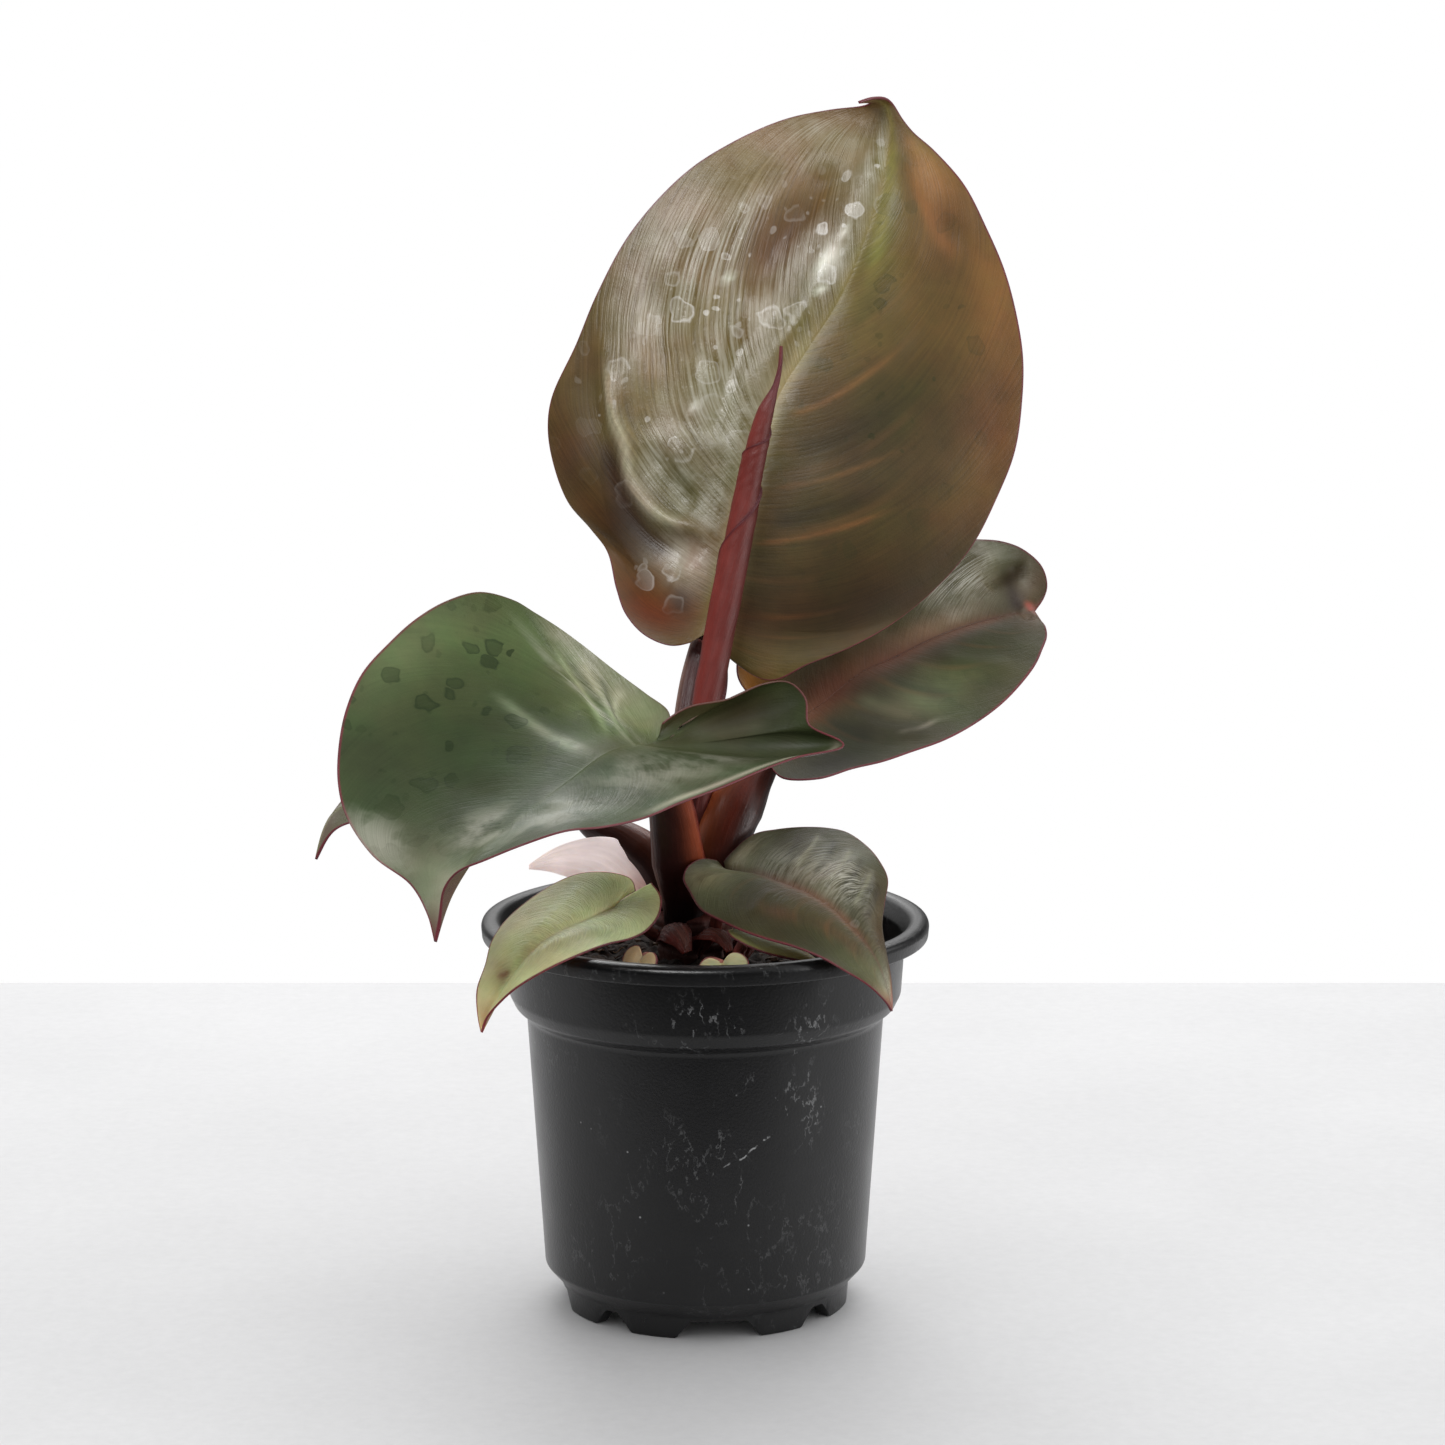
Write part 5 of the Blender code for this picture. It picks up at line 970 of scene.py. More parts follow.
def fold_relief(leaf, index, across, top):
    """Height of the listed folds: a bell of the distance from each fold's line.

    A fold may also let the blade drop on one side, as d squared times
    exp(2 - 2 d) of the distance d over its reach.
    """
    height = np.zeros(across.shape)
    for line, reach, lift, *step in leaf.get("folds", ()):
        gap, ends, low_side = from_line(line, index, across, top)
        height += lift * bell(gap / reach) * ends
        if step:
            drop, far = step
            height += np.where(low_side, drop * (gap / far) ** 2 * np.exp(2 - 2 * gap / far), 0) * ends
    return height


def blade_relief(leaf, index, shares, top, from_rib, from_margin, across, depth):
    """Height over the smooth blade, in millimetres.

    A groove on the midrib, a shallow groove on each side vein, swells between
    veins, and pleats as two sines of the vein number, which fade where the
    veins crowd together.
    """
    vein = vein_number(leaf, index, across)
    steepness = []
    for axis in (0, 1):
        step = np.linalg.norm(np.gradient(top, axis=axis), axis=-1)
        steepness.append(np.gradient(vein, axis=axis) / np.maximum(step, 0.02))
    vein_gap = 1 / np.maximum(np.hypot(*steepness), 0.01)
    room = ease(2.0, 9.0, vein_gap)
    off_vein = np.abs(vein - np.round(vein)) * vein_gap
    inner = ease(0.0, 6.0, from_rib) * ease(0.0, 7.0, from_margin)
    wander = lumps(across * 3.1 + 9, vein * 0.7 + 3, 5)
    height = -(0.1 + 0.6 * leaf["rib_line"][1]) * (1 - 0.8 * shares)[:, None] * bell(from_rib / 1.1)
    pleated = pleated_share(leaf, index[:, None] + across * 0, across)
    height = height - (0.02 + 0.08 * pleated) * room * bell(off_vein / 1.5) * inner
    pleats = (np.sin(2 * np.pi * (2.0 * vein + 0.8 * wander)) * 0.6
              + np.sin(2 * np.pi * (3.1 * vein + 1.1 * wander) + 1.0) * 0.4)
    uneven = 0.55 + 0.45 * lumps(vein * 0.6, across * 2.2 + 7, 8)
    height = height + depth * pleated * room * inner * pleats * uneven
    height = height + fold_relief(leaf, index, across, top) * ease(0.0, 5.0, from_margin)
    return height + 0.5 * room * inner * lumps(vein * 0.5 + 2, across * 1.7 + 4, 11)


def half_places(columns):
    """Places across a half blade, closer together at the midrib and at the margin."""
    return 0.5 - 0.5 * np.cos(np.pi * np.linspace(0, 1, columns))


def there_and_back(over, back, right=None, left=None):
    """Rows round a skin: its upper face, its right margin, its lower face backwards, its left margin."""
    right = over[:, -1:] if right is None else right
    left = back[:, :1] if left is None else left
    return np.concatenate([over, right, back[:, ::-1], left], axis=1)


def ended(rows):
    """The values at all points, the first and last row twice, as those rows are sewn up."""
    rows = np.concatenate([rows[:1], rows, rows[-1:]])
    return rows.reshape(rows.shape[0] * rows.shape[1], -1)


def blade_piece(node, leaf, material, slot, settings, rays_per_row, columns):
    """A blade as one closed skin: upper face, rounded margin and lower face."""
    half = half_places(columns)
    index, shares, top, normals, from_rib, from_margin = blade_surface(leaf, rays_per_row, half)
    across = np.concatenate([-half[::-1], half[1:]])[None] * np.ones_like(from_rib)
    depth = settings.pleat_depth / MM
    relief = blade_relief(leaf, index, shares, top, from_rib, from_margin, across, depth)
    bump = leaf["rib_height"] * (1 - 0.85 * shares)[:, None] * bell(from_rib / leaf["rib_width"])
    thick = settings.thickness / MM
    face = top + normals * relief[..., None]
    under = face - normals * (thick + bump)[..., None]
    middle = (face + under) / 2
    out_left = unit(face[:, 0] - face[:, 2])[:, None] * thick * MARGIN_REACH
    out_right = unit(face[:, -1] - face[:, -3])[:, None] * thick * MARGIN_REACH
    sewn = there_and_back(middle[:1], middle[:1])
    tip = np.broadcast_to(middle[-1:, columns - 1:columns], sewn.shape)
    skin = np.concatenate([
        sewn, there_and_back(face, under, middle[:, -1:] + out_right, middle[:, :1] + out_left), tip])

    row = index[:, None] * np.ones_like(across)
    vein = vein_number(leaf, index, across)
    upper = painted(leaf["base"], leaf["patches"], row, across)
    for line, reach, code, strength in leaf.get("lines", ()):
        gap, ends, _ = from_line(line, index, across, top)
        upper = mixed(upper, code, (strength * bell(gap / reach) * ends)[..., None])
    rib_width = np.maximum(leaf["rib_line"][0] * (1 - 0.75 * shares)[:, None], 0.3)
    along_rib = (bell(from_rib / rib_width) * leaf["rib_line"][1])[..., None]
    upper = mixed(upper, leaf["rib_colour"], along_rib)
    lower = mixed(painted(leaf["under"], (), row, across), leaf["rib_colour"], 0.5 * along_rib)
    margin = settings.margin_width / MM
    edge = (1 - ease(margin * 0.5, margin * 1.6, from_margin))[..., None]
    edge = edge * (1 - spread(leaf, "bare", row, across))[..., None]
    upper = mixed(upper, settings.margin_colour, edge)
    lower = mixed(lower, settings.margin_colour, edge)
    # sheen: where a silvery highlight is painted into the colour and the gloss raised; dull lowers the
    # gloss
    wet, sheen, dull = (spread(leaf, key, row, across) for key in ("wet", "sheen", "dull"))
    width = np.linalg.norm(np.diff(top, axis=1), axis=-1).sum(axis=1)[:, None]
    pleated = (0.15 + 0.85 * pleated_share(leaf, row, across)) * ease(3.0, 18.0, width)
    pattern = np.stack([vein, across], axis=-1)
    plain = np.zeros_like(across)
    values = {"uv": (pattern, pattern), "tint": (upper, lower), "wet": (wet, plain),
              "sheen": (sheen - dull, plain), "pleat": (pleated, pleated)}
    return skin_piece(node + "_skin", skin, material, slot, (node,),
                      **{key: ended(there_and_back(*pair)) for key, pair in values.items()})


def blade_joint(leaf, drop):
    """The point under a blade's joint where its petiole ends, and the way up to the blade."""
    half = half_places(12)
    _, _, top, normals, _, _ = blade_surface(leaf, 2, half)
    up = normals[0, len(half) - 1]
    return top[0, len(half) - 1] - up * drop, up


def ring_frames(path):
    """Two unit vectors square to the path at each point, carried along it without twist."""
    direction = unit(np.gradient(path, axis=0))
    direction[0] = unit(path[1] - path[0])
    direction[-1] = unit(path[-1] - path[-2])
    side = np.zeros_like(path)
    start = np.array([1.0, 0.0, 0.0])
    for row, forward in enumerate(direction):
        start = unit(start - forward * np.dot(start, forward))
        side[row] = start
    return side, np.cross(direction, side)


def tube_rows(path, radius, angle, depth=1.0):
    """Rows of points round a path: the radius is given at each row and angle."""
    side, other = ring_frames(path)
    return (path[:, None] + side[:, None] * (np.cos(angle) * radius)[..., None]
            + other[:, None] * (np.sin(angle) * radius * depth)[..., None])


def closed_rows(rows):
    """The rows with a pole before the first and after the last, so that the tube is closed."""
    first = np.broadcast_to(rows[:1].mean(axis=1, keepdims=True), rows[:1].shape)
    final = np.broadcast_to(rows[-1:].mean(axis=1, keepdims=True), rows[-1:].shape)
    return np.concatenate([first, rows, final])


def tube_piece(name, rows, base, patches, material, slot, stands_for=()):
    """A closed tube from its rows of points, coloured by angle in degrees and share of its length."""
    count, sides = rows.shape[:2]
    turn = np.degrees(full_turn(sides, count))
    share = np.linspace(0, 1, count)[:, None]
    colour = np.broadcast_to(rgb(base), rows.shape)
    for at, reach, place, wide, code, strength in patches:
        off = (turn - at + 180) % 360 - 180
        part = strength * bell(off / reach) * bell((share - place) / wide)
        colour = mixed(colour, code, part[..., None])
    run = run_length(rows.mean(axis=1))[:, None] / PATTERN_LENGTH
    uv = np.stack(np.broadcast_arrays(turn / 360.0, run), axis=-1)
    return skin_piece(name, closed_rows(rows), material, slot, stands_for, uv=ended(uv), tint=ended(colour))


def on_stem_side(turn_deg, height, distance):
    """A point at the given distance from the stem's side, in the given direction."""
    turn = math.radians(turn_deg)
    reach = STEM_RADIUS + distance
    return (STEM_AXIS[0] + reach * math.cos(turn), STEM_AXIS[1] + reach * math.sin(turn), height)


def petiole_piece(key, spec, material, sides=40):
    """A petiole: an oval section with a shallow groove on its upper side, cut on the blade's plane."""
    end, up = blade_joint(BLADES["leaf_%s_blade" % key][0], JOINT_DROP + spec.get("drop", 0))
    if "foot" in spec:
        start = [(*spec["foot"], STEM_TOP - 2.5), (*spec["foot"], STEM_TOP + 4)]
    else:
        turn, height = spec["leaves"]
        start = [on_stem_side(turn, height, -1.5), on_stem_side(turn, height + 0.4, 2.0)]
    points = [*start, *spec["path"], end]
    samples = np.linspace(0, len(points) - 1, 90)
    path = curve_through(points, samples)
    radii = np.interp(samples, np.linspace(0, len(points) - 1, len(spec["radii"])), spec["radii"])
    angle = full_turn(sides, len(path))
    off = (angle - math.radians(spec["groove"]) + np.pi) % (2 * np.pi) - np.pi
    ribs = 0.012 * np.cos(17 * angle) + 0.03 * lumps(angle * 2.2, np.linspace(0, 9, len(path))[:, None], 4)
    shape = 1 - 0.16 * bell(off / 0.42) + 0.05 * bell((np.abs(off) - 0.75) / 0.3) + ribs
    rows = tube_rows(path, radii[:, None] * shape, angle, spec.get("depth", 1.0))
    forward = unit(path[-1] - path[-2])
    rows[-1] += forward * (((path[-1] - rows[-1]) @ up) / (forward @ up))[:, None]
    node = "leaf_%s_petiole" % key
    return tube_piece(node + "_skin", rows, spec["base"], spec["patches"], material, "petiole", (node,))


def rounded(corners, cut, steps=4):
    """A closed outline with each corner turned on a small parabola that starts cut mm before it."""
    corners = np.asarray(corners, float)
    before, after = np.roll(corners, 1, axis=0) - corners, np.roll(corners, -1, axis=0) - corners
    reach_in = np.minimum(cut, 0.45 * np.linalg.norm(before, axis=1))[:, None]
    reach_out = np.minimum(cut, 0.45 * np.linalg.norm(after, axis=1))[:, None]
    start = corners + unit(before) * reach_in
    end = corners + unit(after) * reach_out
    t = np.linspace(0, 1, steps + 1)[None, :, None]
    arcs = (1 - t) ** 2 * start[:, None] + 2 * t * (1 - t) * corners[:, None] + t**2 * end[:, None]
    return arcs.reshape(-1, 2)


def soil_height(x, y):
    """Height of the soil's smooth top: a slight dome with crumbs, as sums of short waves."""
    distance = np.hypot(x, y)
    crumbs = (0.55 * np.sin(0.61 * x + 0.33 * y + 0.7) * np.cos(0.29 * x - 0.57 * y)
              + 0.45 * np.sin(1.13 * x - 0.71 * y + 2.1) + 0.35 * np.cos(0.87 * y + 1.31 * x))
    return SOIL_TOP + 0.8 * np.cos(distance / 25.0) + crumbs


def soil_surface(x, y):
    """The smooth top with three sizes of crumbs on it."""
    rough = (0.55 * lumps(x / 3.1, y / 3.1, 21) + 0.35 * lumps(x / 1.4, y / 1.4, 22)
             + 0.2 * lumps(x / 0.75, y / 0.75, 23))
    return soil_height(x, y) + rough


def heart_leaf(spec):
    """The curves of a small heart-shaped leaf, from its joint, tip and width."""
    joint, tip, left = (np.array(spec[key], float) for key in ("joint", "tip", "left"))
    forward = tip - joint
    left = unit(left - forward * (left @ forward) / (forward @ forward)) * spec["width"] / 2
    sag = np.cross(unit(forward), unit(left)) * 0.08 * spec["width"]
    rib = [joint, joint + forward * 0.35 + sag * 0.8, joint + forward * 0.7 + sag, tip]
    rows = [(share, joint + forward * along + left * wide, joint + forward * along - left * wide)
            for share, along, wide in HEART]
    return {**YOUNG_LEAF, "rib": rib, "rows": rows, "base": spec["base"]}


def colour_setting(name, description, code):
    """A colour that a user may change, from its hex code."""
    return bpy.props.FloatVectorProperty(
        name=name, description=description, default=linear(code), min=0, max=1, subtype="COLOR")


def length_setting(name, description, millimetres, low, high):
    """A length that a user may change, with its limits in millimetres."""
    return bpy.props.FloatProperty(
        name=name, description=description, default=millimetres * MM, min=low * MM, max=high * MM,
        subtype="DISTANCE", unit="LENGTH")


class PotSettings(bpy.types.PropertyGroup):
    rim_radius: length_setting("Rim radius", "Outer radius of the rolled rim", RIM_RADIUS, 30, 120)
    plastic: colour_setting("Plastic", "Colour of the moulded pot", "#070708")
    scuff: colour_setting("Scuffs", "Colour of scratches and dried water marks", "#8c8d8e")


class BladeSettings(bpy.types.PropertyGroup):
    thickness: length_setting("Blade thickness", "Thickness of a leaf blade at its margin", 0.5, 0.2, 1.2)
    margin_width: length_setting("Margin width", "Width of the red line along the margin", 0.24, 0.1, 3)
    pleat_depth: length_setting("Pleat depth", "Height of the pleats between the side veins", 0.09, 0, 1)
    margin_colour: colour_setting("Margin", "Colour of the blade's margin", "#5e222c")
    vein_colour: colour_setting("Side veins", "Colour of the side veins of the bronze leaf", "#8a5230")
    water_mark: colour_setting("Water marks", "Colour of lime left by drops", "#cfccc6")


class CrownSettings(bpy.types.PropertyGroup):
    stem: colour_setting("Stem", "Colour of the short stem's skin", "#4a2a22")
    new_leaf: colour_setting("New leaf", "Colour of the rolled new leaf", "#5a1912")
    new_leaf_margin: colour_setting("New leaf's margin", "Colour of the rolled leaf's margin", "#4a1018")


class SoilSettings(bpy.types.PropertyGroup):
    peat: colour_setting("Peat", "Colour of moist peat", "#2b211b")
    chips: bpy.props.IntProperty(
        name="Bark chips", description="Number of bark chips on the soil", default=420, min=0, max=1500)
    fibres: bpy.props.IntProperty(
        name="Fibres", description="Number of loose coir fibres on the soil", default=70, min=0, max=400)


class StageSettings(bpy.types.PropertyGroup):
    table: colour_setting("Table", "Colour of the pale stone table", "#e2e2e3")
    key_power: bpy.props.FloatProperty(
        name="Key light", description="Power of the large soft light at the upper left", default=12.0,
        min=0, max=500, unit="POWER")


def blade_material(slot, settings):
    """Living leaf cuticle, grown and waxy: a soft gloss broken by fine pleats along the veins.

    The eye sees silvery streaks that follow the veins, which are painted highlights in the colour,
    faint side veins, and drop-shaped lime marks where water dried.
    """
    name, rough, streak, vein_share, mark_dark, level, glow = FINISHES[slot]
    material, tree, shader, place = new_material(name)
    tint = add(tree, "Attribute", out="Color", attribute_name="tint")
    wet = add(tree, "Attribute", out="Fac", attribute_name="wet")
    pattern = add(tree, "UVMap", out="UV", uv_map="pattern")
    vein, across = add(tree, "SeparateXYZ", (pattern,), None)[:2]
    # Veinlets about 0.7 mm apart: 18 to each 13 mm between side veins
    lines = add(tree, "Mapping", {"Vector": pattern, "Scale": (18, 4.5, 1)})
    fine = add(tree, "TexNoise", {"Vector": lines, "Scale": 1, "Detail": 3, "Roughness": 0.6})
    folds = add(tree, "Mapping", {"Vector": pattern, "Scale": (4.5, 1.1, 1)})
    broad = add(tree, "TexNoise", {"Vector": folds, "Scale": 1, "Detail": 2})
    off_vein = add(tree, "Math", (vein, 0.5), operation="PINGPONG")
    on_vein = add(tree, "MapRange", (off_vein, 0, 0.15, 1, 0), interpolation_type="SMOOTHSTEP")
    # Cloudy shade in spots of about 12 mm, and cells of the skin drawn at 0.5 mm, coarser than real
    cloud = add(tree, "TexNoise", {"Vector": place, "Scale": 85, "Detail": 4, "Roughness": 0.6})
    grain = add(tree, "TexNoise", {"Vector": place, "Scale": 1900, "Detail": 2})
    streaky = add(tree, "Math", (fine, 0.5), operation="SUBTRACT")
    pleat = add(tree, "Attribute", out="Fac", attribute_name="pleat")
    lean = add(tree, "Math", (pleat, 0.6 * streak, 0.4 * streak), operation="MULTIPLY_ADD")
    shade = add(tree, "Math", (streaky, lean, 1), operation="MULTIPLY_ADD")
    shade = add(tree, "Math", (cloud, 0.7, shade), operation="MULTIPLY_ADD")
    shade = add(tree, "Math", (shade, 0.35), operation="SUBTRACT")
    shaded = add(tree, "VectorMath", {0: tint, "Scale": shade}, operation="SCALE")
    # Blotches of 8 to 20 mm, some redder and some greener than the rest
    blotch = add(tree, "TexNoise", {"Vector": place, "Scale": 62, "Detail": 3, "Roughness": 0.55})
    blotch = add(tree, "MapRange", (blotch, 0.36, 0.64))
    hue = blend_colour(tree, blotch, (1.05, 0.97, 0.92), (0.93, 1.06, 0.9))
    shaded = blend_colour(tree, 1, shaded, hue, "MULTIPLY")
    vein_fade = add(tree, "Math", (on_vein, blotch), operation="MULTIPLY")
    # Side veins show on the right half, from the midrib out to two thirds of it
    side = add(tree, "Math", (across, 0.34), operation="SUBTRACT")
    side = add(tree, "Math", (side,), operation="ABSOLUTE")
    side = add(tree, "MapRange", (side, 0.1, 0.4, vein_share, 0), interpolation_type="SMOOTHSTEP")
    vein_fade = add(tree, "Math", (vein_fade, side), operation="MULTIPLY")
    veined = blend_colour(tree, vein_fade, shaded, settings.vein_colour)
    sheen = add(tree, "Attribute", out="Fac", attribute_name="sheen")
    # Painted highlight: silver lies in streaks where the blade is pleated and in clouds where it is smooth,
    # as strong as the sheen
    painted_silver = add(tree, "MapRange", (fine, 0.43, 0.6))
    smoky = add(tree, "MapRange", (cloud, 0.42, 0.58))
    painted_silver = add(tree, "Mix", {0: pleat, 2: smoky, 3: painted_silver})
    painted_silver = add(tree, "Math", (painted_silver, sheen), operation="MULTIPLY", use_clamp=True)
    veined = blend_colour(tree, painted_silver, veined, PAINTED_SILVER_SHEEN)
    # Dried drops up to 8 mm across, in most of the cells of 8 mm
    bent = add(tree, "TexNoise", {"Vector": place, "Scale": 230, "Detail": 1}, "Color")
    bent = add(tree, "VectorMath", {0: bent, "Scale": 0.004}, operation="SCALE")
    bent = add(tree, "VectorMath", (place, bent), operation="ADD")
    cell = add(tree, "TexVoronoi", {"Vector": bent, "Scale": 128}, None)
    pick = add(tree, "SeparateColor", (cell["Color"],), None)
    size = add(tree, "MapRange", (pick[0], 0, 1, -0.1, 0.52))
    inside = add(tree, "Math", (size, cell["Distance"]), operation="SUBTRACT")
    drop = add(tree, "MapRange", (inside, 0, 0.05))
    ring = add(tree, "MapRange", (inside, 0.05, 0.14, 1, 0.15))
    filled = add(tree, "MapRange", (pick[2], 0.7, 0.85, 0, 0.7))
    ring = add(tree, "Math", (ring, filled), operation="MAXIMUM")
    # Splashes of up to 2.7 mm between them, dried all through
    splash = add(tree, "TexVoronoi", {"Vector": bent, "Scale": 330}, None)
    rare = add(tree, "SeparateColor", (splash["Color"],))
    rare = add(tree, "MapRange", (rare, 0.72, 1, 0, 0.45))
    splash = add(tree, "Math", (rare, splash["Distance"]), operation="SUBTRACT")
    splash = add(tree, "MapRange", (splash, 0, 0.08, 0, 0.8))
    ring = add(tree, "Math", (drop, ring), operation="MULTIPLY")
    rim = add(tree, "Math", (ring, splash), operation="MAXIMUM")
    rim = add(tree, "Math", (rim, wet), operation="MULTIPLY")
    chance = add(tree, "MapRange", (pick[1], 0, 1, 0.2))
    rim = add(tree, "Math", (rim, chance), operation="MULTIPLY")
    soaked = add(tree, "Math", (drop, splash), operation="MAXIMUM")
    soaked = add(tree, "Math", (soaked, wet), operation="MULTIPLY")
    dark = add(tree, "Math", (ring, 0.5, 0.5), operation="MULTIPLY_ADD")
    dark = add(tree, "Math", (soaked, dark), operation="MULTIPLY")
    # Drops leave pale lime on the left half of a bronze blade, and dark spots on its right half
    right = add(tree, "MapRange", (across, -0.02, 0.12, mark_dark, max(mark_dark, 0.7)))
    dark = add(tree, "Math", (dark, right), operation="MULTIPLY")
    spotted = blend_colour(tree, dark, veined, DARK_SPOT)
    pale = add(tree, "Math", (0.7, right), operation="SUBTRACT", use_clamp=True)
    pale = add(tree, "Math", (rim, pale), operation="MULTIPLY")
    limed = blend_colour(tree, pale, spotted, settings.water_mark)
    gloss = add(tree, "Math", (fine, 0.16, rough - 0.08), operation="MULTIPLY_ADD")
    gloss = add(tree, "Math", (soaked, -0.1, gloss), operation="MULTIPLY_ADD")
    gloss = add(tree, "Math", (sheen, -0.16, gloss), operation="MULTIPLY_ADD")
    dull = add(tree, "MapRange", (sheen, -1, 0, 0.2, 0))
    gloss = add(tree, "Math", (gloss, dull), operation="ADD")
    height = add(tree, "Math", (fine, 1.1, broad), operation="MULTIPLY_ADD")
    height = add(tree, "Math", (height, pleat), operation="MULTIPLY")
    height = add(tree, "Math", (grain, 0.12, height), operation="MULTIPLY_ADD")
    height = add(tree, "Math", (cloud, 0.9, height), operation="MULTIPLY_ADD")
    relief = add(tree, "Bump", {"Height": height, "Strength": 1, "Distance": 0.00035})
    fill(tree, shader, {"Base Color": limed, "Roughness": gloss, "Normal": relief, "IOR": TISSUE_IOR,
                        "Specular IOR Level": level, **thin_tissue(glow)})
    shine = add(tree, "MapRange", (sheen, -1, 0, 0.25 * level, level))
    fill(tree, shader, {"Specular IOR Level": shine})
    return material


def thin_tissue(share):
    """Shader values for thin tissue: light passes through it and spreads about 3 mm, red furthest."""
    return {"Subsurface Weight": share, "Subsurface Radius": (1.0, 0.6, 0.35), "Subsurface Scale": 3 * MM}


def fibre_material(name, rough, streak, depth, marks=0.0, glow=0.0, level=0.5):
    """Plant skin, grown with its fibres lengthwise, as on stems and sheaths: satin, with fine streaks."""
    material, tree, shader, place = new_material(name)
    tint = add(tree, "Attribute", out="Color", attribute_name="tint")
    pattern = add(tree, "UVMap", out="UV", uv_map="pattern")
    # Fibres 0.4 to 0.8 mm wide and about 11 mm long
    lines = add(tree, "Mapping", {"Vector": pattern, "Scale": (38, 0.9, 1)})
    fine = add(tree, "TexNoise", {"Vector": lines, "Scale": 1, "Detail": 4, "Roughness": 0.65})
    cloud = add(tree, "TexNoise", {"Vector": place, "Scale": 160, "Detail": 4})
    grain = add(tree, "TexNoise", {"Vector": place, "Scale": 1500, "Detail": 2})
    shade = add(tree, "Math", (fine, streak, 1 - 0.5 * streak), operation="MULTIPLY_ADD")
    shade = add(tree, "Math", (cloud, 0.7, shade), operation="MULTIPLY_ADD")
    shade = add(tree, "Math", (shade, 0.35), operation="SUBTRACT")
    shaded = add(tree, "VectorMath", {0: tint, "Scale": shade}, operation="SCALE")
    fleck = add(tree, "MapRange", (grain, 0.68, 0.78))
    fleck = add(tree, "Math", (fleck, marks), operation="MULTIPLY")
    flecked = blend_colour(tree, fleck, shaded, FLECK)
    gloss = add(tree, "Math", (cloud, 0.2, rough - 0.1), operation="MULTIPLY_ADD")
    height = add(tree, "Math", (grain, 0.25, fine), operation="MULTIPLY_ADD")
    relief = add(tree, "Bump", {"Height": height, "Strength": 1, "Distance": depth})
    fill(tree, shader, {"Base Color": flecked, "Roughness": gloss, "Normal": relief, "IOR": TISSUE_IOR,
                        "Specular IOR Level": level, **thin_tissue(glow)})
    return material


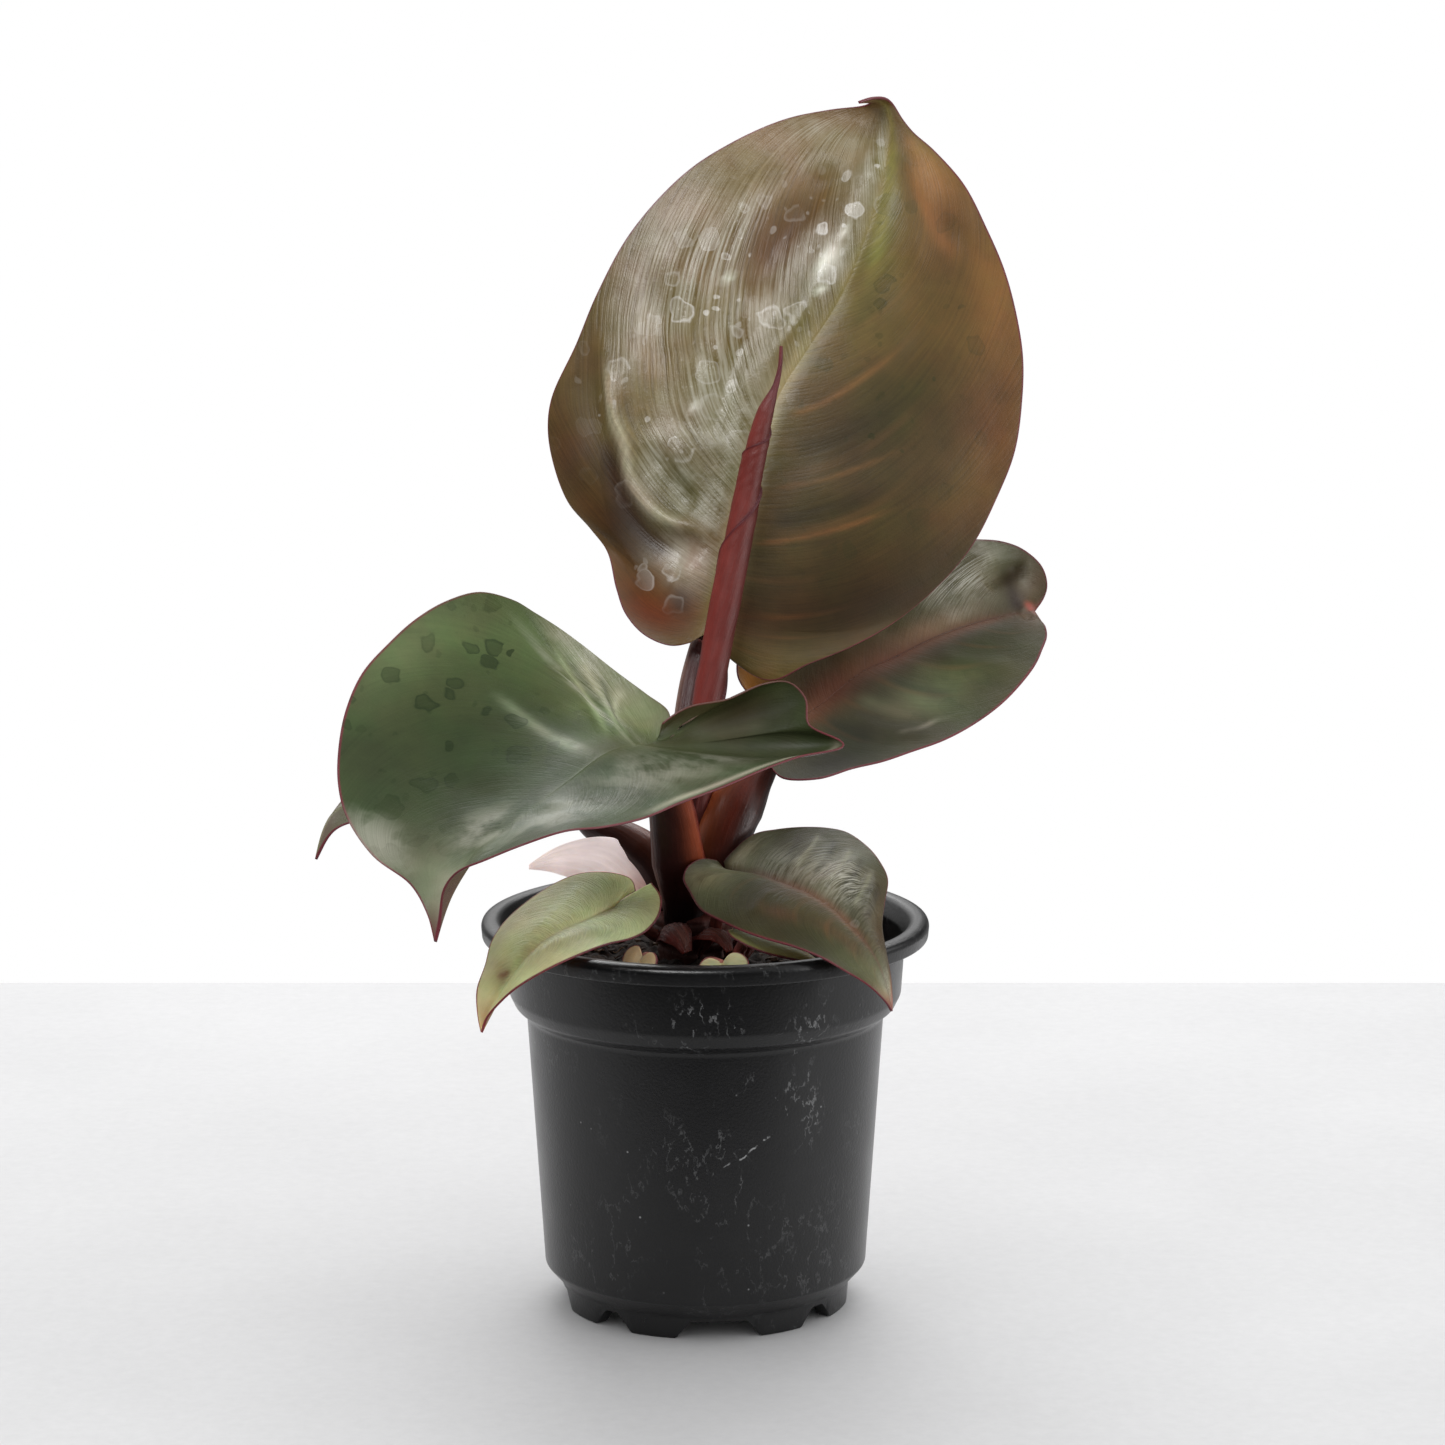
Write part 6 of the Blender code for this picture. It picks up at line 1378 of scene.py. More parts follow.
def plastic_material(settings):
    """Injection-moulded polypropylene, black: satin skin, scratched, with dried water marks and dust."""
    material, tree, shader, place = new_material("moulded_polypropylene")
    cloud = add(tree, "TexNoise", {"Vector": place, "Scale": 70, "Detail": 5, "Roughness": 0.6})
    # Water runs: contour lines of a noise stretched down the wall, 0.3 mm wide
    tall = add(tree, "Mapping", {"Vector": place, "Scale": (1, 1, 0.55)})
    wave = add(tree, "TexNoise", {"Vector": tall, "Scale": 130, "Detail": 6, "Roughness": 0.62})
    off = add(tree, "Math", (wave, 0.52), operation="SUBTRACT")
    off = add(tree, "Math", (off,), operation="ABSOLUTE")
    line = add(tree, "MapRange", (off, 0.004, 0.014, 1, 0))
    # The runs are worn to strokes of a few millimetres
    stroke = add(tree, "TexNoise", {"Vector": tall, "Scale": 620, "Detail": 3})
    stroke = add(tree, "MapRange", (stroke, 0.44, 0.54))
    line = add(tree, "Math", (line, stroke), operation="MULTIPLY")
    where = add(tree, "TexNoise", {"Vector": place, "Scale": 38, "Detail": 3})
    where = add(tree, "MapRange", (where, 0.42, 0.6))
    # Most marks lie on the front right wall
    spot = add(tree, "Mapping", {
        "Vector": place, "Location": (-0.5, 1.1, -1.5), "Scale": (18, 18, 20)})
    spot = add(tree, "TexGradient", {"Vector": spot}, gradient_type="QUADRATIC_SPHERE")
    spot = add(tree, "MapRange", (spot, 0, 0.35, 0.18))
    mark = add(tree, "Math", (line, where), operation="MULTIPLY")
    mark = add(tree, "Math", (mark, spot), operation="MULTIPLY")
    # One long scratch on the front wall, from 8 mm right and 46 mm up to 22 mm right and 55 mm up
    along = add(tree, "VectorMath", (place, (0.841, 0, 0.541)), "Value", operation="DOT_PRODUCT")
    aside = add(tree, "VectorMath", (place, (-0.541, 0, 0.841)), "Value", operation="DOT_PRODUCT")
    bend = add(tree, "Math", (wave, 0.004, aside), operation="MULTIPLY_ADD")
    aside = add(tree, "Math", (bend, 0.0364), operation="SUBTRACT")
    aside = add(tree, "Math", (aside,), operation="ABSOLUTE")
    aside = add(tree, "MapRange", (aside, 0.0001, 0.0003, 1, 0))
    along = add(tree, "Math", (along, 0.04), operation="SUBTRACT")
    along = add(tree, "Math", (along,), operation="ABSOLUTE")
    along = add(tree, "MapRange", (along, 0.005, 0.009, 1, 0))
    scratch = add(tree, "Math", (along, aside), operation="MULTIPLY")
    scratch = add(tree, "Math", (scratch, stroke), operation="MULTIPLY")
    mark = add(tree, "Math", (scratch, mark), operation="MAXIMUM")
    # Dust specks, drawn at 0.5 mm
    speck = add(tree, "TexVoronoi", {"Vector": place, "Scale": 330}, None)
    near = add(tree, "MapRange", (speck["Distance"], 0.04, 0.12, 1, 0))
    chosen = add(tree, "SeparateColor", (speck["Color"],))
    chosen = add(tree, "MapRange", (chosen, 0.88, 0.96))
    dust = add(tree, "Math", (near, chosen), operation="MULTIPLY")
    film = add(tree, "MapRange", (cloud, 0.45, 0.8, 0, 0.01))
    pale = add(tree, "Math", (mark, dust), operation="ADD")
    pale = add(tree, "Math", (pale, 0.75, film), operation="MULTIPLY_ADD", use_clamp=True)
    colour = blend_colour(tree, pale, settings.plastic, settings.scuff)
    gloss = add(tree, "Math", (cloud, 0.16, 0.22), operation="MULTIPLY_ADD")
    gloss = add(tree, "Math", (mark, 0.3, gloss), operation="MULTIPLY_ADD")
    skin = add(tree, "TexNoise", {"Vector": place, "Scale": 1400, "Detail": 3})
    height = add(tree, "Math", (cloud, 1.2, skin), operation="MULTIPLY_ADD")
    relief = add(tree, "Bump", {"Height": height, "Strength": 0.5, "Distance": 0.00012})
    fill(tree, shader, {"Base Color": colour, "Roughness": gloss, "Normal": relief, "IOR": PLASTIC_IOR})
    return material


def soil_material(name, cells_per_metre, colour=None):
    """Moist peat, or pine bark in each chip's own tone: nearly black brown, dull, with paler crumbs."""
    material, tree, shader, place = new_material(name)
    tint = colour or add(tree, "Attribute", out="Color", attribute_name="tint")
    crumb = add(tree, "TexVoronoi", {"Vector": place, "Scale": cells_per_metre}, "Color")
    pick = add(tree, "SeparateColor", (crumb,))
    cloud = add(tree, "TexNoise", {
        "Vector": place, "Scale": 0.4 * cells_per_metre, "Detail": 6, "Roughness": 0.7})
    shade = add(tree, "Math", (pick, 0.8, cloud), operation="MULTIPLY_ADD")
    shaded = add(tree, "VectorMath", {0: tint, "Scale": shade}, operation="SCALE")
    relief = add(tree, "Bump", {"Height": cloud, "Strength": 1, "Distance": 0.0008})
    fill(tree, shader, {"Base Color": shaded, "Roughness": 0.92, "Normal": relief, "IOR": SOIL_IOR})
    return material


class PLANT_OT_pot(bpy.types.Operator):
    """Make the nursery pot"""
    bl_idname = "plant.pot"
    bl_label = "Nursery pot"

    def execute(self, context):
        settings = context.scene.plant_pot
        grow = settings.rim_radius / MM - RIM_RADIUS
        turn = np.arange(360.0)
        stands = np.interp((turn - FIRST_GAP_DEG) % 90, FOOT_EDGES, FOOT_HEIGHTS)
        rim, collar, top = RIM_RADIUS + grow, COLLAR[0] + grow, POT_HEIGHT
        outline = rounded([
            (FOOT_INNER, 0), (SKIRT[0] - 0.1, 0), SKIRT, BODY_FOOT, BODY_TOP,
            (46.4, 76.9), (48.9, 78.9), (50.4, 82.0), (collar, COLLAR[1]),
            (collar + 0.1, 98.2), (rim - 1.6, 98.4), (rim - 1.4, 96.6),
            (rim - 0.3, 96.4), (rim, 99.6), (rim - 0.5, 100.7),
            (rim - 1.9, top), (rim - 3.9, top), (rim - 5.0, 100.6),
            (collar - 0.9, 96.5), (49.4, 82.4), (48.1, 79.8), (BODY_TOP[0] - WALL + 0.3, 77.4),
            (BODY_TOP[0] - WALL, 75.8), (BODY_FOOT[0] - WALL, 11.4), (BODY_FOOT[0] - 2.1, 8.6),
            (SKIRT[0] + 0.9, FLOOR_TOP), (CENTRE_DRAIN, FLOOR_TOP), (CENTRE_DRAIN, FLOOR_UNDER),
            (FOOT_INNER - 0.8, FLOOR_UNDER)], 0.6)
        radius, height = (np.tile(outline[:, axis], (len(turn), 1)) for axis in (0, 1))
        # Between feet, what lies below the floor is folded up to it
        low = np.clip(1 - height / FLOOR_UNDER, 0, 1) * (radius > FOOT_INNER - 1)
        height = height + low * (1 - stands)[:, None] * (FLOOR_UNDER - height)
        angle = np.radians(turn)[:, None]
        points = np.stack([radius * np.cos(angle), radius * np.sin(angle), height], axis=-1)
        pot = skin_piece("pot_shell", np.concatenate([points, points[:1]]), plastic_material(settings),
                         "pot_plastic", ("pot",))
        pot.data.set_sharp_from_angle(angle=math.radians(50))
        self.drill(pot)
        return {"FINISHED"}

    def drill(self, pot):
        """Four round drain holes through the floor, each a cylinder taken away."""
        turn = full_turn(32)[0]
        tools = []
        for quarter in range(4):
            at = math.radians(FIRST_GAP_DEG + 90 * quarter)
            ring = np.stack([DRAIN_CIRCLE * math.cos(at) + DRAIN_RADIUS * np.cos(turn),
                             DRAIN_CIRCLE * math.sin(at) + DRAIN_RADIUS * np.sin(turn), 0 * turn], axis=-1)
            skin = closed_rows(np.stack([ring + (0, 0, FLOOR_UNDER - 1.5), ring + (0, 0, FLOOR_TOP + 1.5)]))
            mesh = bpy.data.meshes.new("drain")
            mesh.from_pydata(((skin.reshape(-1, 3) + POT_AXIS) * MM).tolist(), [],
                             grid_quads(len(skin), len(turn), ring=True).tolist())
            sew(mesh)
            tools.append(place_object("drain_tool_%d" % quarter, mesh))
            change = pot.modifiers.new("drain", "BOOLEAN")
            change.object = tools[-1]
            change.operation = "DIFFERENCE"
            change.solver = "EXACT"
        bpy.context.view_layer.update()
        graph = bpy.context.evaluated_depsgraph_get()
        result = bpy.data.meshes.new_from_object(pot.evaluated_get(graph))
        pot.modifiers.clear()
        pot.data = result
        for tool in tools:
            bpy.data.objects.remove(tool, do_unlink=True)


class PLANT_OT_soil(bpy.types.Operator):
    """Make the potting mix with its bark chips and fibres"""
    bl_idname = "plant.soil"
    bl_label = "Potting mix"

    def execute(self, context):
        settings = context.scene.plant_soil
        turn = full_turn(256)
        reach = np.linspace(SOIL_RADIUS, 0, 78)[:, None]
        x, y = reach * np.cos(turn), reach * np.sin(turn)
        top = np.stack([x, y, soil_surface(x, y)], axis=-1)
        radius, height = SOIL_WALL[:, :1], SOIL_WALL[:, 1:]
        side = np.stack([radius * np.cos(turn), radius * np.sin(turn), height + 0 * turn], axis=-1)
        peat = soil_material("moist_peat", 900.0, tuple(settings.peat))
        skin_piece("soil_peat", closed_rows(np.concatenate([side, top])), peat, "soil", ("soil",))
        bark = soil_material("pine_bark", 700.0)
        self.scatter(settings.chips, bark)
        self.strew(settings.fibres, bark)
        return {"FINISHED"}

    def repeated(self, name, shapes, faces, material, codes, chance):
        """One piece of many like shapes, each in one of the tones, picked by chance."""
        count, each = shapes.shape[:2]
        faces = (faces + each * np.arange(count)[:, None, None]).reshape(-1, faces.shape[1])
        tones = np.array([linear(code) for code in codes])
        tint = np.repeat(tones[chance.randint(0, len(codes), count)], each, axis=0)
        return make_piece(name, shapes, faces, material, "soil", tint=tint)

    def scatter(self, count, material):
        """Bark chips: one rough pebble of 24 faces, repeated along a sunflower spiral.

        Chance bends each pebble's points, and turns, tilts and sizes it.
        """
        chance = np.random.RandomState(7)
        number = np.arange(count)
        reach = CHIP_INNER + CHIP_BAND * np.sqrt((number + 0.5) / count)
        turn = number * GOLDEN_ANGLE + chance.uniform(-0.2, 0.2, count)
        x, y = reach * np.cos(turn), reach * np.sin(turn)
        around = full_turn(6)[0]
        low = np.stack([np.cos(around), np.sin(around), 0 * around - 0.45], axis=-1)
        high = np.stack([0.8 * np.cos(around + 0.3), 0.8 * np.sin(around + 0.3), 0 * around + 0.5], axis=-1)
        pebble = np.concatenate([[[0, 0, -0.7]], low, high, [[0, 0, 0.75]]])
        at = np.arange(6) + 1
        after = at % 6 + 1
        faces = np.concatenate([np.stack(np.broadcast_arrays(*corners), axis=-1) for corners in (
            (0, after, at), (at, after, after + 6), (at, after + 6, at + 6), (at + 6, after + 6, 13))])
        shapes = pebble * (1 + chance.uniform(-0.28, 0.28, (count, *pebble.shape)))
        size = chance.uniform(0.5, 1.0, (count, 1)) ** 2 * CHIP_SIZE
        spin = chance.uniform(0, 2 * np.pi, (count, 1))
        tilt = chance.uniform(-0.5, 0.5, (count, 1))
        a, b, h = np.moveaxis(shapes * size[:, None], -1, 0)
        a, h = a * np.cos(tilt) - h * np.sin(tilt), a * np.sin(tilt) + h * np.cos(tilt)
        points = np.stack([a * np.cos(spin) - b * np.sin(spin) + x[:, None],
                           a * np.sin(spin) + b * np.cos(spin) + y[:, None],
                           h + (soil_surface(x, y) + 0.25)[:, None]], axis=-1)
        chips = self.repeated("soil_bark_chips", points, faces, material, CHIP_TONES, chance)
        chips.data.set_sharp_from_angle(angle=math.radians(35))

    def strew(self, count, material):
        """Coir fibres: thin six-sided tubes along short bent lines that lie on the soil."""
        chance = np.random.RandomState(3)
        steps = np.linspace(-1, 1, 9)[None]
        reach = FIBRE_INNER + FIBRE_BAND * np.sqrt(chance.uniform(0, 1, (count, 1)))
        turn = chance.uniform(0, 2 * np.pi, (count, 1))
        heading = chance.uniform(0, 2 * np.pi, (count, 1)) + chance.uniform(-0.9, 0.9, (count, 1)) * steps
        half = chance.uniform(2.0, 6.0, (count, 1))
        x = reach * np.cos(turn) + half * steps * np.cos(heading)
        y = reach * np.sin(turn) + half * steps * np.sin(heading)
        shrink = np.minimum(1.0, FIBRE_LIMIT / np.hypot(x, y))
        x, y = x * shrink, y * shrink
        z = soil_surface(x, y) + 0.9 * (1 - steps**2) * chance.uniform(0, 1, (count, 1)) + 0.12
        path = np.stack([x, y, z], axis=-1)
        forward = unit(np.gradient(path, axis=1))
        side = unit(np.cross(forward, (0, 0, 1)))
        other = np.cross(side, forward)
        around = full_turn(6).T
        thick = FIBRE_RADIUS * (1 - 0.6 * steps**2)[..., None, None]
        rows = path[:, :, None] + thick * (
            side[:, :, None] * np.cos(around) + other[:, :, None] * np.sin(around))
        first, last = (np.repeat(path[:, None, [at]], 6, axis=2) for at in (0, -1))
        rows = np.concatenate([first, rows, last], axis=1)
        self.repeated("soil_fibres", rows.reshape(count, -1, 3), grid_quads(11, 6, ring=True), material,
                      FIBRE_TONES, chance)


class PLANT_OT_crown(bpy.types.Operator):
    """Make the stem with its roots"""
    bl_idname = "plant.crown"
    bl_label = "Stem and roots"

    def execute(self, context):
        material = fibre_material("stem_skin", 0.55, 0.7, 0.0004, 0.4)
        profile = [(3.2, STEM_FOOT, 0), (7.6, STEM_FOOT + 3, 0), (8.9, 68, 0), (9.1, 80, 0), (9.2, 93, 0),
                   (STEM_RADIUS, 97.5, 0), (STEM_RADIUS, 101.6, 0), (STEM_RADIUS - 1.4, STEM_TOP, 0),
                   (3.0, STEM_TOP + 0.4, 0)]
        line = curve_through(profile, np.linspace(0, len(profile) - 1, 110))
        radius, height = line[:, :1], line[:, 1:2]
        angle = full_turn(96, len(line))
        # Leaf scars: rings that tilt and wander round the stem
        ring = height / SCAR_STEP + 0.25 * np.sin(angle + 1.0) + 0.12 * np.sin(3 * angle)
        shown = ease(88, 92, height) * ease(103.2, 101.5, height)
        scars = -0.35 * bell((ring - np.round(ring)) / 0.16) * shown
        bulk = 0.35 * lumps(angle * 3 / np.pi * 2, height / 3.0, 31)
        radius = radius + (scars + bulk) * ease(3, 6, radius)
        rows = np.stack([STEM_AXIS[0] + np.cos(angle) * radius, STEM_AXIS[1] + np.sin(angle) * radius,
                         height + 0 * angle], axis=-1)
        patches = ((-90, 90, 0.85, 0.12, "#6b3028", 0.7), (90, 90, 0.85, 0.12, "#5a4030", 0.6))
        tube_piece("stem_skin", rows, context.scene.plant_crown.stem, patches, material, "stem", ("stem",))
        for number in range(ROOT_COUNT):
            turn = 2 * math.pi * (number + 0.3) / ROOT_COUNT + ROOT_SWAY * (1 if number % 2 else -1)
            path = np.stack([STEM_AXIS[0] + ROOT_REACH * np.cos(turn),
                             STEM_AXIS[1] + ROOT_REACH * np.sin(turn),
                             ROOT_START - 2.2 * (number % 3) - ROOT_DROP], axis=-1)
            samples = np.linspace(0, len(path) - 1, 30)
            angle = full_turn(12, len(samples))
            thick = np.interp(samples, np.arange(len(path)), ROOT_RADII)[:, None]
            rough = 1 + 0.08 * lumps(angle * 2, samples[:, None] * 4, 9)
            rows = tube_rows(curve_through(path, samples), thick * rough, angle)
            tube_piece("stem_root_%d" % (number + 1), rows, "#8a6a4c", (), material, "stem")
        return {"FINISHED"}


class PLANT_OT_blades(bpy.types.Operator):
    """Make the six leaf blades"""
    bl_idname = "plant.blades"
    bl_label = "Leaf blades"

    def execute(self, context):
        settings = context.scene.plant_blades
        finishes = {slot: blade_material(slot, settings) for slot in FINISHES if slot != "leaf_juvenile"}
        for node, (leaf, slot, rays, columns) in BLADES.items():
            blade_piece(node, leaf, finishes[slot], slot, settings, rays, columns)
        return {"FINISHED"}


class PLANT_OT_petioles(bpy.types.Operator):
    """Make the six petioles"""
    bl_idname = "plant.petioles"
    bl_label = "Petioles"

    def execute(self, context):
        material = fibre_material("petiole_skin", 0.36, 0.7, 0.00015, glow=0.2, level=0.35)
        for key, spec in PETIOLES.items():
            petiole_piece(key, spec, material)
        return {"FINISHED"}


class PLANT_OT_new_leaf(bpy.types.Operator):
    """Make the new leaf, still rolled"""
    bl_idname = "plant.new_leaf"
    bl_label = "Rolled new leaf"

    def execute(self, context):
        """The roll's radius falls by 13 percent round its turn, and a lip stands at the seam."""
        settings = context.scene.plant_crown
        last = len(SPEAR_PATH) - 1
        samples = np.linspace(0, last, 260)
        path = curve_through(SPEAR_PATH, samples)
        path[0, 2] = STEM_TOP - 1.5
        height = path[:, 2:]
        radii = np.interp(samples, np.arange(last + 1), SPEAR_RADII)[:, None]
        seam = np.radians(np.interp(height, *zip(*SEAM)))
        wound = full_turn(72, len(path))
        reach = wound * radii
        shrink = 1 - 0.13 * wound / (2 * np.pi)
        lip = 0.22 * bell(reach / 0.5) * np.minimum(radii, 3) / 3
        swell = 0.02 * lumps(wound * 1.6, samples[:, None] * 2.0, 12)
        foot = ease(0, 0.02, samples / last)[:, None]
        rows = tube_rows(path, radii * (shrink + swell) * foot + lip + 0.05, wound + seam)
        # Painted light and shade: the roll is up to 40 percent lighter on one side and as much darker on
        # the other
        painted_lit_side = np.cos(wound + seam - math.radians(205))[..., None]
        colour = rgb(settings.new_leaf) * (1 + 0.4 * painted_lit_side)
        colour = mixed(colour, "#5a2c26", 0.45 * ease(150, 110, height)[..., None])
        edge = np.clip(bell(reach / 0.55) + bell((2 * np.pi * radii - reach) / 0.5), 0, 1)
        colour = mixed(colour, settings.new_leaf_margin, (edge * ease(120, 160, height))[..., None])
        colour = mixed(colour, "#5c2028", 0.6 * ease(228, 236, height)[..., None])
        run = run_length(path)[:, None] / PATTERN_LENGTH
        uv = np.stack(np.broadcast_arrays((wound + 0.6 * seam) / (2 * np.pi), run), axis=-1)
        material = fibre_material("rolled_leaf_skin", 0.48, 0.45, 0.00016)
        skin_piece("leaf_new_spear_skin", closed_rows(rows), material, "leaf_new", ("leaf_new_spear",),
                   uv=ended(uv), tint=ended(colour))
        return {"FINISHED"}


class PLANT_OT_sheaths(bpy.types.Operator):
    """Make the pale sheath and the dried ones"""
    bl_idname = "plant.sheaths"
    bl_label = "Sheaths"

    def execute(self, context):
        pale = fibre_material("papery_sheath", 0.6, 0.15, 0.00008, glow=0.3)
        # Painted glow: the sheath's own colour is emitted, for the bright room behind that shines through
        # so thin a sheath
        shader = pale.node_tree.nodes["Principled BSDF"]
        fill(pale.node_tree, shader, {
            "Emission Color": shader.inputs["Base Color"].links[0].from_socket, "Emission Strength": 0.42})
        dry = fibre_material("dried_sheath", 0.3, 1.3, 0.0005, 0.5)
        for number, (name, spec) in enumerate(SHEATHS.items()):
            finish, slot = (pale, "sheath_pale") if "pale" in name else (dry, "sheath_dry")
            self.strip(name, spec, finish, slot, number)
        return {"FINISHED"}

    def strip(self, name, spec, material, slot, seed):
        """A strip along its centre line: trough section, ribs lengthwise and, when dry, crumpled."""
        path = [on_stem_side(*spec["leaves"], -0.6), *spec["path"]]
        samples = np.linspace(0, len(path) - 1, 60)
        centre = curve_through(path, samples)
        half = np.interp(samples, np.arange(len(path)), spec["half_widths"])[:, None]
        forward = unit(np.gradient(centre, axis=0))
        opens = np.array(spec["opens"])
        opens = unit(opens - forward * (forward @ opens)[:, None])
        v = np.linspace(-1, 1, 33)[None]
        share = (samples / samples[-1])[:, None]
        dry = 0.0 if slot == "sheath_pale" else 1.0
        ragged = 1 + 0.07 * dry * lumps(share * 14, v * 0 + seed * 3.3, 40 + seed) * np.abs(v)
        lift = spec["trough"] * (half / max(spec["half_widths"])) * v**2
        crumple = 0.45 * dry * lumps(share * 6, v * 2.5 + seed * 7, 50 + seed) * ease(0, 0.2, share)
        ribs = 0.10 * np.cos(v * 22 + 2 * lumps(share * 3, v * 2, 60)) * half / 4
        grid = (centre[:, None] + np.cross(forward, opens)[:, None] * (half * v * ragged)[..., None]
                + opens[:, None] * (lift + crumple + ribs)[..., None])
        lower = grid - grid_normals(grid) * SHEATH_THICKNESS
        middle = (grid + lower) / 2
        out_left = unit(grid[:, 0] - grid[:, 1])[:, None] * SHEATH_EDGE
        out_right = unit(grid[:, -1] - grid[:, -2])[:, None] * SHEATH_EDGE
        skin = np.concatenate([
            there_and_back(middle[:1], middle[:1]),
            there_and_back(grid, lower, middle[:, -1:] + out_right, middle[:, :1] + out_left),
            there_and_back(middle[-1:], middle[-1:])])
        streak = 1 + (0.06 + 0.2 * dry) * lumps(v * 9, share * 1.5, 70 + seed)
        along, across = np.broadcast_arrays(share, v)
        colour = painted(spec["base"], spec["patches"], along, across) * streak[..., None]
        uv = np.stack([v * half / 9.0 + 3, along * 3.0], axis=-1)
        skin_piece(name + "_skin", skin, material, slot, (name,),
                   uv=ended(there_and_back(uv, uv)), tint=ended(there_and_back(colour, colour)))


class PLANT_OT_juveniles(bpy.types.Operator):
    """Make the three small leaves inside the rim"""
    bl_idname = "plant.juveniles"
    bl_label = "Small leaves"

    def execute(self, context):
        settings = context.scene.plant_blades
        blade = blade_material("leaf_juvenile", settings)
        stalk = fibre_material("young_petiole_skin", 0.45, 0.5, 0.00012)
        for name, spec in JUVENILES.items():
            leaf = heart_leaf(spec)
            blade_piece(name + "_blade", leaf, blade, "leaf_juvenile", settings, 6, 16)
            x, y, over_soil = spec["foot"]
            ground = float(soil_height(x, y)) + over_soil
            points = [(x, y, ground - 1.5), (x, y, ground + 1.5), spec["bend"], blade_joint(leaf, 0.7)[0]]
            path = curve_through(points, np.linspace(0, 3, 40))
            angle = full_turn(20, len(path))
            radius = JUVENILE_PETIOLE * (1 + 0.06 * lumps(angle * 2, path[:, 2:] / 2, 6))
            tube_piece(name + "_petiole_skin", tube_rows(path, radius, angle), "#7a2a28",
                       ((0, 400, 1.0, 0.25, "#a07060", 0.6),), stalk, "petiole", (name + "_petiole",))
        return {"FINISHED"}


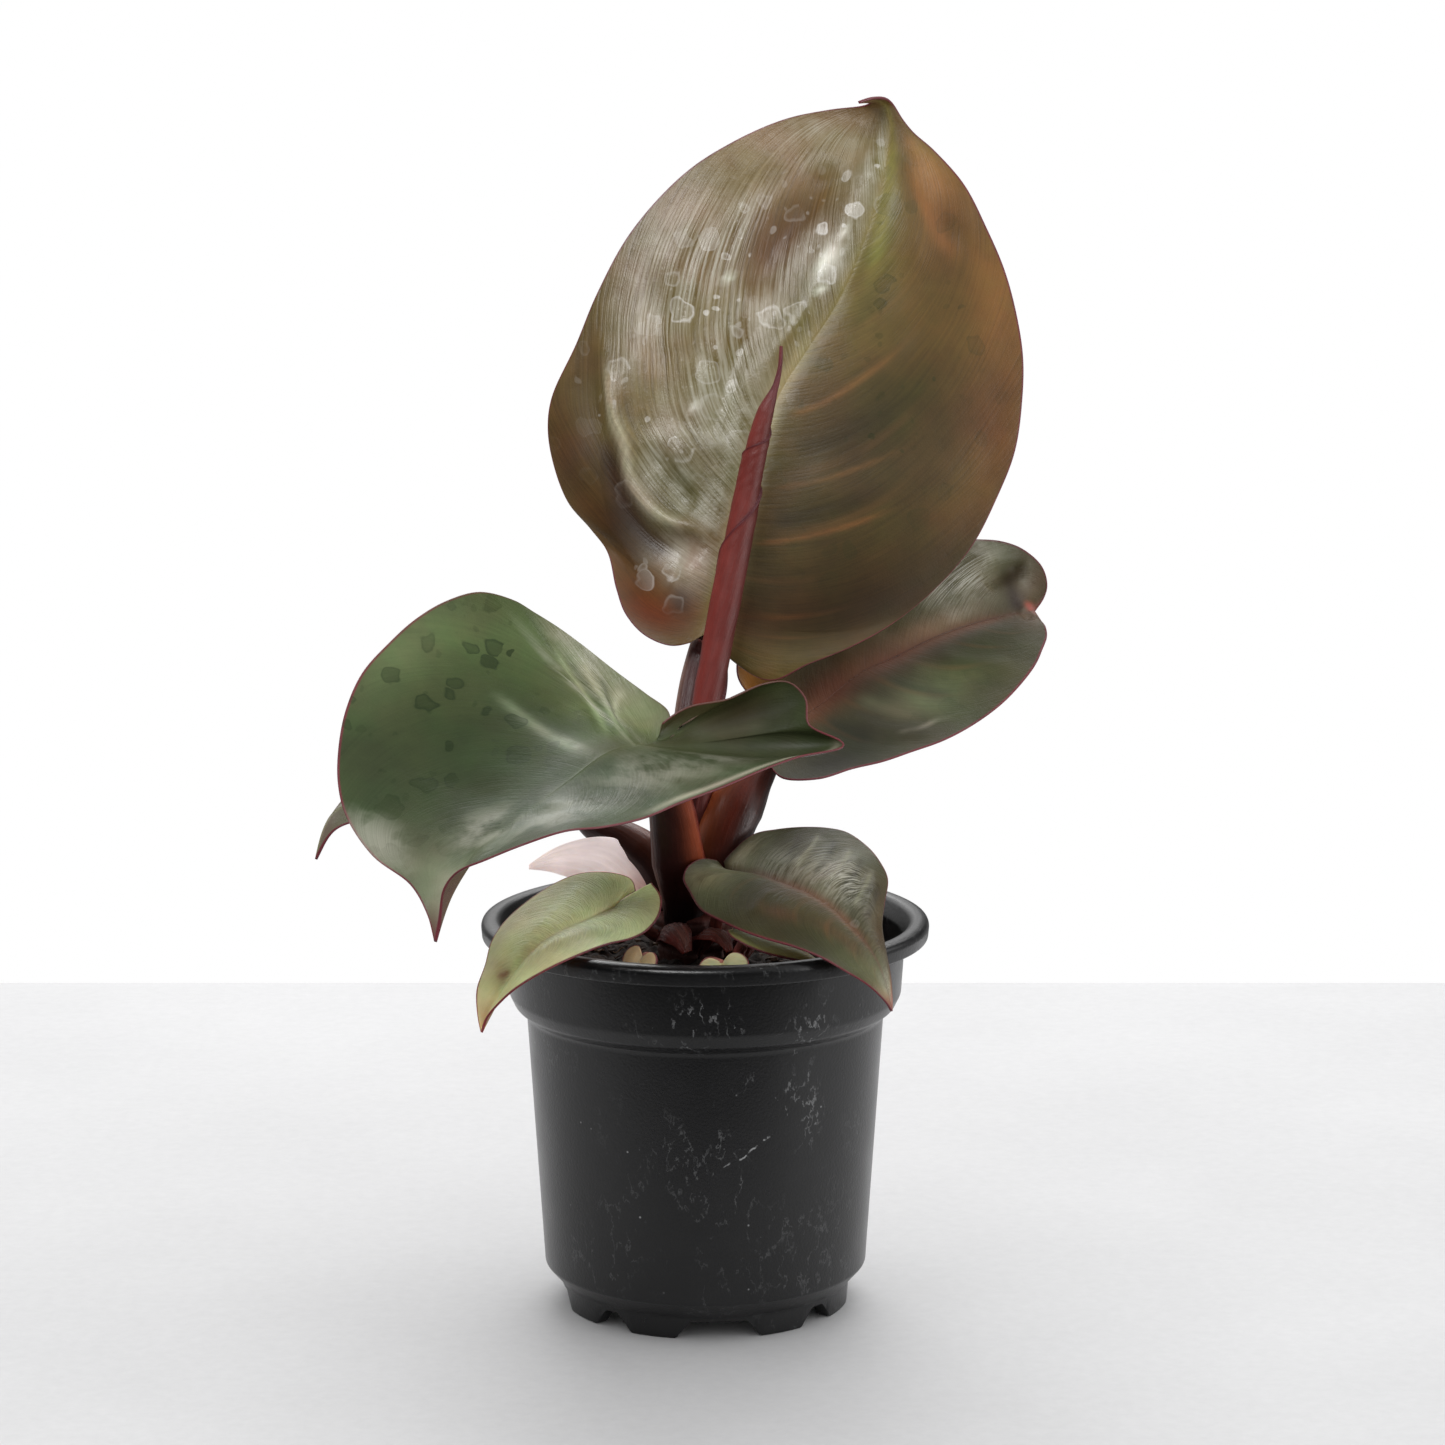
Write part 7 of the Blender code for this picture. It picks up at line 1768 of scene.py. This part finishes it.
class PLANT_OT_stage(bpy.types.Operator):
    """Make the table, the soft light and the camera"""
    bl_idname = "plant.stage"
    bl_label = "Studio stage"

    def execute(self, context):
        settings = context.scene.plant_stage
        material, tree, shader, place = new_material("pale_stone_table")
        cloud = add(tree, "TexNoise", {"Vector": place, "Scale": 9, "Detail": 6, "Roughness": 0.6})
        speck = add(tree, "TexNoise", {"Vector": place, "Scale": 260, "Detail": 5, "Roughness": 0.7})
        shade = add(tree, "Math", (cloud, 0.16, 0.92), operation="MULTIPLY_ADD")
        shade = add(tree, "Math", (speck, 0.14, shade), operation="MULTIPLY_ADD")
        shade = add(tree, "Math", (shade, 0.15), operation="SUBTRACT")
        # Painted shade, seen only in reflections: the floor darkens from 100 to 240 mm in front of the pot,
        # as in an unlit studio
        near = add(tree, "SeparateXYZ", (place,), 1)
        near = add(tree, "MapRange", (near, -0.24, -0.1, 0.85, 0))
        mirrored = add(tree, "LightPath", out="Is Glossy Ray")
        near = add(tree, "Math", (near, mirrored), operation="MULTIPLY")
        near = add(tree, "Math", (1, near), operation="SUBTRACT")
        shade = add(tree, "Math", (shade, near), operation="MULTIPLY")
        shaded = add(tree, "VectorMath", {0: settings.table, "Scale": shade}, operation="SCALE")
        fill(tree, shader, {"Base Color": shaded, "Roughness": 0.6})
        mesh = bpy.data.meshes.new("stage_table")
        xs, ys, zs = (np.array(ends) * MM for ends in zip(TABLE_LOW, TABLE_HIGH))
        mesh.from_pydata([(x, y, z) for z in zs for y in ys for x in xs], [], [
            (0, 2, 3, 1), (4, 5, 7, 6), (0, 1, 5, 4), (2, 6, 7, 3), (0, 4, 6, 2), (1, 3, 7, 5)])
        mesh.materials.append(material)
        table = place_object("stage_table", mesh)
        self.light(settings.key_power, table)
        self.surround()
        self.camera()
        return {"FINISHED"}

    def light(self, power, table):
        """A key light at the upper left in front, a strip at the right, and a light behind.

        The last alone lights the table, and casts the shadow.
        """
        spared = bpy.data.collections.new("spared_by_front_lamps")
        spared.objects.link(table)
        spared.collection_objects[0].light_linking.link_state = "EXCLUDE"
        for name, (place, target, size, share) in LAMPS.items():
            lamp = bpy.data.lights.new(name, "AREA")
            lamp.shape = "RECTANGLE"
            lamp.size, lamp.size_y = size
            lamp.energy = power * share
            item = place_object(name, lamp)
            away = unit(np.array(place) - np.array(target))
            item.location = place
            item.rotation_euler = (math.acos(away[2]), 0.0, math.atan2(away[0], -away[1]))
            item.visible_camera = False
            if name != "back":
                item.light_linking.receiver_collection = spared

    def surround(self):
        """A white room: bright behind the plant and at its right, dim in front.

        What surfaces mirror of it is darker in front and overhead.
        """
        world = bpy.data.worlds.new("white_room")
        bpy.context.scene.world = world
        world.use_nodes = True
        tree = world.node_tree
        tree.nodes.clear()
        way = add(tree, "TexCoord", out="Generated")
        parts = add(tree, "SeparateXYZ", (way,), None)
        soft = add(tree, "Math", (parts[0], 0.35, parts[1]), operation="MULTIPLY_ADD")
        soft = add(tree, "MapRange", (soft, -0.7, 0.35, 0.62, 1.25))
        sharp = add(tree, "Math", (parts[0], 0.6, parts[1]), operation="MULTIPLY_ADD")
        sharp = add(tree, "MapRange", (sharp, -0.5, 0.25, 0.03, 1.6), interpolation_type="SMOOTHSTEP")
        top = add(tree, "MapRange", (parts[2], 0.55, 0.9, 1, 0.3))
        sharp = add(tree, "Math", (sharp, top), operation="MULTIPLY")
        # A dark screen stands behind at the right, and the wall is dim near the table
        screen = add(tree, "VectorMath", (way, (0.4895, 0.7538, 0.4384)), "Value", operation="DOT_PRODUCT")
        screen = add(tree, "MapRange", (screen, 0.87, 0.94, 1, 0.1))
        sharp = add(tree, "Math", (sharp, screen), operation="MULTIPLY")
        low = add(tree, "MapRange", (parts[2], 0.14, 0.36, 0.15))
        sharp = add(tree, "Math", (sharp, low), operation="MULTIPLY")
        ray = add(tree, "LightPath", out=None)
        power = add(tree, "Mix", {0: ray["Is Glossy Ray"], 2: soft, 3: sharp})
        lit = add(tree, "Background", {"Color": (1, 1, 1, 1), "Strength": power})
        seen = add(tree, "Background", {"Color": (1, 1, 1, 1), "Strength": 1})
        both = add(tree, "MixShader", (ray["Is Camera Ray"], lit, seen))
        add(tree, "OutputWorld", {"Surface": both}, None)
        bpy.context.scene.view_settings.view_transform = "Standard"

    def camera(self):
        """The photographer's place: 1.1 m in front and 357 mm up, with a long lens tilted down."""
        lens = bpy.data.cameras.new("camera")
        lens.lens = CAMERA_LENS
        lens.sensor_width = 36.0
        lens.clip_start = 0.05
        lens.clip_end = 20.0
        item = place_object("camera", lens)
        item.location = (np.array(CAMERA_PLACE) + POT_AXIS) * MM
        item.rotation_euler = (math.radians(90 - CAMERA_TILT_DEG), 0.0, 0.0)
        bpy.context.scene.camera = item


class PLANT_PT_panel(bpy.types.Panel):
    """The pieces of the plant, in the order in which they are made"""
    bl_idname = "PLANT_PT_panel"
    bl_label = "Potted plant"
    bl_space_type = "VIEW_3D"
    bl_region_type = "UI"
    bl_category = "Plant"

    def draw(self, context):
        for name in STEPS:
            self.layout.operator("plant." + name)
        for group in GROUPS:
            settings = getattr(context.scene, group)
            for key in settings.bl_rna.properties.keys():
                if key not in ("rna_type", "name"):
                    self.layout.prop(settings, key)


GROUPS = {"plant_pot": PotSettings, "plant_blades": BladeSettings, "plant_crown": CrownSettings,
          "plant_soil": SoilSettings, "plant_stage": StageSettings}
CLASSES = (*GROUPS.values(), PLANT_OT_pot, PLANT_OT_soil, PLANT_OT_crown, PLANT_OT_petioles,
           PLANT_OT_blades, PLANT_OT_new_leaf, PLANT_OT_sheaths, PLANT_OT_juveniles, PLANT_OT_stage,
           PLANT_PT_panel)


def register():
    for kind in CLASSES:
        bpy.utils.register_class(kind)
    for name, kind in GROUPS.items():
        setattr(bpy.types.Scene, name, bpy.props.PointerProperty(type=kind))


def unregister():
    for name in GROUPS:
        delattr(bpy.types.Scene, name)
    for kind in reversed(CLASSES):
        bpy.utils.unregister_class(kind)


def main():
    register()
    for name in STEPS:
        getattr(bpy.ops.plant, name)()


if __name__ == "__main__":
    main()
